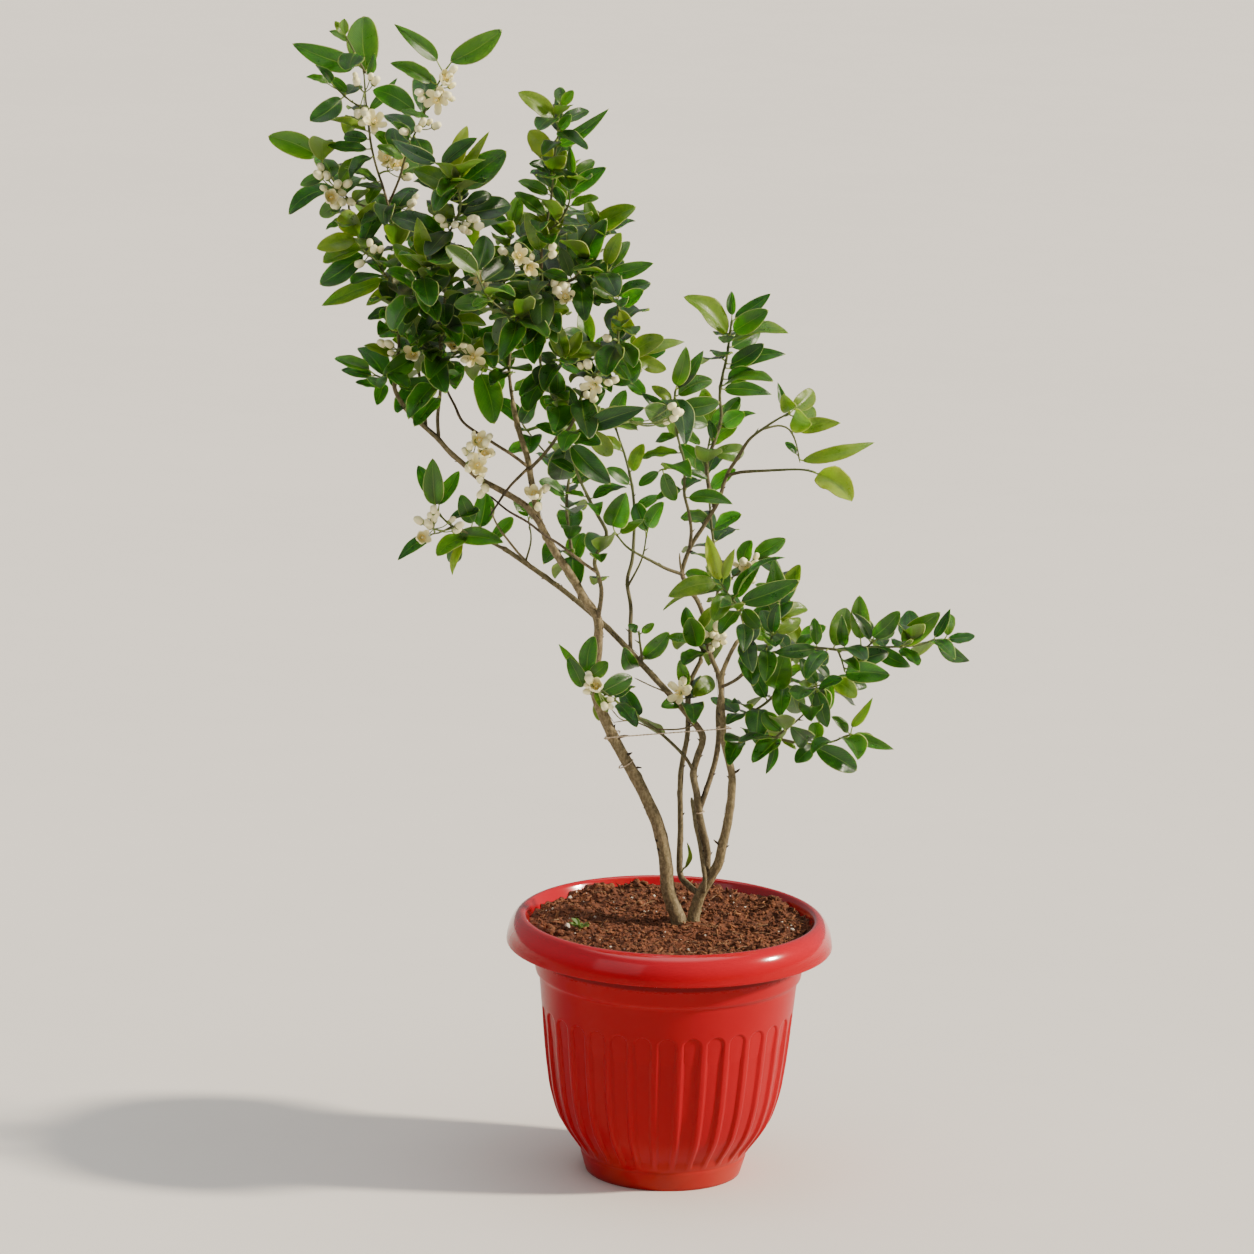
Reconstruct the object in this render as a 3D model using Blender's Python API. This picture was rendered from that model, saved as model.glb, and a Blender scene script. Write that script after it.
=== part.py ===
"""Potted lemon tree: a fluted nursery pot of potting soil that carries a multi-stemmed citrus in bud.

Frame: the origin is the middle of the pot's underside, +Z is up and the tree's broad front faces -Y.

The wood is a set of curved tubes. The leafy shoots are twigs with their leaves grown on, each one closed
body, and each shoot is saddle-cut by the branch that bears it. Stations are in centimetres on the front
elevation (x, z) with a depth y that grows to the back, and the crown droops towards its far side.
"""

import math

import bpy
from mathutils import Vector
from mathutils.bvhtree import BVHTree

CM = 0.01
MM = 0.001
GAP = 0.0003            # clearance between two pieces that touch
LIMB_GAP = 0.0006       # clearance of a twig round the limb that bears it
CROWN_DROOP = 0.2       # fall of a station per unit of depth to the back

# --- pot -------------------------------------------------------------------------------------------
POT_HEIGHT = 0.2444     # top of the rolled rim
RIM_RADIUS = 0.1500     # widest line of the rim, at its hem
MOUTH_RADIUS = 0.1360   # crest of the rim
FOOT_RADIUS = 0.0710
POT_FLOOR = 0.0032
POT_SEGMENTS = 48
FLUTE_COUNT = 32
FLUTE_DEPTH = 0.0016
FLUTE_SHARE = 0.70      # part of one pitch that the recess takes
FLUTE_RUNGS = [0.0340, 0.0420, 0.0550, 0.0770, 0.1230]    # heights from the foot of the recesses
FLUTE_TOP = 0.1590      # height of the crown of their arches
ARCH_DEGREES = (30.0, 55.0, 78.0)
DRAIN_HOLES = 6
DRAIN_RADIUS = 0.0055
DRAIN_CIRCLE = 0.045
DRAIN_SIDES = 12

# The outer wall from the foot up to the collar, as (radius, height).
WALL_OUTSIDE = [
    (FOOT_RADIUS, 0.0), (0.0768, 0.0168), (0.0768, 0.0182), (0.0752, 0.0190), (0.0830, 0.0285),
    (0.0928, 0.0420), (0.1000, 0.0550), (0.1068, 0.0770), (0.1134, 0.1230), (0.1196, 0.1880),
    (0.1226, 0.1900), (0.1262, 0.2130), (0.1290, 0.2300),
]
# The rolled rim: under the roll, round the hem, over the crest and back inside.
RIM_ROLL = [
    (0.1345, 0.2385), (0.1410, 0.2370), (0.1456, 0.2300), (0.1478, 0.2176), (RIM_RADIUS, 0.2176),
    (RIM_RADIUS, 0.2200), (0.1485, 0.2290), (0.1430, 0.2415), (MOUTH_RADIUS, POT_HEIGHT), (0.1330, 0.2425),
]
# The inner wall from under the crest down to the floor.
WALL_INSIDE = [
    (0.1262, 0.2300), (0.1196, 0.1980), (0.1106, 0.1230), (0.1040, 0.0770), (0.0972, 0.0550),
    (0.0900, 0.0420), (0.0802, 0.0285), (0.0722, 0.0190), (0.0690, POT_FLOOR),
]

# --- soil ------------------------------------------------------------------------------------------
SOIL_LEVEL = 0.2345     # at the middle
SOIL_TILT = 0.025       # rise of the soil towards the back
SOIL_SEGMENTS = 36
SOIL_RINGS = [0.028, 0.056, 0.080, 0.100, 0.115]
SOIL_SWELL = 0.0013     # height of the uneven top
SWELL_WAVES = [(52.0, 0.7), (47.0, -0.4), (95.0, 0.0)]   # radians per metre and phase
CLODS = [               # place, height and spread of the heaps along the wall
    (-0.068, 0.102, 0.0050, 0.012), (-0.028, 0.114, 0.0022, 0.011), (0.099, 0.070, 0.0045, 0.012),
    (0.084, -0.078, 0.0030, 0.012), (-0.106, -0.040, 0.0030, 0.013), (0.018, -0.110, 0.0020, 0.012),
]
SOIL_EDGE = (0.2306, 0.2420)    # lowest and highest line where the soil meets the pot
SOIL_CLEARANCE = 0.0006 # from the pot's inner wall, measured level

# --- wood: stations (x, y, z) in cm, thickness in mm from the first station to the last --------------
LEFT_TRUNK = [
    (1.0, 0.0, 19.5), (0.9, 0.0, 23.4), (0.3, 0.1, 25.2), (-0.3, 0.1, 27.0), (-0.65, 0.2, 30.0),
    (-1.4, 0.2, 33.0), (-2.4, 0.3, 35.2), (-3.6, 0.3, 37.5), (-5.2, 0.3, 40.2), (-6.3, 0.2, 42.4),
    (-7.3, 0.0, 44.8), (-7.5, -0.2, 47.0), (-7.3, -0.4, 49.5), (-7.4, -0.5, 52.2), (-8.6, -0.7, 54.0),
    (-9.8, -0.8, 56.0), (-11.4, -0.9, 58.3), (-13.0, -1.0, 61.3), (-13.4, -0.9, 63.4),
    (-13.8, -0.6, 65.2), (-14.1, -0.2, 66.8), (-14.7, 0.4, 68.6), (-15.2, 1.0, 70.2), (-15.7, 1.8, 72.3),
]
LEFT_TRUNK_THICK = (14.0, 4.6)
RIGHT_TRUNK = [
    (2.9, 0.5, 19.5), (2.2, 0.6, 23.4), (2.4, 0.7, 25.2), (2.8, 0.6, 26.5), (3.6, 0.4, 28.0),
    (4.3, 0.2, 29.4), (4.6, 0.0, 31.0), (5.05, -0.2, 33.4), (5.3, -0.4, 35.8), (5.3, -0.5, 37.8),
    (4.9, -0.5, 39.4), (4.45, -0.4, 41.0), (4.3, -0.3, 43.0), (4.1, -0.1, 45.2), (4.1, 0.1, 47.2),
    (4.7, 0.4, 49.0), (5.5, 0.9, 50.6),
]
RIGHT_TRUNK_THICK = (12.0, 3.6)
ARCHING_STEM = [
    (3.3, 0.5, 27.4), (3.25, 1.1, 28.8), (3.25, 1.2, 30.4), (2.9, 1.1, 32.0), (2.45, 0.9, 33.8),
    (2.15, 0.8, 35.9), (1.75, 1.0, 37.8), (2.1, 1.3, 39.4), (2.5, 1.6, 41.4), (1.1, 2.0, 43.3),
    (-0.6, 2.4, 45.2), (-3.1, 2.8, 47.8), (-5.3, 3.0, 50.1), (-7.3, 3.2, 52.0), (-10.0, 3.4, 54.2),
    (-12.8, 3.8, 56.2), (-16.4, 4.2, 58.6),
]
ARCHING_STEM_THICK = (7.4, 4.4)
REAR_STEM = [
    (2.7, 0.7, 26.3), (1.6, 1.6, 27.2), (0.8, 2.2, 28.4), (0.75, 2.8, 32.5), (0.6, 3.0, 36.9),
    (0.75, 3.2, 38.8), (1.15, 3.6, 41.5), (1.1, 4.2, 44.7), (1.3, 4.5, 46.4), (2.3, 5.0, 48.6),
]
REAR_STEM_THICK = (6.0, 4.2)
FORK_STEM = [
    (2.4, 0.85, 34.3), (3.0, 1.6, 36.2), (3.4, 1.9, 37.6), (3.8, 2.2, 39.2), (4.0, 2.5, 41.2),
    (3.9, 2.8, 43.5), (4.1, 3.0, 45.5), (3.8, 3.0, 47.2), (3.1, 2.8, 48.8), (2.7, 2.6, 50.2),
    (2.5, 2.5, 52.0), (1.7, 2.3, 54.0), (0.6, 2.1, 55.7), (0.2, 2.0, 56.8), (0.9, 1.9, 59.1),
    (2.1, 2.0, 61.2), (3.3, 2.2, 63.4), (3.8, 2.3, 65.2), (4.2, 2.4, 66.3), (5.2, 2.0, 67.9),
]
FORK_STEM_THICK = (5.4, 3.4)
LEFT_BRANCH = [
    (-12.6, -0.9, 60.6), (-14.0, -1.4, 62.4), (-15.5, -1.7, 63.4), (-17.0, -2.0, 64.2),
    (-18.5, -2.3, 65.0), (-19.8, -2.5, 66.2), (-21.2, -2.6, 67.4), (-22.3, -2.6, 68.6),
    (-23.7, -2.5, 69.8), (-25.2, -2.2, 71.2), (-26.2, -1.9, 72.9), (-26.2, -1.5, 74.0),
]
LEFT_BRANCH_THICK = (6.2, 4.0)

STUB_STEM = [
    (3.0, -0.1, 26.6), (3.1, -0.2, 28.0), (2.85, 0.0, 29.5), (2.5, 0.1, 31.4), (2.1, 0.0, 33.0),
    (1.9, 0.0, 34.2), (1.65, 0.1, 35.6),
]
STUB_STEM_THICK = (4.6, 3.4)

# --- weed on the soil: one leaf blade per (lean in x, lean in y, rise), in cm --------------------------
WEED_SPOT = (-0.083, -0.030)
WEED_ROOT = 0.006         # depth below the soil's top
WEED_BLADES = [(1.1, -0.6, 1.3), (-1.2, -0.4, 1.1), (-0.4, 0.9, 1.6), (0.5, 0.6, 1.9), (-0.3, -1.0, 0.9)]
WEED_STEM = 0.0012        # radius
WEED_HEAD = 0.004         # height over the soil's top where the blades part
WEED_WIDTH = 0.004
WEED_THICK = 0.001

# --- leafy shoots ------------------------------------------------------------------------------------
# Each has the limb that bears it, its twigs (the first starts inside that limb and the others start
# inside an earlier twig of the same shoot), and its leaves. A leaf is (heel x, heel z, tip x, tip z,
# width, facing): facing runs from 0, its upper side up, to 1, its upper side to the front, and is
# negative where the underside shows.
SHOOTS = {
    "left_upright_shoot": ("left_branch", [
        [(-26.2, -1.7, 73.3), (-26.1, -0.8, 75.4), (-26.0, 0.2, 77.4), (-26.4, 1.4, 80.0),
         (-26.8, 2.4, 83.0), (-26.6, 3.0, 86.6), (-27.1, 3.2, 89.0), (-27.2, 3.2, 90.7)],
        [(-26.2, -1.0, 74.9), (-27.0, -2.4, 74.0), (-28.1, -3.6, 74.2)],
        [(-26.6, 2.1, 82.0), (-28.0, 0.6, 84.4), (-29.6, -0.6, 85.8)],
    ], [
        (-30.1, 86.6, -33.5, 85.6, 1.8, 0.6), (-28.9, 85.6, -33.3, 82.4, 1.9, 0.6),
        (-28.5, 86.1, -33.0, 84.4, 1.4, 0.4), (-27.4, 83.0, -33.2, 80.5, 1.4, 0.5),
        (-26.4, 82.6, -24.3, 81.9, 1.3, 0.8), (-26.5, 80.5, -29.0, 79.4, 1.2, 0.6),
        (-26.2, 80.3, -23.2, 77.6, 2.0, 0.8), (-27.3, 74.2, -24.8, 75.9, 2.0, 0.9),
        (-27.2, 73.4, -27.7, 71.4, 1.2, 0.8), (-29.8, 86.9, -31.7, 89.0, 2.0, 0.9),
        (-26.2, 76.0, -29.2, 76.9, 1.1, 0.4), (-26.5, 81.6, -24.4, 79.9, 1.3, 0.5),
    ]),
    "crown_tip_left_shoot": ("left_upright_shoot", [
        [(-27.15, 3.2, 89.3), (-27.8, 4.0, 91.4), (-28.5, 4.2, 93.4), (-29.0, 4.6, 95.3),
         (-29.3, 5.0, 97.2), (-29.6, 5.4, 99.4), (-29.8, 5.6, 101.6), (-29.9, 5.6, 102.6)],
        [(-29.5, 5.2, 98.6), (-31.0, 4.6, 99.4), (-32.4, 4.2, 100.6)],
    ], [
        (-30.7, 102.5, -36.3, 104.4, 2.0, 0.8), (-29.6, 102.2, -30.1, 107.4, 3.0, 1.0),
        (-31.8, 99.5, -34.5, 97.3, 1.9, 0.9), (-29.3, 95.9, -31.6, 96.2, 1.3, 0.7),
        (-28.4, 92.0, -31.4, 93.2, 1.2, 0.3),
    ]),
    "crown_tip_right_shoot": ("left_upright_shoot", [
        [(-27.2, 3.2, 90.2), (-26.3, 2.2, 92.4), (-25.8, 1.4, 94.2), (-25.1, 0.6, 96.0),
         (-24.2, -0.2, 98.0), (-23.5, -0.8, 99.6), (-22.6, -1.4, 101.4), (-22.4, -1.5, 101.9)],
    ], [
        (-23.0, 102.9, -26.9, 106.0, 1.4, 0.7), (-21.8, 102.8, -17.3, 105.9, 2.1, 0.8),
        (-23.5, 101.0, -27.2, 102.5, 1.3, 0.6), (-25.0, 98.4, -28.9, 100.3, 1.7, 0.8),
        (-25.6, 94.2, -28.3, 95.0, 1.1, 0.5),
    ]),
    "crown_left_shoot": ("left_upright_shoot", [
        [(-26.85, 3.05, 87.4), (-28.5, 3.2, 89.3), (-30.8, 4.6, 90.3), (-32.2, 5.2, 91.8),
         (-33.3, 5.8, 93.4), (-33.8, 6.2, 94.5)],
        [(-31.0, 4.7, 90.4), (-30.8, 3.6, 88.6), (-30.4, 2.8, 87.6)],
    ], [
        (-33.8, 94.3, -38.4, 96.0, 2.2, 0.9), (-32.4, 91.4, -36.5, 88.9, 1.2, 0.4),
        (-31.8, 92.0, -30.2, 94.2, 1.5, 0.6), (-31.4, 90.4, -33.6, 88.8, 1.5, 0.8),
        (-30.2, 87.9, -28.4, 90.2, 1.2, 0.8), (-30.6, 88.4, -33.0, 87.6, 1.3, 0.4),
    ]),
    "inner_left_shoot": ("left_branch", [
        [(-22.15, -2.6, 68.5), (-22.3, -2.0, 70.6), (-22.1, -2.2, 73.0), (-22.2, -2.6, 76.0),
         (-22.0, -3.2, 79.0), (-21.8, -4.0, 81.5), (-21.9, -5.0, 85.2), (-21.6, -5.8, 86.9),
         (-20.9, -6.4, 88.4), (-20.5, -6.8, 89.8), (-20.9, -7.2, 91.6), (-21.6, -7.4, 93.0)],
        [(-22.1, -2.5, 75.2), (-23.4, -3.6, 76.8), (-24.6, -4.6, 77.6)],
    ], [
        (-20.9, 91.2, -16.5, 94.6, 2.6, 0.9), (-21.0, 90.8, -24.8, 92.8, 2.0, 0.7),
        (-22.2, 93.2, -19.1, 95.7, 1.2, 0.5), (-21.2, 93.0, -20.1, 96.9, 1.4, 0.8),
        (-22.8, 93.4, -26.8, 95.5, 1.2, 0.6), (-20.0, 89.8, -17.8, 90.8, 1.3, 0.7),
        (-20.2, 88.9, -16.1, 90.0, 1.6, 0.7), (-21.0, 88.7, -23.4, 89.6, 1.6, 0.6),
        (-21.8, 86.6, -26.8, 88.6, 1.5, 0.4), (-22.0, 82.2, -24.6, 82.4, 1.6, 0.9),
        (-22.0, 79.6, -23.6, 80.8, 1.2, 0.5), (-21.9, 78.9, -20.3, 83.1, 1.7, 0.9),
        (-21.9, 78.6, -18.0, 79.0, 1.1, 0.3), (-21.8, 84.4, -19.0, 84.6, 1.4, 0.4),
        (-22.2, 77.4, -19.4, 77.2, 1.2, 0.4), (-24.2, 77.6, -26.0, 79.6, 1.2, 0.6),
        (-22.0, 83.4, -24.8, 84.8, 1.5, 0.5),
    ]),
    "crown_middle_shoot": ("left_trunk", [
        [(-15.5, 1.5, 71.5), (-15.9, 2.8, 73.6), (-16.1, 4.0, 75.6), (-16.0, 5.0, 77.6),
         (-16.4, 6.0, 80.0), (-16.8, 7.0, 82.6), (-16.6, 8.0, 85.4), (-16.2, 8.8, 88.4)],
        [(-16.0, 3.6, 74.9), (-17.2, 3.0, 74.8), (-18.6, 2.2, 75.4)],
        [(-16.3, 5.7, 79.3), (-17.8, 5.4, 80.8), (-19.4, 5.0, 82.2)],
    ], [
        (-18.6, 74.6, -17.2, 70.0, 2.6, 0.9), (-16.5, 74.5, -18.4, 72.6, 1.6, 0.7),
        (-15.6, 77.2, -19.6, 76.9, 1.8, 0.6), (-16.4, 81.0, -12.8, 82.6, 1.6, 0.5),
        (-16.8, 82.4, -20.4, 81.2, 1.8, 0.6), (-19.2, 82.4, -20.4, 85.6, 1.8, 0.7),
        (-16.8, 84.0, -19.4, 86.9, 1.7, 0.7), (-16.6, 85.8, -13.8, 87.6, 1.8, 0.7),
        (-16.4, 87.6, -18.8, 89.6, 1.6, 0.7), (-16.2, 88.4, -15.6, 91.4, 1.5, 0.9),
        (-16.2, 79.4, -13.6, 78.4, 1.5, 0.5), (-18.4, 80.9, -20.8, 79.6, 1.5, 0.6),
        (-18.8, 75.6, -20.6, 76.4, 1.3, 0.4),
    ]),
    "middle_upright_shoot": ("left_trunk", [
        [(-13.95, -0.5, 65.9), (-12.6, -1.9, 67.4), (-11.4, -2.6, 69.2), (-11.1, -3.2, 71.0),
         (-12.0, -3.6, 72.9), (-13.0, -4.0, 75.0), (-13.2, -4.6, 77.4), (-13.3, -5.2, 79.6),
         (-13.0, -5.8, 82.0), (-13.3, -6.4, 84.6)],
        [(-12.8, -3.9, 74.5), (-11.6, -5.0, 75.4), (-10.9, -5.8, 76.2)],
    ], [
        (-10.9, 76.3, -12.5, 81.2, 1.6, 0.8), (-10.7, 76.4, -9.5, 78.7, 1.2, 0.8),
        (-10.6, 76.1, -7.4, 77.3, 1.1, 0.5), (-11.5, 75.2, -11.8, 72.4, 1.5, 0.9),
        (-13.2, 78.0, -15.0, 79.0, 1.2, 0.5), (-13.1, 82.4, -17.4, 81.9, 1.6, 0.6),
        (-13.2, 80.4, -10.6, 80.6, 1.6, 0.5), (-11.5, 71.2, -13.0, 72.7, 1.5, 0.8),
        (-11.6, 69.3, -12.9, 69.9, 1.2, 0.4), (-13.1, 76.2, -15.8, 76.4, 1.2, 0.4),
        (-13.2, 84.0, -10.8, 83.2, 1.3, 0.5),
    ]),
    "top_middle_shoot": ("middle_upright_shoot", [
        [(-13.2, -6.3, 84.2), (-13.2, -6.6, 86.2), (-12.8, -7.0, 88.4), (-12.4, -7.4, 91.2),
         (-12.3, -7.8, 93.8), (-12.0, -8.0, 96.0), (-12.1, -8.2, 98.0), (-11.9, -8.2, 98.9)],
        [(-12.9, -6.8, 87.6), (-11.9, -7.4, 88.2), (-10.9, -8.0, 90.0), (-10.7, -8.4, 92.4)],
    ], [
        (-12.3, 97.4, -15.6, 99.8, 1.5, 0.6), (-12.0, 98.9, -12.0, 100.5, 1.1, 0.8),
        (-11.9, 95.0, -7.5, 98.6, 1.2, 0.8), (-12.4, 93.8, -14.6, 96.6, 1.9, 0.9),
        (-12.5, 92.6, -14.5, 93.5, 1.2, 0.5), (-12.6, 90.8, -15.5, 92.0, 1.3, 0.5),
        (-12.1, 92.4, -11.2, 94.8, 1.2, 0.6), (-10.6, 92.7, -8.7, 94.0, 1.2, 0.7),
        (-10.7, 91.1, -7.6, 93.3, 1.4, 0.7), (-13.1, 86.2, -12.4, 90.6, 2.3, 1.0),
        (-13.3, 85.6, -14.6, 89.2, 2.0, 0.9), (-12.8, 88.8, -15.8, 91.0, 1.3, 0.4),
        (-11.0, 89.8, -8.2, 90.6, 1.2, 0.4),
    ]),
    "crown_right_shoot": ("middle_upright_shoot", [
        [(-13.1, -6.0, 82.9), (-11.8, -5.0, 82.8), (-10.4, -3.8, 83.4), (-9.4, -2.6, 84.8),
         (-8.6, -1.4, 86.6), (-8.2, -0.6, 88.2)],
        [(-10.2, -3.6, 83.6), (-8.6, -4.4, 83.6), (-7.0, -5.0, 84.2)],
    ], [
        (-8.5, 88.2, -4.9, 90.2, 1.9, 0.7), (-8.2, 87.8, -4.9, 89.0, 1.3, 0.3),
        (-9.7, 84.6, -7.5, 89.0, 2.1, 0.9), (-10.2, 84.2, -10.2, 88.6, 1.8, 0.8),
        (-7.4, 84.8, -6.2, 87.7, 1.4, 0.8), (-7.0, 84.6, -5.4, 87.0, 1.1, 0.7),
        (-10.6, 83.6, -11.6, 86.2, 1.2, 0.7), (-9.2, 83.9, -5.8, 85.2, 1.3, 0.4),
        (-7.0, 83.9, -3.2, 85.0, 1.4, 0.8), (-9.0, 83.4, -8.0, 81.0, 1.2, 0.6),
        (-8.4, 88.4, -9.6, 91.2, 1.2, 0.7),
    ]),
    "mid_right_shoot": ("middle_upright_shoot", [
        [(-11.6, -2.5, 68.9), (-10.4, -3.2, 69.8), (-9.7, -3.8, 71.4), (-9.3, -4.4, 73.0),
         (-8.3, -5.0, 74.6), (-7.2, -5.4, 75.8), (-6.4, -5.6, 76.9), (-6.2, -5.8, 78.6),
         (-6.2, -6.0, 80.4), (-6.4, -6.0, 81.6)],
        [(-7.0, -5.5, 76.1), (-6.0, -4.6, 76.3), (-4.6, -3.8, 76.6)],
    ], [
        (-5.5, 76.5, -2.1, 78.4, 1.7, 0.8), (-4.6, 76.4, -1.8, 75.4, 1.3, 0.7),
        (-6.0, 76.1, -4.0, 75.1, 1.2, 0.4), (-6.3, 82.0, -3.4, 83.2, 1.3, 0.6),
        (-6.5, 82.0, -8.8, 83.0, 1.4, 0.9), (-6.5, 81.4, -9.0, 81.6, 1.3, 0.4),
        (-6.0, 81.0, -4.6, 78.4, 1.2, 0.8), (-9.5, 72.6, -7.2, 73.4, 1.2, 0.5),
        (-9.8, 71.4, -11.0, 73.6, 1.2, 0.7),
    ]),
    "round_leaf_shoot": ("left_trunk", [
        [(-7.4, -0.5, 52.0), (-7.1, -1.8, 54.6), (-7.4, -2.4, 56.2), (-7.8, -3.0, 57.6),
         (-7.1, -3.6, 59.4), (-6.8, -4.0, 60.4), (-7.8, -4.6, 62.2), (-8.7, -5.2, 63.9),
         (-9.5, -5.8, 65.6), (-10.0, -6.2, 67.2), (-10.4, -6.6, 68.6), (-9.6, -7.0, 69.6),
         (-8.8, -7.2, 69.9)],
    ], [
        (-10.5, 68.4, -6.5, 64.8, 2.0, 0.7), (-10.6, 68.2, -11.2, 65.0, 2.8, 1.0),
        (-10.2, 68.8, -7.4, 68.4, 1.8, 0.5), (-10.8, 69.2, -13.4, 70.0, 1.2, 0.5),
        (-8.6, 70.0, -3.6, 71.9, 1.8, 0.8), (-8.5, 69.6, -6.5, 67.4, 1.7, 0.9),
        (-8.4, 70.1, -4.2, 69.8, 1.2, 0.5),
    ]),
    "slender_shoot": ("arching_stem", [
        [(-4.3, 2.9, 49.1), (-4.4, 4.2, 51.0), (-4.4, 5.2, 53.2), (-4.8, 6.2, 55.6), (-4.4, 7.0, 57.6),
         (-4.3, 7.8, 59.8), (-4.3, 8.6, 62.0), (-4.6, 9.4, 64.6), (-5.2, 10.0, 67.0),
         (-5.9, 10.4, 69.0), (-6.4, 10.6, 70.4)],
        [(-4.7, 6.0, 55.2), (-3.5, 6.2, 57.8), (-3.1, 6.4, 60.4)],
    ], [
        (-4.6, 66.0, -3.6, 68.6, 1.3, 0.6), (-6.2, 70.0, -8.6, 71.6, 1.5, 0.6),
        (-6.5, 70.6, -5.4, 73.6, 1.5, 0.7), (-6.4, 70.2, -3.6, 70.8, 1.3, 0.4),
        (-4.5, 64.6, -7.0, 66.2, 1.4, 0.5), (-3.2, 60.4, -4.2, 63.0, 1.6, 0.8),
        (-3.0, 60.8, -1.6, 63.2, 1.5, 0.7), (-4.4, 62.4, -2.0, 63.8, 1.2, 0.5),
        (-5.4, 67.8, -7.6, 69.0, 1.2, 0.5),
    ]),
    "low_left_shoot": ("arching_stem", [
        [(1.8, 0.95, 38.0), (1.1, 0.5, 39.2), (0.3, 0.4, 40.1), (-1.5, 0.5, 41.7),
         (-3.2, 0.1, 42.9), (-4.8, -0.9, 44.0), (-6.0, -2.0, 45.0), (-7.2, -3.0, 45.8),
         (-8.3, -3.6, 46.4)],
    ], [
        (-8.6, 45.9, -10.0, 48.7, 1.4, 0.7), (-8.2, 47.2, -7.7, 50.7, 1.7, 0.8),
        (-7.9, 46.9, -6.3, 48.3, 1.4, 0.8), (-6.9, 45.4, -4.1, 46.9, 1.8, 0.9),
    ]),
    "arching_tip_shoot": ("arching_stem", [
        [(-15.8, 4.15, 58.2), (-17.4, 3.8, 59.0), (-18.9, 3.2, 59.6), (-20.4, 2.6, 60.2),
         (-21.3, 2.4, 60.7), (-22.4, 2.4, 61.8)],
        [(-20.9, 2.5, 60.4), (-22.0, 2.0, 59.8), (-23.0, 1.6, 59.6)],
    ], [
        (-22.5, 62.4, -22.8, 66.7, 1.9, 0.9), (-22.6, 62.8, -24.2, 66.0, 1.3, 0.6),
        (-22.2, 62.4, -20.4, 65.6, 1.2, 0.4), (-18.4, 60.4, -18.0, 63.6, 2.0, 1.0),
        (-19.0, 60.8, -20.2, 63.4, 1.5, 0.6), (-20.6, 59.5, -16.2, 59.0, 1.6, 0.7),
        (-22.6, 59.4, -25.8, 57.1, 1.1, 0.7), (-20.4, 59.0, -21.0, 56.9, 1.4, 0.8),
        (-21.2, 61.0, -18.4, 62.0, 1.6, 0.3), (-17.4, 59.2, -15.4, 61.4, 1.2, 0.5),
        (-19.6, 59.4, -22.2, 57.6, 1.2, 0.5),
    ]),
    "stem_sprig": ("arching_stem", [
        [(-3.3, 2.85, 47.9), (-3.3, 2.0, 48.8), (-3.5, 1.4, 50.2), (-3.6, 1.2, 51.2)],
    ], [
        (-3.2, 48.4, -0.8, 51.1, 1.6, 0.8), (-3.2, 48.3, -1.4, 49.4, 1.1, 0.6),
        (-3.9, 47.6, -5.0, 49.6, 1.5, 0.9),
    ]),
    "rear_top_shoot": ("rear_stem", [
        [(1.1, 4.1, 44.2), (0.9, 3.0, 45.2), (0.8, 2.2, 45.6)],
        [(1.0, 3.4, 44.9), (1.9, 2.4, 45.0)],
    ], [
        (0.6, 44.8, -1.4, 44.0, 1.4, 0.8), (1.6, 45.1, 3.5, 46.5, 1.7, 0.8),
        (0.9, 46.0, 0.2, 48.5, 1.2, 0.8),
    ]),
    "rear_crown_shoot": ("rear_stem", [
        [(2.1, 4.9, 48.3), (2.6, 6.2, 50.6), (3.4, 7.6, 53.4), (3.6, 8.8, 56.6), (3.0, 10.0, 60.0),
         (2.6, 11.0, 63.4), (2.2, 11.8, 66.8), (2.6, 12.4, 70.0)],
        [(3.5, 8.2, 55.0), (5.4, 9.4, 56.6), (7.0, 10.4, 58.0)],
    ], [
        (3.6, 54.2, 6.0, 53.0, 1.6, 0.5), (3.2, 55.4, 0.6, 56.6, 1.6, 0.5),
        (3.0, 60.6, 5.6, 62.2, 1.7, 0.5), (2.9, 61.6, 0.0, 61.8, 1.6, 0.5),
        (2.4, 64.4, 5.0, 66.4, 1.7, 0.5), (2.3, 66.0, -0.4, 68.6, 1.6, 0.6),
        (2.4, 68.6, 5.0, 70.6, 1.6, 0.6), (2.6, 70.4, 1.8, 74.0, 1.7, 0.7),
        (2.7, 70.4, 5.2, 72.8, 1.6, 0.7), (7.0, 58.2, 9.8, 60.0, 1.6, 0.6),
        (7.2, 58.0, 9.4, 56.2, 1.5, 0.5), (5.6, 57.0, 6.6, 59.8, 1.5, 0.6),
    ]),
    "centre_cluster_shoot": ("fork_stem", [
        [(3.0, 2.75, 49.2), (2.4, 1.6, 49.4), (1.8, 0.8, 50.2), (1.6, 0.6, 51.2)],
    ], [
        (1.7, 49.8, 0.9, 52.6, 2.0, 0.9), (2.2, 49.8, 3.2, 52.6, 1.7, 0.9),
        (1.4, 51.2, 0.6, 53.6, 1.4, 0.7), (1.4, 50.4, -1.0, 50.6, 1.1, 0.5),
    ]),
    "right_inner_shoot": ("right_spray", [
        [(6.9, -2.9, 48.5), (6.3, -3.6, 50.6), (5.7, -4.2, 52.6), (5.3, -4.6, 53.8), (4.4, -5.0, 54.9),
         (3.6, -5.4, 56.0)],
    ], [
        (3.2, 56.0, -1.1, 54.6, 1.7, 0.8), (3.5, 56.3, 2.3, 60.4, 1.4, 0.9),
        (4.3, 55.0, 3.0, 52.5, 1.8, 0.8), (5.6, 54.2, 10.8, 56.4, 1.9, 0.8),
        (5.8, 53.6, 7.3, 51.9, 1.4, 0.8), (5.0, 54.6, 7.2, 57.8, 1.4, 0.7),
    ]),
    "right_spray": ("right_trunk", [
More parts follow.
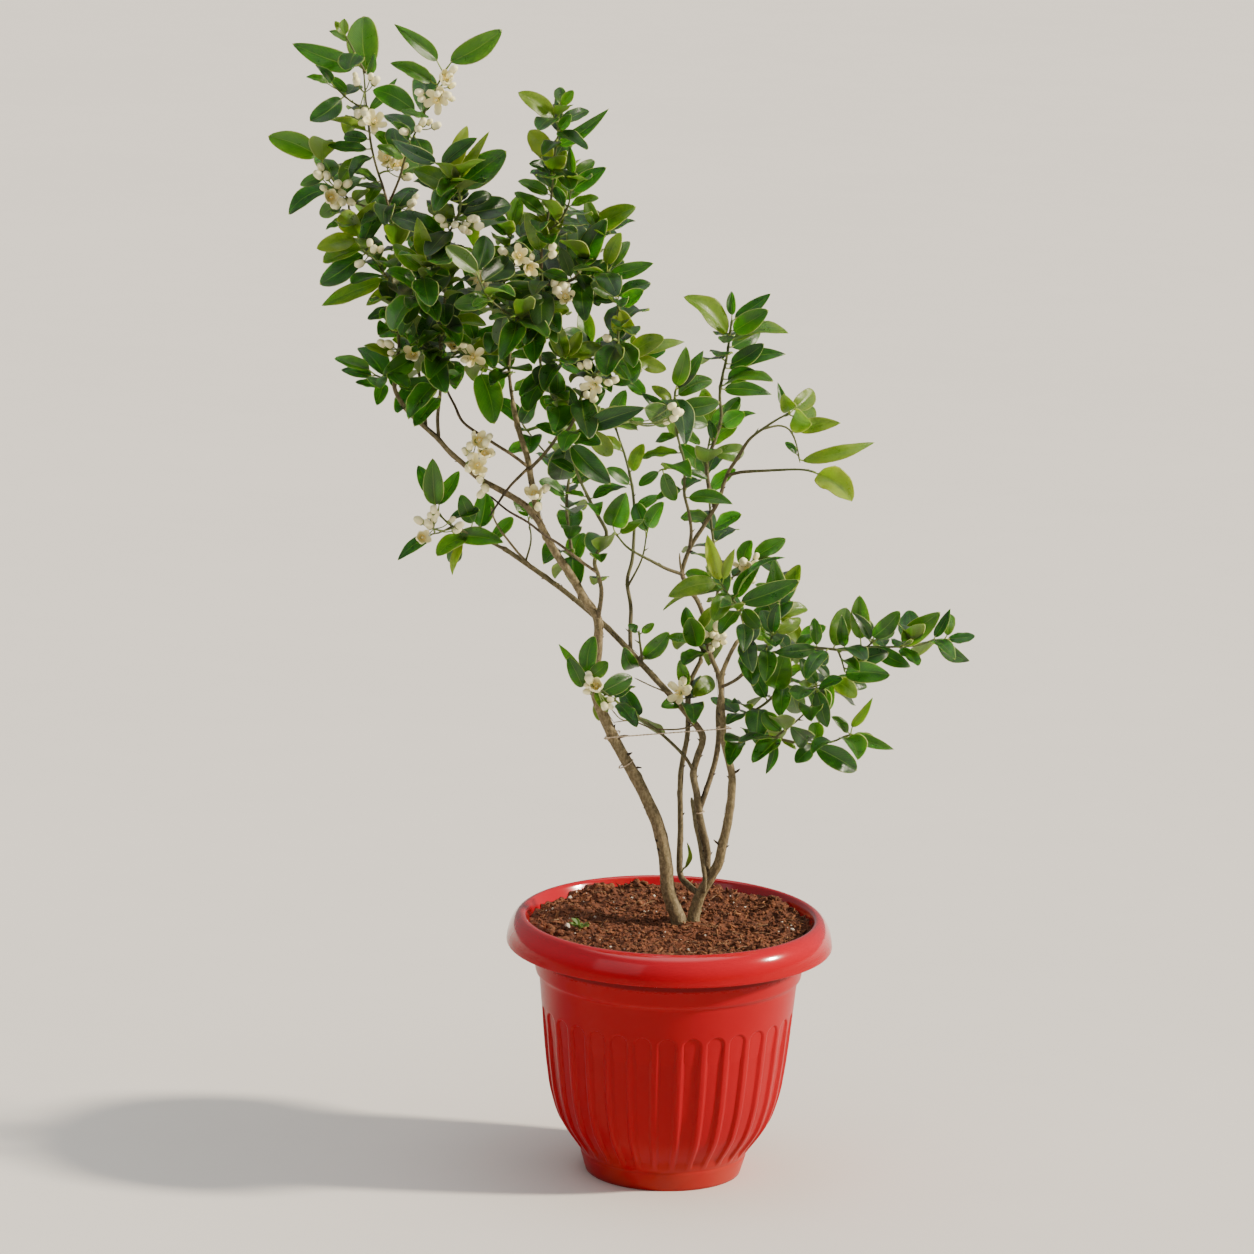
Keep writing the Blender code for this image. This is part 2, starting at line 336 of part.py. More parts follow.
        [(4.1, 0.0, 46.1), (5.5, -1.6, 47.0), (7.0, -3.0, 48.6), (8.2, -3.8, 49.5), (11.0, -5.0, 50.0),
         (13.0, -5.6, 50.2), (14.8, -6.0, 50.1), (16.5, -6.0, 50.4), (19.4, -5.6, 50.5),
         (21.6, -5.2, 50.7), (23.0, -5.0, 51.2), (24.2, -4.8, 51.3)],
        [(7.5, -3.3, 49.0), (8.2, -4.8, 50.6), (8.5, -5.6, 51.4)],
        [(17.0, -5.9, 50.4), (17.6, -6.8, 51.1)],
        [(14.4, -5.9, 50.1), (14.8, -7.0, 49.0), (15.0, -7.6, 48.2)],
    ], [
        (8.4, 51.4, 8.9, 54.3, 1.2, 0.9), (8.2, 51.4, 7.6, 53.5, 1.1, 0.8),
        (8.8, 51.6, 11.0, 52.9, 1.1, 0.7), (12.5, 50.3, 12.2, 53.0, 1.1, 0.8),
        (12.7, 50.2, 8.6, 49.7, 1.3, 0.7), (14.0, 50.4, 15.1, 54.0, 2.0, 0.8),
        (15.0, 50.3, 14.6, 53.4, 1.1, 0.8), (16.4, 51.2, 16.2, 55.2, 1.8, 0.8),
        (17.5, 51.4, 19.8, 53.9, 1.6, 0.8), (17.8, 51.1, 19.4, 52.2, 1.2, 0.5),
        (20.0, 50.8, 23.5, 53.9, 2.0, 0.9), (23.1, 50.9, 26.5, 49.3, 1.3, 0.8),
        (17.5, 50.1, 21.0, 48.7, 1.4, 0.7), (15.2, 48.4, 19.0, 50.0, 1.7, 0.8),
        (15.1, 48.0, 19.1, 48.0, 2.0, 0.8),
    ]),
    "right_mid_shoot": ("right_trunk", [
        [(4.3, -0.3, 43.1), (5.4, 0.8, 43.4), (6.6, 1.8, 43.6), (8.0, 2.8, 44.4), (9.0, 3.4, 45.4),
         (9.6, 3.8, 46.8), (10.4, 4.4, 48.4), (11.4, 5.2, 49.8)],
        [(8.8, 3.3, 45.2), (10.8, 3.6, 45.6), (12.6, 3.8, 46.2), (14.2, 3.8, 46.8)],
    ], [
        (9.0, 46.0, 9.8, 49.6, 2.4, 0.9), (8.2, 45.0, 6.8, 47.6, 1.6, 0.7),
        (9.8, 46.3, 9.6, 43.4, 1.8, 0.8), (10.3, 46.3, 11.3, 43.5, 2.0, 0.8),
        (9.7, 47.0, 11.8, 48.0, 1.4, 0.5), (6.6, 43.5, 9.2, 41.5, 1.2, 0.7),
        (14.5, 46.8, 16.5, 45.4, 1.7, 0.8), (14.6, 47.0, 17.6, 46.3, 1.2, 0.6),
        (14.2, 46.5, 14.0, 44.0, 1.2, 0.8), (13.6, 46.3, 16.6, 44.5, 1.1, 0.4),
        (11.4, 50.0, 13.6, 52.0, 1.6, 0.6), (11.2, 50.2, 9.6, 52.6, 1.5, 0.6),
        (10.8, 49.4, 13.6, 49.0, 1.4, 0.4),
    ]),
    "right_low_shoot": ("right_trunk", [
        [(4.85, -0.5, 40.3), (6.5, -1.8, 41.3), (8.0, -2.8, 41.7), (9.2, -3.4, 41.6), (10.8, -4.0, 41.3),
         (12.5, -4.6, 41.2), (14.2, -5.2, 41.5), (15.2, -5.6, 42.0), (16.0, -5.9, 42.3)],
        [(9.0, -3.3, 41.6), (10.2, -3.2, 42.6), (11.2, -3.2, 43.5), (12.4, -3.4, 45.0),
         (12.7, -3.8, 46.8)],
    ], [
        (12.6, 46.9, 11.0, 49.2, 1.3, 0.7), (12.7, 46.7, 13.8, 42.7, 1.5, 0.9),
        (16.2, 42.3, 19.8, 41.0, 1.1, 0.7), (12.9, 41.5, 12.6, 43.2, 1.5, 0.8),
        (12.0, 41.4, 10.3, 43.0, 1.9, 0.9), (9.6, 42.3, 8.0, 43.9, 1.6, 0.7),
        (12.4, 41.0, 10.9, 39.5, 1.5, 0.8), (12.8, 40.9, 16.6, 38.8, 2.0, 0.8),
        (12.6, 46.0, 15.0, 47.4, 1.2, 0.4),
    ]),
    "round_leaf_twig": ("fork_stem", [
        [(0.35, 2.0, 56.5), (-1.2, 1.0, 57.0), (-2.6, 0.2, 57.7), (-4.8, -0.8, 58.9), (-6.1, -1.6, 60.4)],
    ], [
        (-6.3, 60.9, -5.1, 64.1, 2.3, 1.0),
    ]),
    "centre_right_shoot": ("fork_stem", [
        [(0.8, 1.9, 58.9), (0.9, 0.8, 60.6), (0.6, 0.0, 62.4), (0.15, -0.8, 64.2), (0.1, -1.6, 66.8),
         (-0.35, -2.2, 68.4), (-0.8, -2.8, 70.2), (-1.0, -3.2, 72.4), (-0.9, -3.4, 73.8)],
        [(0.1, -1.4, 66.2), (-1.2, -2.6, 66.4), (-2.2, -3.4, 66.2)],
    ], [
        (-0.85, 74.0, -0.1, 77.6, 1.5, 0.9), (-0.7, 73.8, 1.5, 77.3, 1.2, 0.8),
        (-1.3, 70.6, -3.7, 71.8, 1.8, 0.8), (-1.0, 73.0, 2.4, 74.6, 1.6, 0.7),
        (-0.9, 71.8, 3.1, 72.6, 1.8, 0.7), (-0.6, 71.4, 2.1, 70.5, 1.6, 0.7),
        (-0.4, 70.2, 1.4, 68.6, 1.2, 0.5), (-0.5, 67.8, -3.8, 67.2, 1.1, 0.3),
        (-2.2, 66.0, -4.0, 64.7, 1.1, 0.5), (-1.8, 65.9, -0.6, 63.4, 1.4, 0.7),
        (0.4, 63.8, 4.6, 63.2, 1.2, 0.6), (-0.6, 69.4, -2.6, 68.8, 1.2, 0.5),
        (0.1, 64.6, -2.4, 63.4, 1.4, 0.4),
    ]),
    "right_tall_shoot": ("fork_stem", [
        [(3.0, 2.15, 62.8), (2.4, 3.4, 64.8), (2.2, 4.4, 67.0), (2.9, 5.2, 69.2), (3.4, 5.8, 71.2),
         (3.2, 6.2, 73.2), (3.4, 6.4, 75.2), (3.7, 6.6, 76.6), (3.9, 6.6, 78.4), (4.1, 6.6, 80.5)],
    ], [
        (3.9, 78.9, -0.4, 82.3, 2.0, 0.5), (4.4, 80.5, 7.6, 82.9, 1.2, 0.7),
        (4.3, 79.3, 7.4, 81.3, 1.9, 0.8), (4.2, 77.8, 6.8, 79.5, 1.8, 0.9),
        (4.2, 76.2, 7.1, 78.2, 1.6, 0.8), (4.0, 75.8, 9.2, 77.3, 1.3, 0.6),
        (3.9, 74.8, 6.6, 75.4, 1.5, 0.8), (3.4, 73.9, 8.0, 73.5, 1.3, 0.7),
        (3.5, 74.2, 7.9, 74.6, 1.1, 0.3), (3.6, 70.8, 5.1, 73.2, 1.1, 0.8),
        (3.6, 70.6, 5.4, 71.8, 1.7, 0.8), (2.6, 67.8, 5.6, 68.3, 1.7, 0.8),
    ]),
    "right_far_shoot": ("fork_stem", [
        [(5.0, 2.1, 67.6), (5.9, 1.2, 69.2), (7.3, 0.6, 70.4), (8.6, 0.0, 71.3), (9.6, -0.4, 71.8)],
        [(7.0, 0.7, 70.2), (8.6, 1.4, 70.6), (9.6, 1.6, 70.2), (10.2, 1.4, 69.0), (10.6, 1.0, 67.2)],
    ], [
        (9.5, 72.0, 8.8, 73.5, 1.5, 0.9), (9.8, 72.1, 11.6, 74.0, 1.7, 0.8),
        (9.8, 71.5, 11.4, 70.8, 2.2, 0.9), (9.9, 70.2, 11.6, 72.6, 2.0, 0.8),
        (10.3, 70.3, 14.2, 71.0, 1.4, 0.8), (10.9, 67.4, 17.4, 69.3, 1.3, 0.7),
    ]),
    "bare_twig_shoot": ("fork_stem", [
        [(4.0, 2.35, 65.8), (5.3, 1.4, 66.2), (7.5, 0.2, 66.4), (10.4, -1.4, 66.6), (12.0, -2.2, 66.4)],
    ], [
        (12.2, 66.3, 15.2, 63.8, 2.6, 0.7),
    ]),
    "back_left_shoot": ("left_branch", [
        [(-23.3, -2.5, 69.4), (-23.6, -0.6, 71.4), (-24.0, 1.8, 73.4), (-24.4, 4.4, 75.4),
         (-24.6, 6.8, 77.6), (-24.2, 8.8, 80.4), (-23.6, 10.2, 83.4), (-23.2, 11.2, 86.2)],
        [(-24.3, 4.0, 75.1), (-21.8, 6.2, 76.0), (-19.6, 8.0, 77.4)],
    ], [
        (-24.0, 75.8, -26.8, 77.6, 1.7, 0.5), (-24.8, 78.4, -28.2, 78.0, 1.7, 0.5),
        (-24.4, 80.4, -21.4, 81.4, 1.7, 0.5), (-24.0, 82.0, -26.8, 84.0, 1.6, 0.6),
        (-23.4, 84.6, -20.6, 85.8, 1.6, 0.6), (-23.4, 85.4, -25.8, 87.2, 1.6, 0.6),
        (-23.2, 86.6, -23.0, 90.0, 1.6, 0.8), (-19.6, 77.6, -17.0, 79.2, 1.6, 0.6),
        (-19.6, 77.4, -18.2, 74.8, 1.5, 0.6), (-21.0, 76.4, -21.8, 79.2, 1.6, 0.6),
        (-21.6, 76.0, -22.6, 73.2, 1.4, 0.5), (-19.4, 78.0, -20.2, 80.8, 1.5, 0.7),
    ]),
    "back_middle_shoot": ("arching_stem", [
        [(-9.0, 3.3, 53.4), (-9.6, 5.4, 56.4), (-10.2, 7.6, 59.6), (-10.6, 9.4, 63.0),
         (-10.2, 10.8, 66.6), (-9.4, 12.0, 70.4), (-8.8, 12.8, 74.2), (-8.8, 13.2, 77.6)],
        [(-10.3, 10.2, 65.2), (-12.8, 11.4, 67.6), (-15.0, 12.4, 70.2)],
        [(-9.0, 12.5, 72.6), (-6.6, 12.0, 74.4), (-4.4, 11.4, 76.0)],
    ], [
        (-10.6, 63.4, -13.2, 64.8, 1.6, 0.5), (-10.4, 64.6, -7.6, 66.0, 1.6, 0.5),
        (-9.8, 69.0, -12.4, 71.2, 1.7, 0.6), (-8.9, 74.8, -11.6, 76.6, 1.7, 0.6),
        (-8.8, 76.6, -6.4, 78.8, 1.6, 0.6), (-8.9, 77.6, -9.8, 81.2, 1.7, 0.8),
        (-8.7, 77.4, -11.6, 78.8, 1.5, 0.6), (-15.0, 70.4, -17.6, 72.4, 1.6, 0.6),
        (-15.0, 70.2, -13.6, 73.0, 1.5, 0.6), (-13.4, 68.4, -16.2, 67.6, 1.5, 0.5),
        (-4.4, 76.2, -1.8, 77.4, 1.5, 0.6), (-4.6, 76.0, -5.2, 79.0, 1.5, 0.7),
        (-5.8, 75.0, -3.6, 73.2, 1.4, 0.5),
    ]),
    "back_top_shoot": ("crown_middle_shoot", [
        [(-16.7, 7.5, 84.0), (-15.0, 9.2, 86.0), (-13.2, 10.6, 88.2), (-11.6, 11.6, 90.8)],
        [(-14.4, 9.7, 86.8), (-12.0, 9.4, 86.0), (-9.8, 9.0, 86.4)],
    ], [
        (-13.6, 87.8, -16.2, 89.8, 1.6, 0.6), (-12.8, 89.0, -10.2, 90.2, 1.6, 0.5),
        (-11.6, 91.0, -12.8, 94.0, 1.6, 0.7), (-11.4, 91.2, -9.2, 93.6, 1.5, 0.6),
        (-9.8, 86.6, -7.4, 88.2, 1.5, 0.6), (-10.0, 86.4, -9.4, 83.8, 1.4, 0.6),
        (-12.4, 86.0, -13.0, 83.2, 1.5, 0.5),
    ]),
    "front_left_shoot": ("left_upright_shoot", [
        [(-26.3, 1.0, 79.2), (-25.2, -1.6, 80.0), (-24.4, -4.2, 81.0), (-23.8, -6.6, 82.6),
         (-23.4, -8.4, 84.6)],
    ], [
        (-24.4, 81.2, -21.2, 83.4, 2.2, 0.9), (-24.2, 82.0, -27.0, 83.6, 1.6, 0.5),
        (-23.6, 83.6, -26.4, 86.0, 1.6, 0.6), (-23.5, 84.8, -21.4, 87.2, 1.6, 0.7),
        (-23.4, 85.0, -24.2, 88.4, 1.5, 0.8), (-24.0, 81.6, -25.2, 78.8, 1.5, 0.6),
    ]),
    "front_middle_shoot": ("middle_upright_shoot", [
        [(-13.25, -4.9, 78.6), (-14.4, -7.2, 79.2), (-16.0, -9.2, 80.0), (-17.8, -10.6, 81.4),
         (-18.8, -11.6, 83.4)],
    ], [
        (-15.4, 79.8, -12.8, 81.6, 1.5, 0.6), (-16.4, 80.2, -17.0, 77.2, 1.6, 0.6),
        (-17.4, 81.2, -20.8, 80.6, 1.7, 0.6), (-18.4, 82.6, -16.0, 85.0, 1.6, 0.7),
        (-18.8, 83.6, -21.6, 85.8, 1.6, 0.6), (-18.7, 83.8, -18.2, 87.0, 1.5, 0.9),
    ]),
    "back_right_shoot": ("right_mid_shoot", [
        [(10.1, 4.15, 47.8), (9.9, 5.2, 48.4), (9.6, 6.4, 49.8), (9.2, 8.0, 52.0), (9.4, 9.6, 54.6)],
    ], [
        (9.4, 50.6, 6.4, 51.0, 1.6, 0.5), (9.2, 52.4, 12.0, 53.4, 1.6, 0.5),
        (9.3, 54.0, 7.0, 55.6, 1.5, 0.6), (9.4, 54.8, 11.2, 57.6, 1.6, 0.7),
        (9.3, 55.0, 8.6, 58.2, 1.5, 0.7),
    ]),
}
TWIG_THICK = (3.6, 2.6)        # mm, at the start and the end of a shoot borne by the wood
UPPER_TWIG_THICK = (2.5, 2.0)  # of a shoot borne by another shoot
SIDE_TWIG_THICK = (2.3, 1.8)   # of the later twigs of any shoot
BLADE_PROPORTION = 2.1    # length over width of a full leaf
LEAST_DEPTH = 0.2         # run in depth of every leaf, as part of its run in the elevation
HEEL_DEPTH = 0.15         # part of a leaf's run in depth that its stalk takes
BLADE_THICK = 1.1         # mm, at the midrib
BLADE_FOLD = 0.16         # rise of the edges over the midrib, as part of the half width
LANCE_SECTIONS = [(0.40, 1.0)]                # share of the length and of the width
BROAD_SECTIONS = [(0.32, 1.0), (0.70, 0.78)]
STALK_THICK = 1.5         # mm
SHORTEST_STALK = 0.0035
LAST_ROOT = 0.8           # part of a twig's last stretch that can still root a stalk
SHOULDERED_WIDTH = 1.8    # cm, from which a blade is broad-shouldered instead of a plain lance
BURIED_ROOT = 0.6         # narrowing of a limb's first end, inside the limb that bears it
SHOOT_SIDES = 4
TRUNK_SIDES = 8
STEM_SIDES = 6
MAX_REACH = 6.4           # cm, longest leaf from heel to tip
LEAF_CLEARANCE = 0.0010
DEPTH_TRIES = (0.0, 0.9, -0.9, 1.8, -1.8, 2.8, -2.8, 3.8, -3.8)   # cm

# --- flowers -----------------------------------------------------------------------------------------
# Each cluster has the twig or stem that bears it and its flowers as (x, z, how far open from 0 to 1).
FLOWERS = {
    "tip_left_buds": ("crown_tip_left_shoot", [(-30.6, 101.0, 0.0), (-28.8, 101.1, 0.0)]),
    "tip_right_buds": ("crown_tip_right_shoot", [(-22.0, 101.0, 0.0), (-22.0, 99.8, 0.0)]),
    "upper_left_blossom": ("crown_tip_left_shoot", [(-27.5, 94.0, 1.0)]),
    "left_edge_flowers": ("crown_left_shoot", [(-31.2, 91.7, 0.0), (-32.6, 90.5, 1.0)]),
    "inner_left_buds": ("inner_left_shoot", [(-22.3, 88.6, 0.0), (-20.3, 87.9, 0.0)]),
    "crown_blossom": ("middle_upright_shoot", [(-14.3, 84.3, 1.0)]),
    "mid_right_buds": ("mid_right_shoot", [(-8.8, 75.5, 0.0), (-7.4, 73.6, 0.0), (-8.3, 72.5, 0.0)]),
    "branch_blossom": ("left_branch", [(-18.7, 68.2, 1.0)]),
    "trunk_blossom": ("left_trunk", [(-12.6, 63.9, 1.0)]),
    "low_tip_buds": ("arching_tip_shoot", [(-22.8, 60.9, 0.0), (-23.9, 61.0, 0.0)]),
    "low_left_buds": ("low_left_shoot", [(-7.3, 46.7, 0.0), (-6.4, 44.1, 0.0)]),
    "fork_buds": ("fork_stem", [(3.6, 51.6, 0.0), (3.6, 50.4, 0.0)]),
    "stem_blossom": ("rear_top_shoot", [(0.3, 45.2, 1.0)]),
    "right_blossom": ("rear_crown_shoot", [(6.4, 56.6, 1.0)]),
}
FLOWER_SIDES = 4
FLOWER_STALK = 0.0014     # diameter
FLOWER_STANDOFF = 0.7     # cm that the knuckle stands out in front of its twig
FLOWER_FORWARD = 0.3      # cm from the knuckle to the flowers
BLOSSOM_FACING = (0.0, -1.0, 0.35)
BUD_LEAN = (0.0, -0.3, 0.4)
BUD_LENGTH = 0.0085
BUD_RADIUS = 0.0031
BUD_PROFILE = [(0.0, 0.35), (0.35, 0.95), (0.75, 0.85), (1.0, 0.25)]   # share of length and of radius
HEART_DEPTH = 0.0035
HEART_RADIUS = 0.0020
PETAL_COUNT = 5
PETAL_LENGTH = 0.0095
PETAL_WIDTH = 0.0052
PETAL_THICK = 0.0011
PETAL_HEEL = 0.0025       # from the middle of the flower to where a petal starts to widen
PETAL_LIFT = 0.0030       # rise of a petal's tip out of the blossom's plane

# --- tie thread --------------------------------------------------------------------------------------
THREAD_RADIUS = 0.00045
THREAD_SLACK = 0.0004     # from the bark to the thread
THREAD_LEFT = (-5.75, 0.28, 41.3)
THREAD_RIGHT = (4.42, -0.36, 41.6)
THREAD_LEFT_RADIUS = 0.0066
THREAD_RIGHT_RADIUS = 0.0046
THREAD_STEPS = 12
THREAD_TURN = 300.0       # degrees that each end wraps round its stem

# --- finishes ----------------------------------------------------------------------------------------
GLOSSY = 0.32
WAXY = 0.38
SOFT = 0.5
ROUGH = 0.8
EARTHY = 0.95
LEAF_COLOR = (0.035, 0.115, 0.022)
BARK_COLOR = (0.20, 0.155, 0.095)
POT_COLOR = (0.62, 0.016, 0.014)
SOIL_COLOR = (0.075, 0.032, 0.017)
THREAD_COLOR = (0.62, 0.54, 0.42)
WEED_COLOR = (0.10, 0.20, 0.04)
BLOSSOM_COLOR = (0.78, 0.72, 0.50)


# --- geometry ------------------------------------------------------------------------------------------
def seat(station):
    """Turns a station in cm into a point in metres, hung lower the further back it lies."""
    x, y, z = station
    return Vector((x, y, z - CROWN_DROOP * y)) * CM


def round_tube(path, radii, sides):
    """Vertices and faces of a closed round tube along the points of path."""
    vertices = []
    faces = []
    side = (path[1] - path[0]).orthogonal().normalized()
    for index, point in enumerate(path):
        behind = path[max(index - 1, 0)]
        ahead = path[min(index + 1, len(path) - 1)]
        along = (ahead - behind).normalized()
        side = (side - along * side.dot(along)).normalized()
        across = along.cross(side)
        for step in range(sides):
            angle = 2.0 * math.pi * step / sides
            vertices.append(point + radii[index] * (math.cos(angle) * side + math.sin(angle) * across))
    for ring in range(len(path) - 1):
        first = ring * sides
        for step in range(sides):
            following = (step + 1) % sides
            faces.append((first + step, first + following, first + sides + following, first + sides + step))
    faces.append(tuple(reversed(range(sides))))
    faces.append(tuple(range((len(path) - 1) * sides, len(path) * sides)))
    return vertices, faces


def tapered(path, thick):
    """Radii in metres that taper along path from thick[0] to thick[1], which are diameters in mm."""
    travelled = [0.0]
    for before, after in zip(path, path[1:]):
        travelled.append(travelled[-1] + (after - before).length)
    return [0.5 * MM * (thick[0] + (thick[1] - thick[0]) * run / travelled[-1]) for run in travelled]


def limb_tube(stations, thick, sides, root, extra=0.0):
    """A twig or stem whose first end is narrowed to root, grown by extra all round for a clearance."""
    path = [seat(station) for station in stations]
    path[0] += (path[0] - path[1]).normalized() * extra
    path[-1] += (path[-1] - path[-2]).normalized() * extra
    radii = tapered(path, thick)
    radii[0] *= root
    return round_tube(path, [radius + extra for radius in radii], sides)


def nearest_on_twigs(twigs, x, z):
    """The station on any of the twigs that lies closest to (x, z) in the front elevation."""
    best = None
    best_gap = None
    for twig in twigs:
        for index, (start, end) in enumerate(zip(twig, twig[1:])):
            run_x = end[0] - start[0]
            run_z = end[2] - start[2]
            limit = LAST_ROOT if index == len(twig) - 2 else 1.0
            share = ((x - start[0]) * run_x + (z - start[2]) * run_z) / (run_x * run_x + run_z * run_z)
            share = min(max(share, 0.0), limit)
            station = tuple(a + share * (b - a) for a, b in zip(start, end))
            gap = math.hypot(station[0] - x, station[2] - z)
            if best is None or gap < best_gap:
                best = station
                best_gap = gap
    return best


def leaf_normal(along, facing):
    """The direction that a leaf's upper side looks in."""
    upward = Vector((0.0, 0.0, 1.0))
    frontward = Vector((0.0, -1.0, 0.0))
    normal = (1.0 - abs(facing)) * upward + facing * frontward
    return (normal - along * normal.dot(along)).normalized()


def blade_solid(root, heel, tip, width, thick, normal, extra=0.0):
    """A closed blade: a three-sided stalk at its root, then a lens section that ends in the tip."""
    sections = LANCE_SECTIONS if width < SHOULDERED_WIDTH * CM else BROAD_SECTIONS
    lead = (heel.lerp(tip, sections[0][0]) - root).normalized()
    stalk = 0.5 * STALK_THICK * MM + extra
    side = lead.cross(normal).normalized()
    crest = side.cross(lead)
    vertices = [
        root - side * stalk - crest * 0.5 * stalk,
        root + crest * stalk,
        root + side * stalk - crest * 0.5 * stalk,
    ]
    side = (tip - heel).cross(normal).normalized()
    for share, part in sections:
        centre = heel.lerp(tip, share)
        half = 0.5 * width * part + extra
        vertices.append(centre - side * half + normal * BLADE_FOLD * half)
        vertices.append(centre + normal * (0.5 * thick + extra))
        vertices.append(centre + side * half + normal * BLADE_FOLD * half)
        vertices.append(centre - normal * (0.5 * thick + extra))
    vertices.append(tip + (tip - heel).normalized() * extra)
    faces = [(2, 1, 0), (0, 1, 4), (0, 4, 3), (1, 2, 5), (1, 5, 4), (2, 0, 6), (2, 6, 5), (0, 3, 6)]
    last = 3
    if len(sections) > 1:
        last = 7
        for corner in range(4):
            near = 3 + corner
            near_next = 3 + (corner + 1) % 4
            faces += [(near, near_next, near_next + 4), (near, near_next + 4, near + 4)]
    faces += [(last + corner, last + (corner + 1) % 4, last + 4) for corner in range(4)]
    return vertices, faces


def leaf_pose(twigs, leaf, order, shift):
    """Start, heel and tip of a leaf. What its run in the elevation lacks in length is taken in depth."""
    heel_x, heel_z, tip_x, tip_z, width, facing = leaf
    start = nearest_on_twigs(twigs, heel_x, heel_z)
    flat = math.hypot(tip_x - heel_x, tip_z - heel_z)
    length = min(BLADE_PROPORTION * width, MAX_REACH)
    depth = math.sqrt(max(length * length - flat * flat, (LEAST_DEPTH * flat) ** 2))
    sign = 1.0 if order % 2 else -1.0
    root = seat(start)
    heel = seat((heel_x, start[1] + HEEL_DEPTH * sign * depth, heel_z))
    tip = seat((tip_x, start[1] + sign * depth + shift, tip_z))
    if (heel - root).length < SHORTEST_STALK:
        heel = root + (tip - root).normalized() * SHORTEST_STALK
    return root, heel, tip


def joined(parts):
    """One list of vertices and one of faces out of several solids."""
    vertices = []
    faces = []
    for part_vertices, part_faces in parts:
        base = len(vertices)
        vertices.extend(part_vertices)
        faces.extend(tuple(base + index for index in face) for face in part_faces)
    return vertices, faces


def leaf_solid(twigs, leaf, order, shift, extra=0.0):
    """The solid of one leaf of a shoot."""
    start, heel, tip = leaf_pose(twigs, leaf, order, shift)
    normal = leaf_normal((tip - heel).normalized(), leaf[5])
    return blade_solid(start, heel, tip, leaf[4] * CM, BLADE_THICK * MM, normal, extra)


def bud_solid(centre, axis, extra=0.0):
    """A plump bud from its calyx to its tip along axis."""
    rise = axis.normalized()
    path = [centre + rise * BUD_LENGTH * share for share, _ in BUD_PROFILE]
    radii = [BUD_RADIUS * part + extra for _, part in BUD_PROFILE]
    return round_tube(path, radii, FLOWER_SIDES)


def blossom_parts(centre, axis, extra=0.0):
    """The petals of an open flower round a small heart."""
    rise = axis.normalized()
    side = rise.orthogonal().normalized()
    across = rise.cross(side)
    heart = [centre - rise * 0.4 * HEART_DEPTH, centre + rise * 0.6 * HEART_DEPTH]
    parts = [round_tube(heart, [HEART_RADIUS + extra, HEART_RADIUS + extra], FLOWER_SIDES)]
    for index in range(PETAL_COUNT):
        angle = 2.0 * math.pi * index / PETAL_COUNT
        outward = math.cos(angle) * side + math.sin(angle) * across
        tip = centre + outward * PETAL_LENGTH + rise * PETAL_LIFT
        along = (tip - centre).normalized()
        normal = (rise - along * rise.dot(along)).normalized()
        heel = centre + along * PETAL_HEEL
        parts.append(blade_solid(centre, heel, tip, PETAL_WIDTH, PETAL_THICK, normal, extra))
    return parts


def flower_parts(limbs, flowers, extra=0.0):
    """A cluster: one stalk out of its twig to a knuckle, and a stalk from there to every flower."""
    middle_x = sum(flower[0] for flower in flowers) / len(flowers)
    middle_z = sum(flower[1] for flower in flowers) / len(flowers)
    root = nearest_on_twigs([limb[0] for limb in limbs], middle_x, middle_z)
    knuckle_y = root[1] - FLOWER_STANDOFF
    knuckle = seat((0.5 * (root[0] + middle_x), knuckle_y, 0.5 * (root[2] + middle_z)))
    radius = 0.5 * FLOWER_STALK + extra
    stub = knuckle + (knuckle - seat(root)) * 0.1
    parts = [round_tube([seat(root), stub], [radius, radius], FLOWER_SIDES)]
    for x, z, openness in flowers:
        centre = seat((x, knuckle_y - FLOWER_FORWARD, z))
        parts.append(round_tube([knuckle, centre], [radius, radius], FLOWER_SIDES))
        if openness > 0.5:
            parts += blossom_parts(centre, Vector(BLOSSOM_FACING), extra)
        else:
            outward = ((centre - knuckle).normalized() + Vector(BUD_LEAN)).normalized()
            parts.append(bud_solid(centre - outward * FLOWER_STALK, outward, extra))
    return parts


class Territory:
    """The solids already placed, which a new leaf has to stay clear of."""

    def __init__(self):
        self.claims = []

    def claim(self, owner, solid):
        """Adds a solid under its owner's name."""
        vertices, faces = solid
        low = [min(vertex[axis] for vertex in vertices) for axis in range(3)]
        high = [max(vertex[axis] for vertex in vertices) for axis in range(3)]
        self.claims.append((owner, low, high, BVHTree.FromPolygons(vertices, faces)))

    def is_clear(self, owner, solid):
        """Tells whether a solid touches nothing that another owner has placed."""
        vertices, faces = solid
        low = [min(vertex[axis] for vertex in vertices) for axis in range(3)]
        high = [max(vertex[axis] for vertex in vertices) for axis in range(3)]
        tree = BVHTree.FromPolygons(vertices, faces)
        for other, other_low, other_high, other_tree in self.claims:
            if other == owner:
                continue
            if any(low[axis] > other_high[axis] or high[axis] < other_low[axis] for axis in range(3)):
                continue
            if tree.overlap(other_tree):
                return False
        return True


# --- objects -------------------------------------------------------------------------------------------
def make_material(name, color, roughness, metallic=0.0):
    """A plain Principled material."""
    material = bpy.data.materials.new(name)
    material.use_nodes = True
    shader = material.node_tree.nodes["Principled BSDF"]
    shader.inputs["Base Color"].default_value = (*color, 1.0)
    shader.inputs["Roughness"].default_value = roughness
    shader.inputs["Metallic"].default_value = metallic
    return material


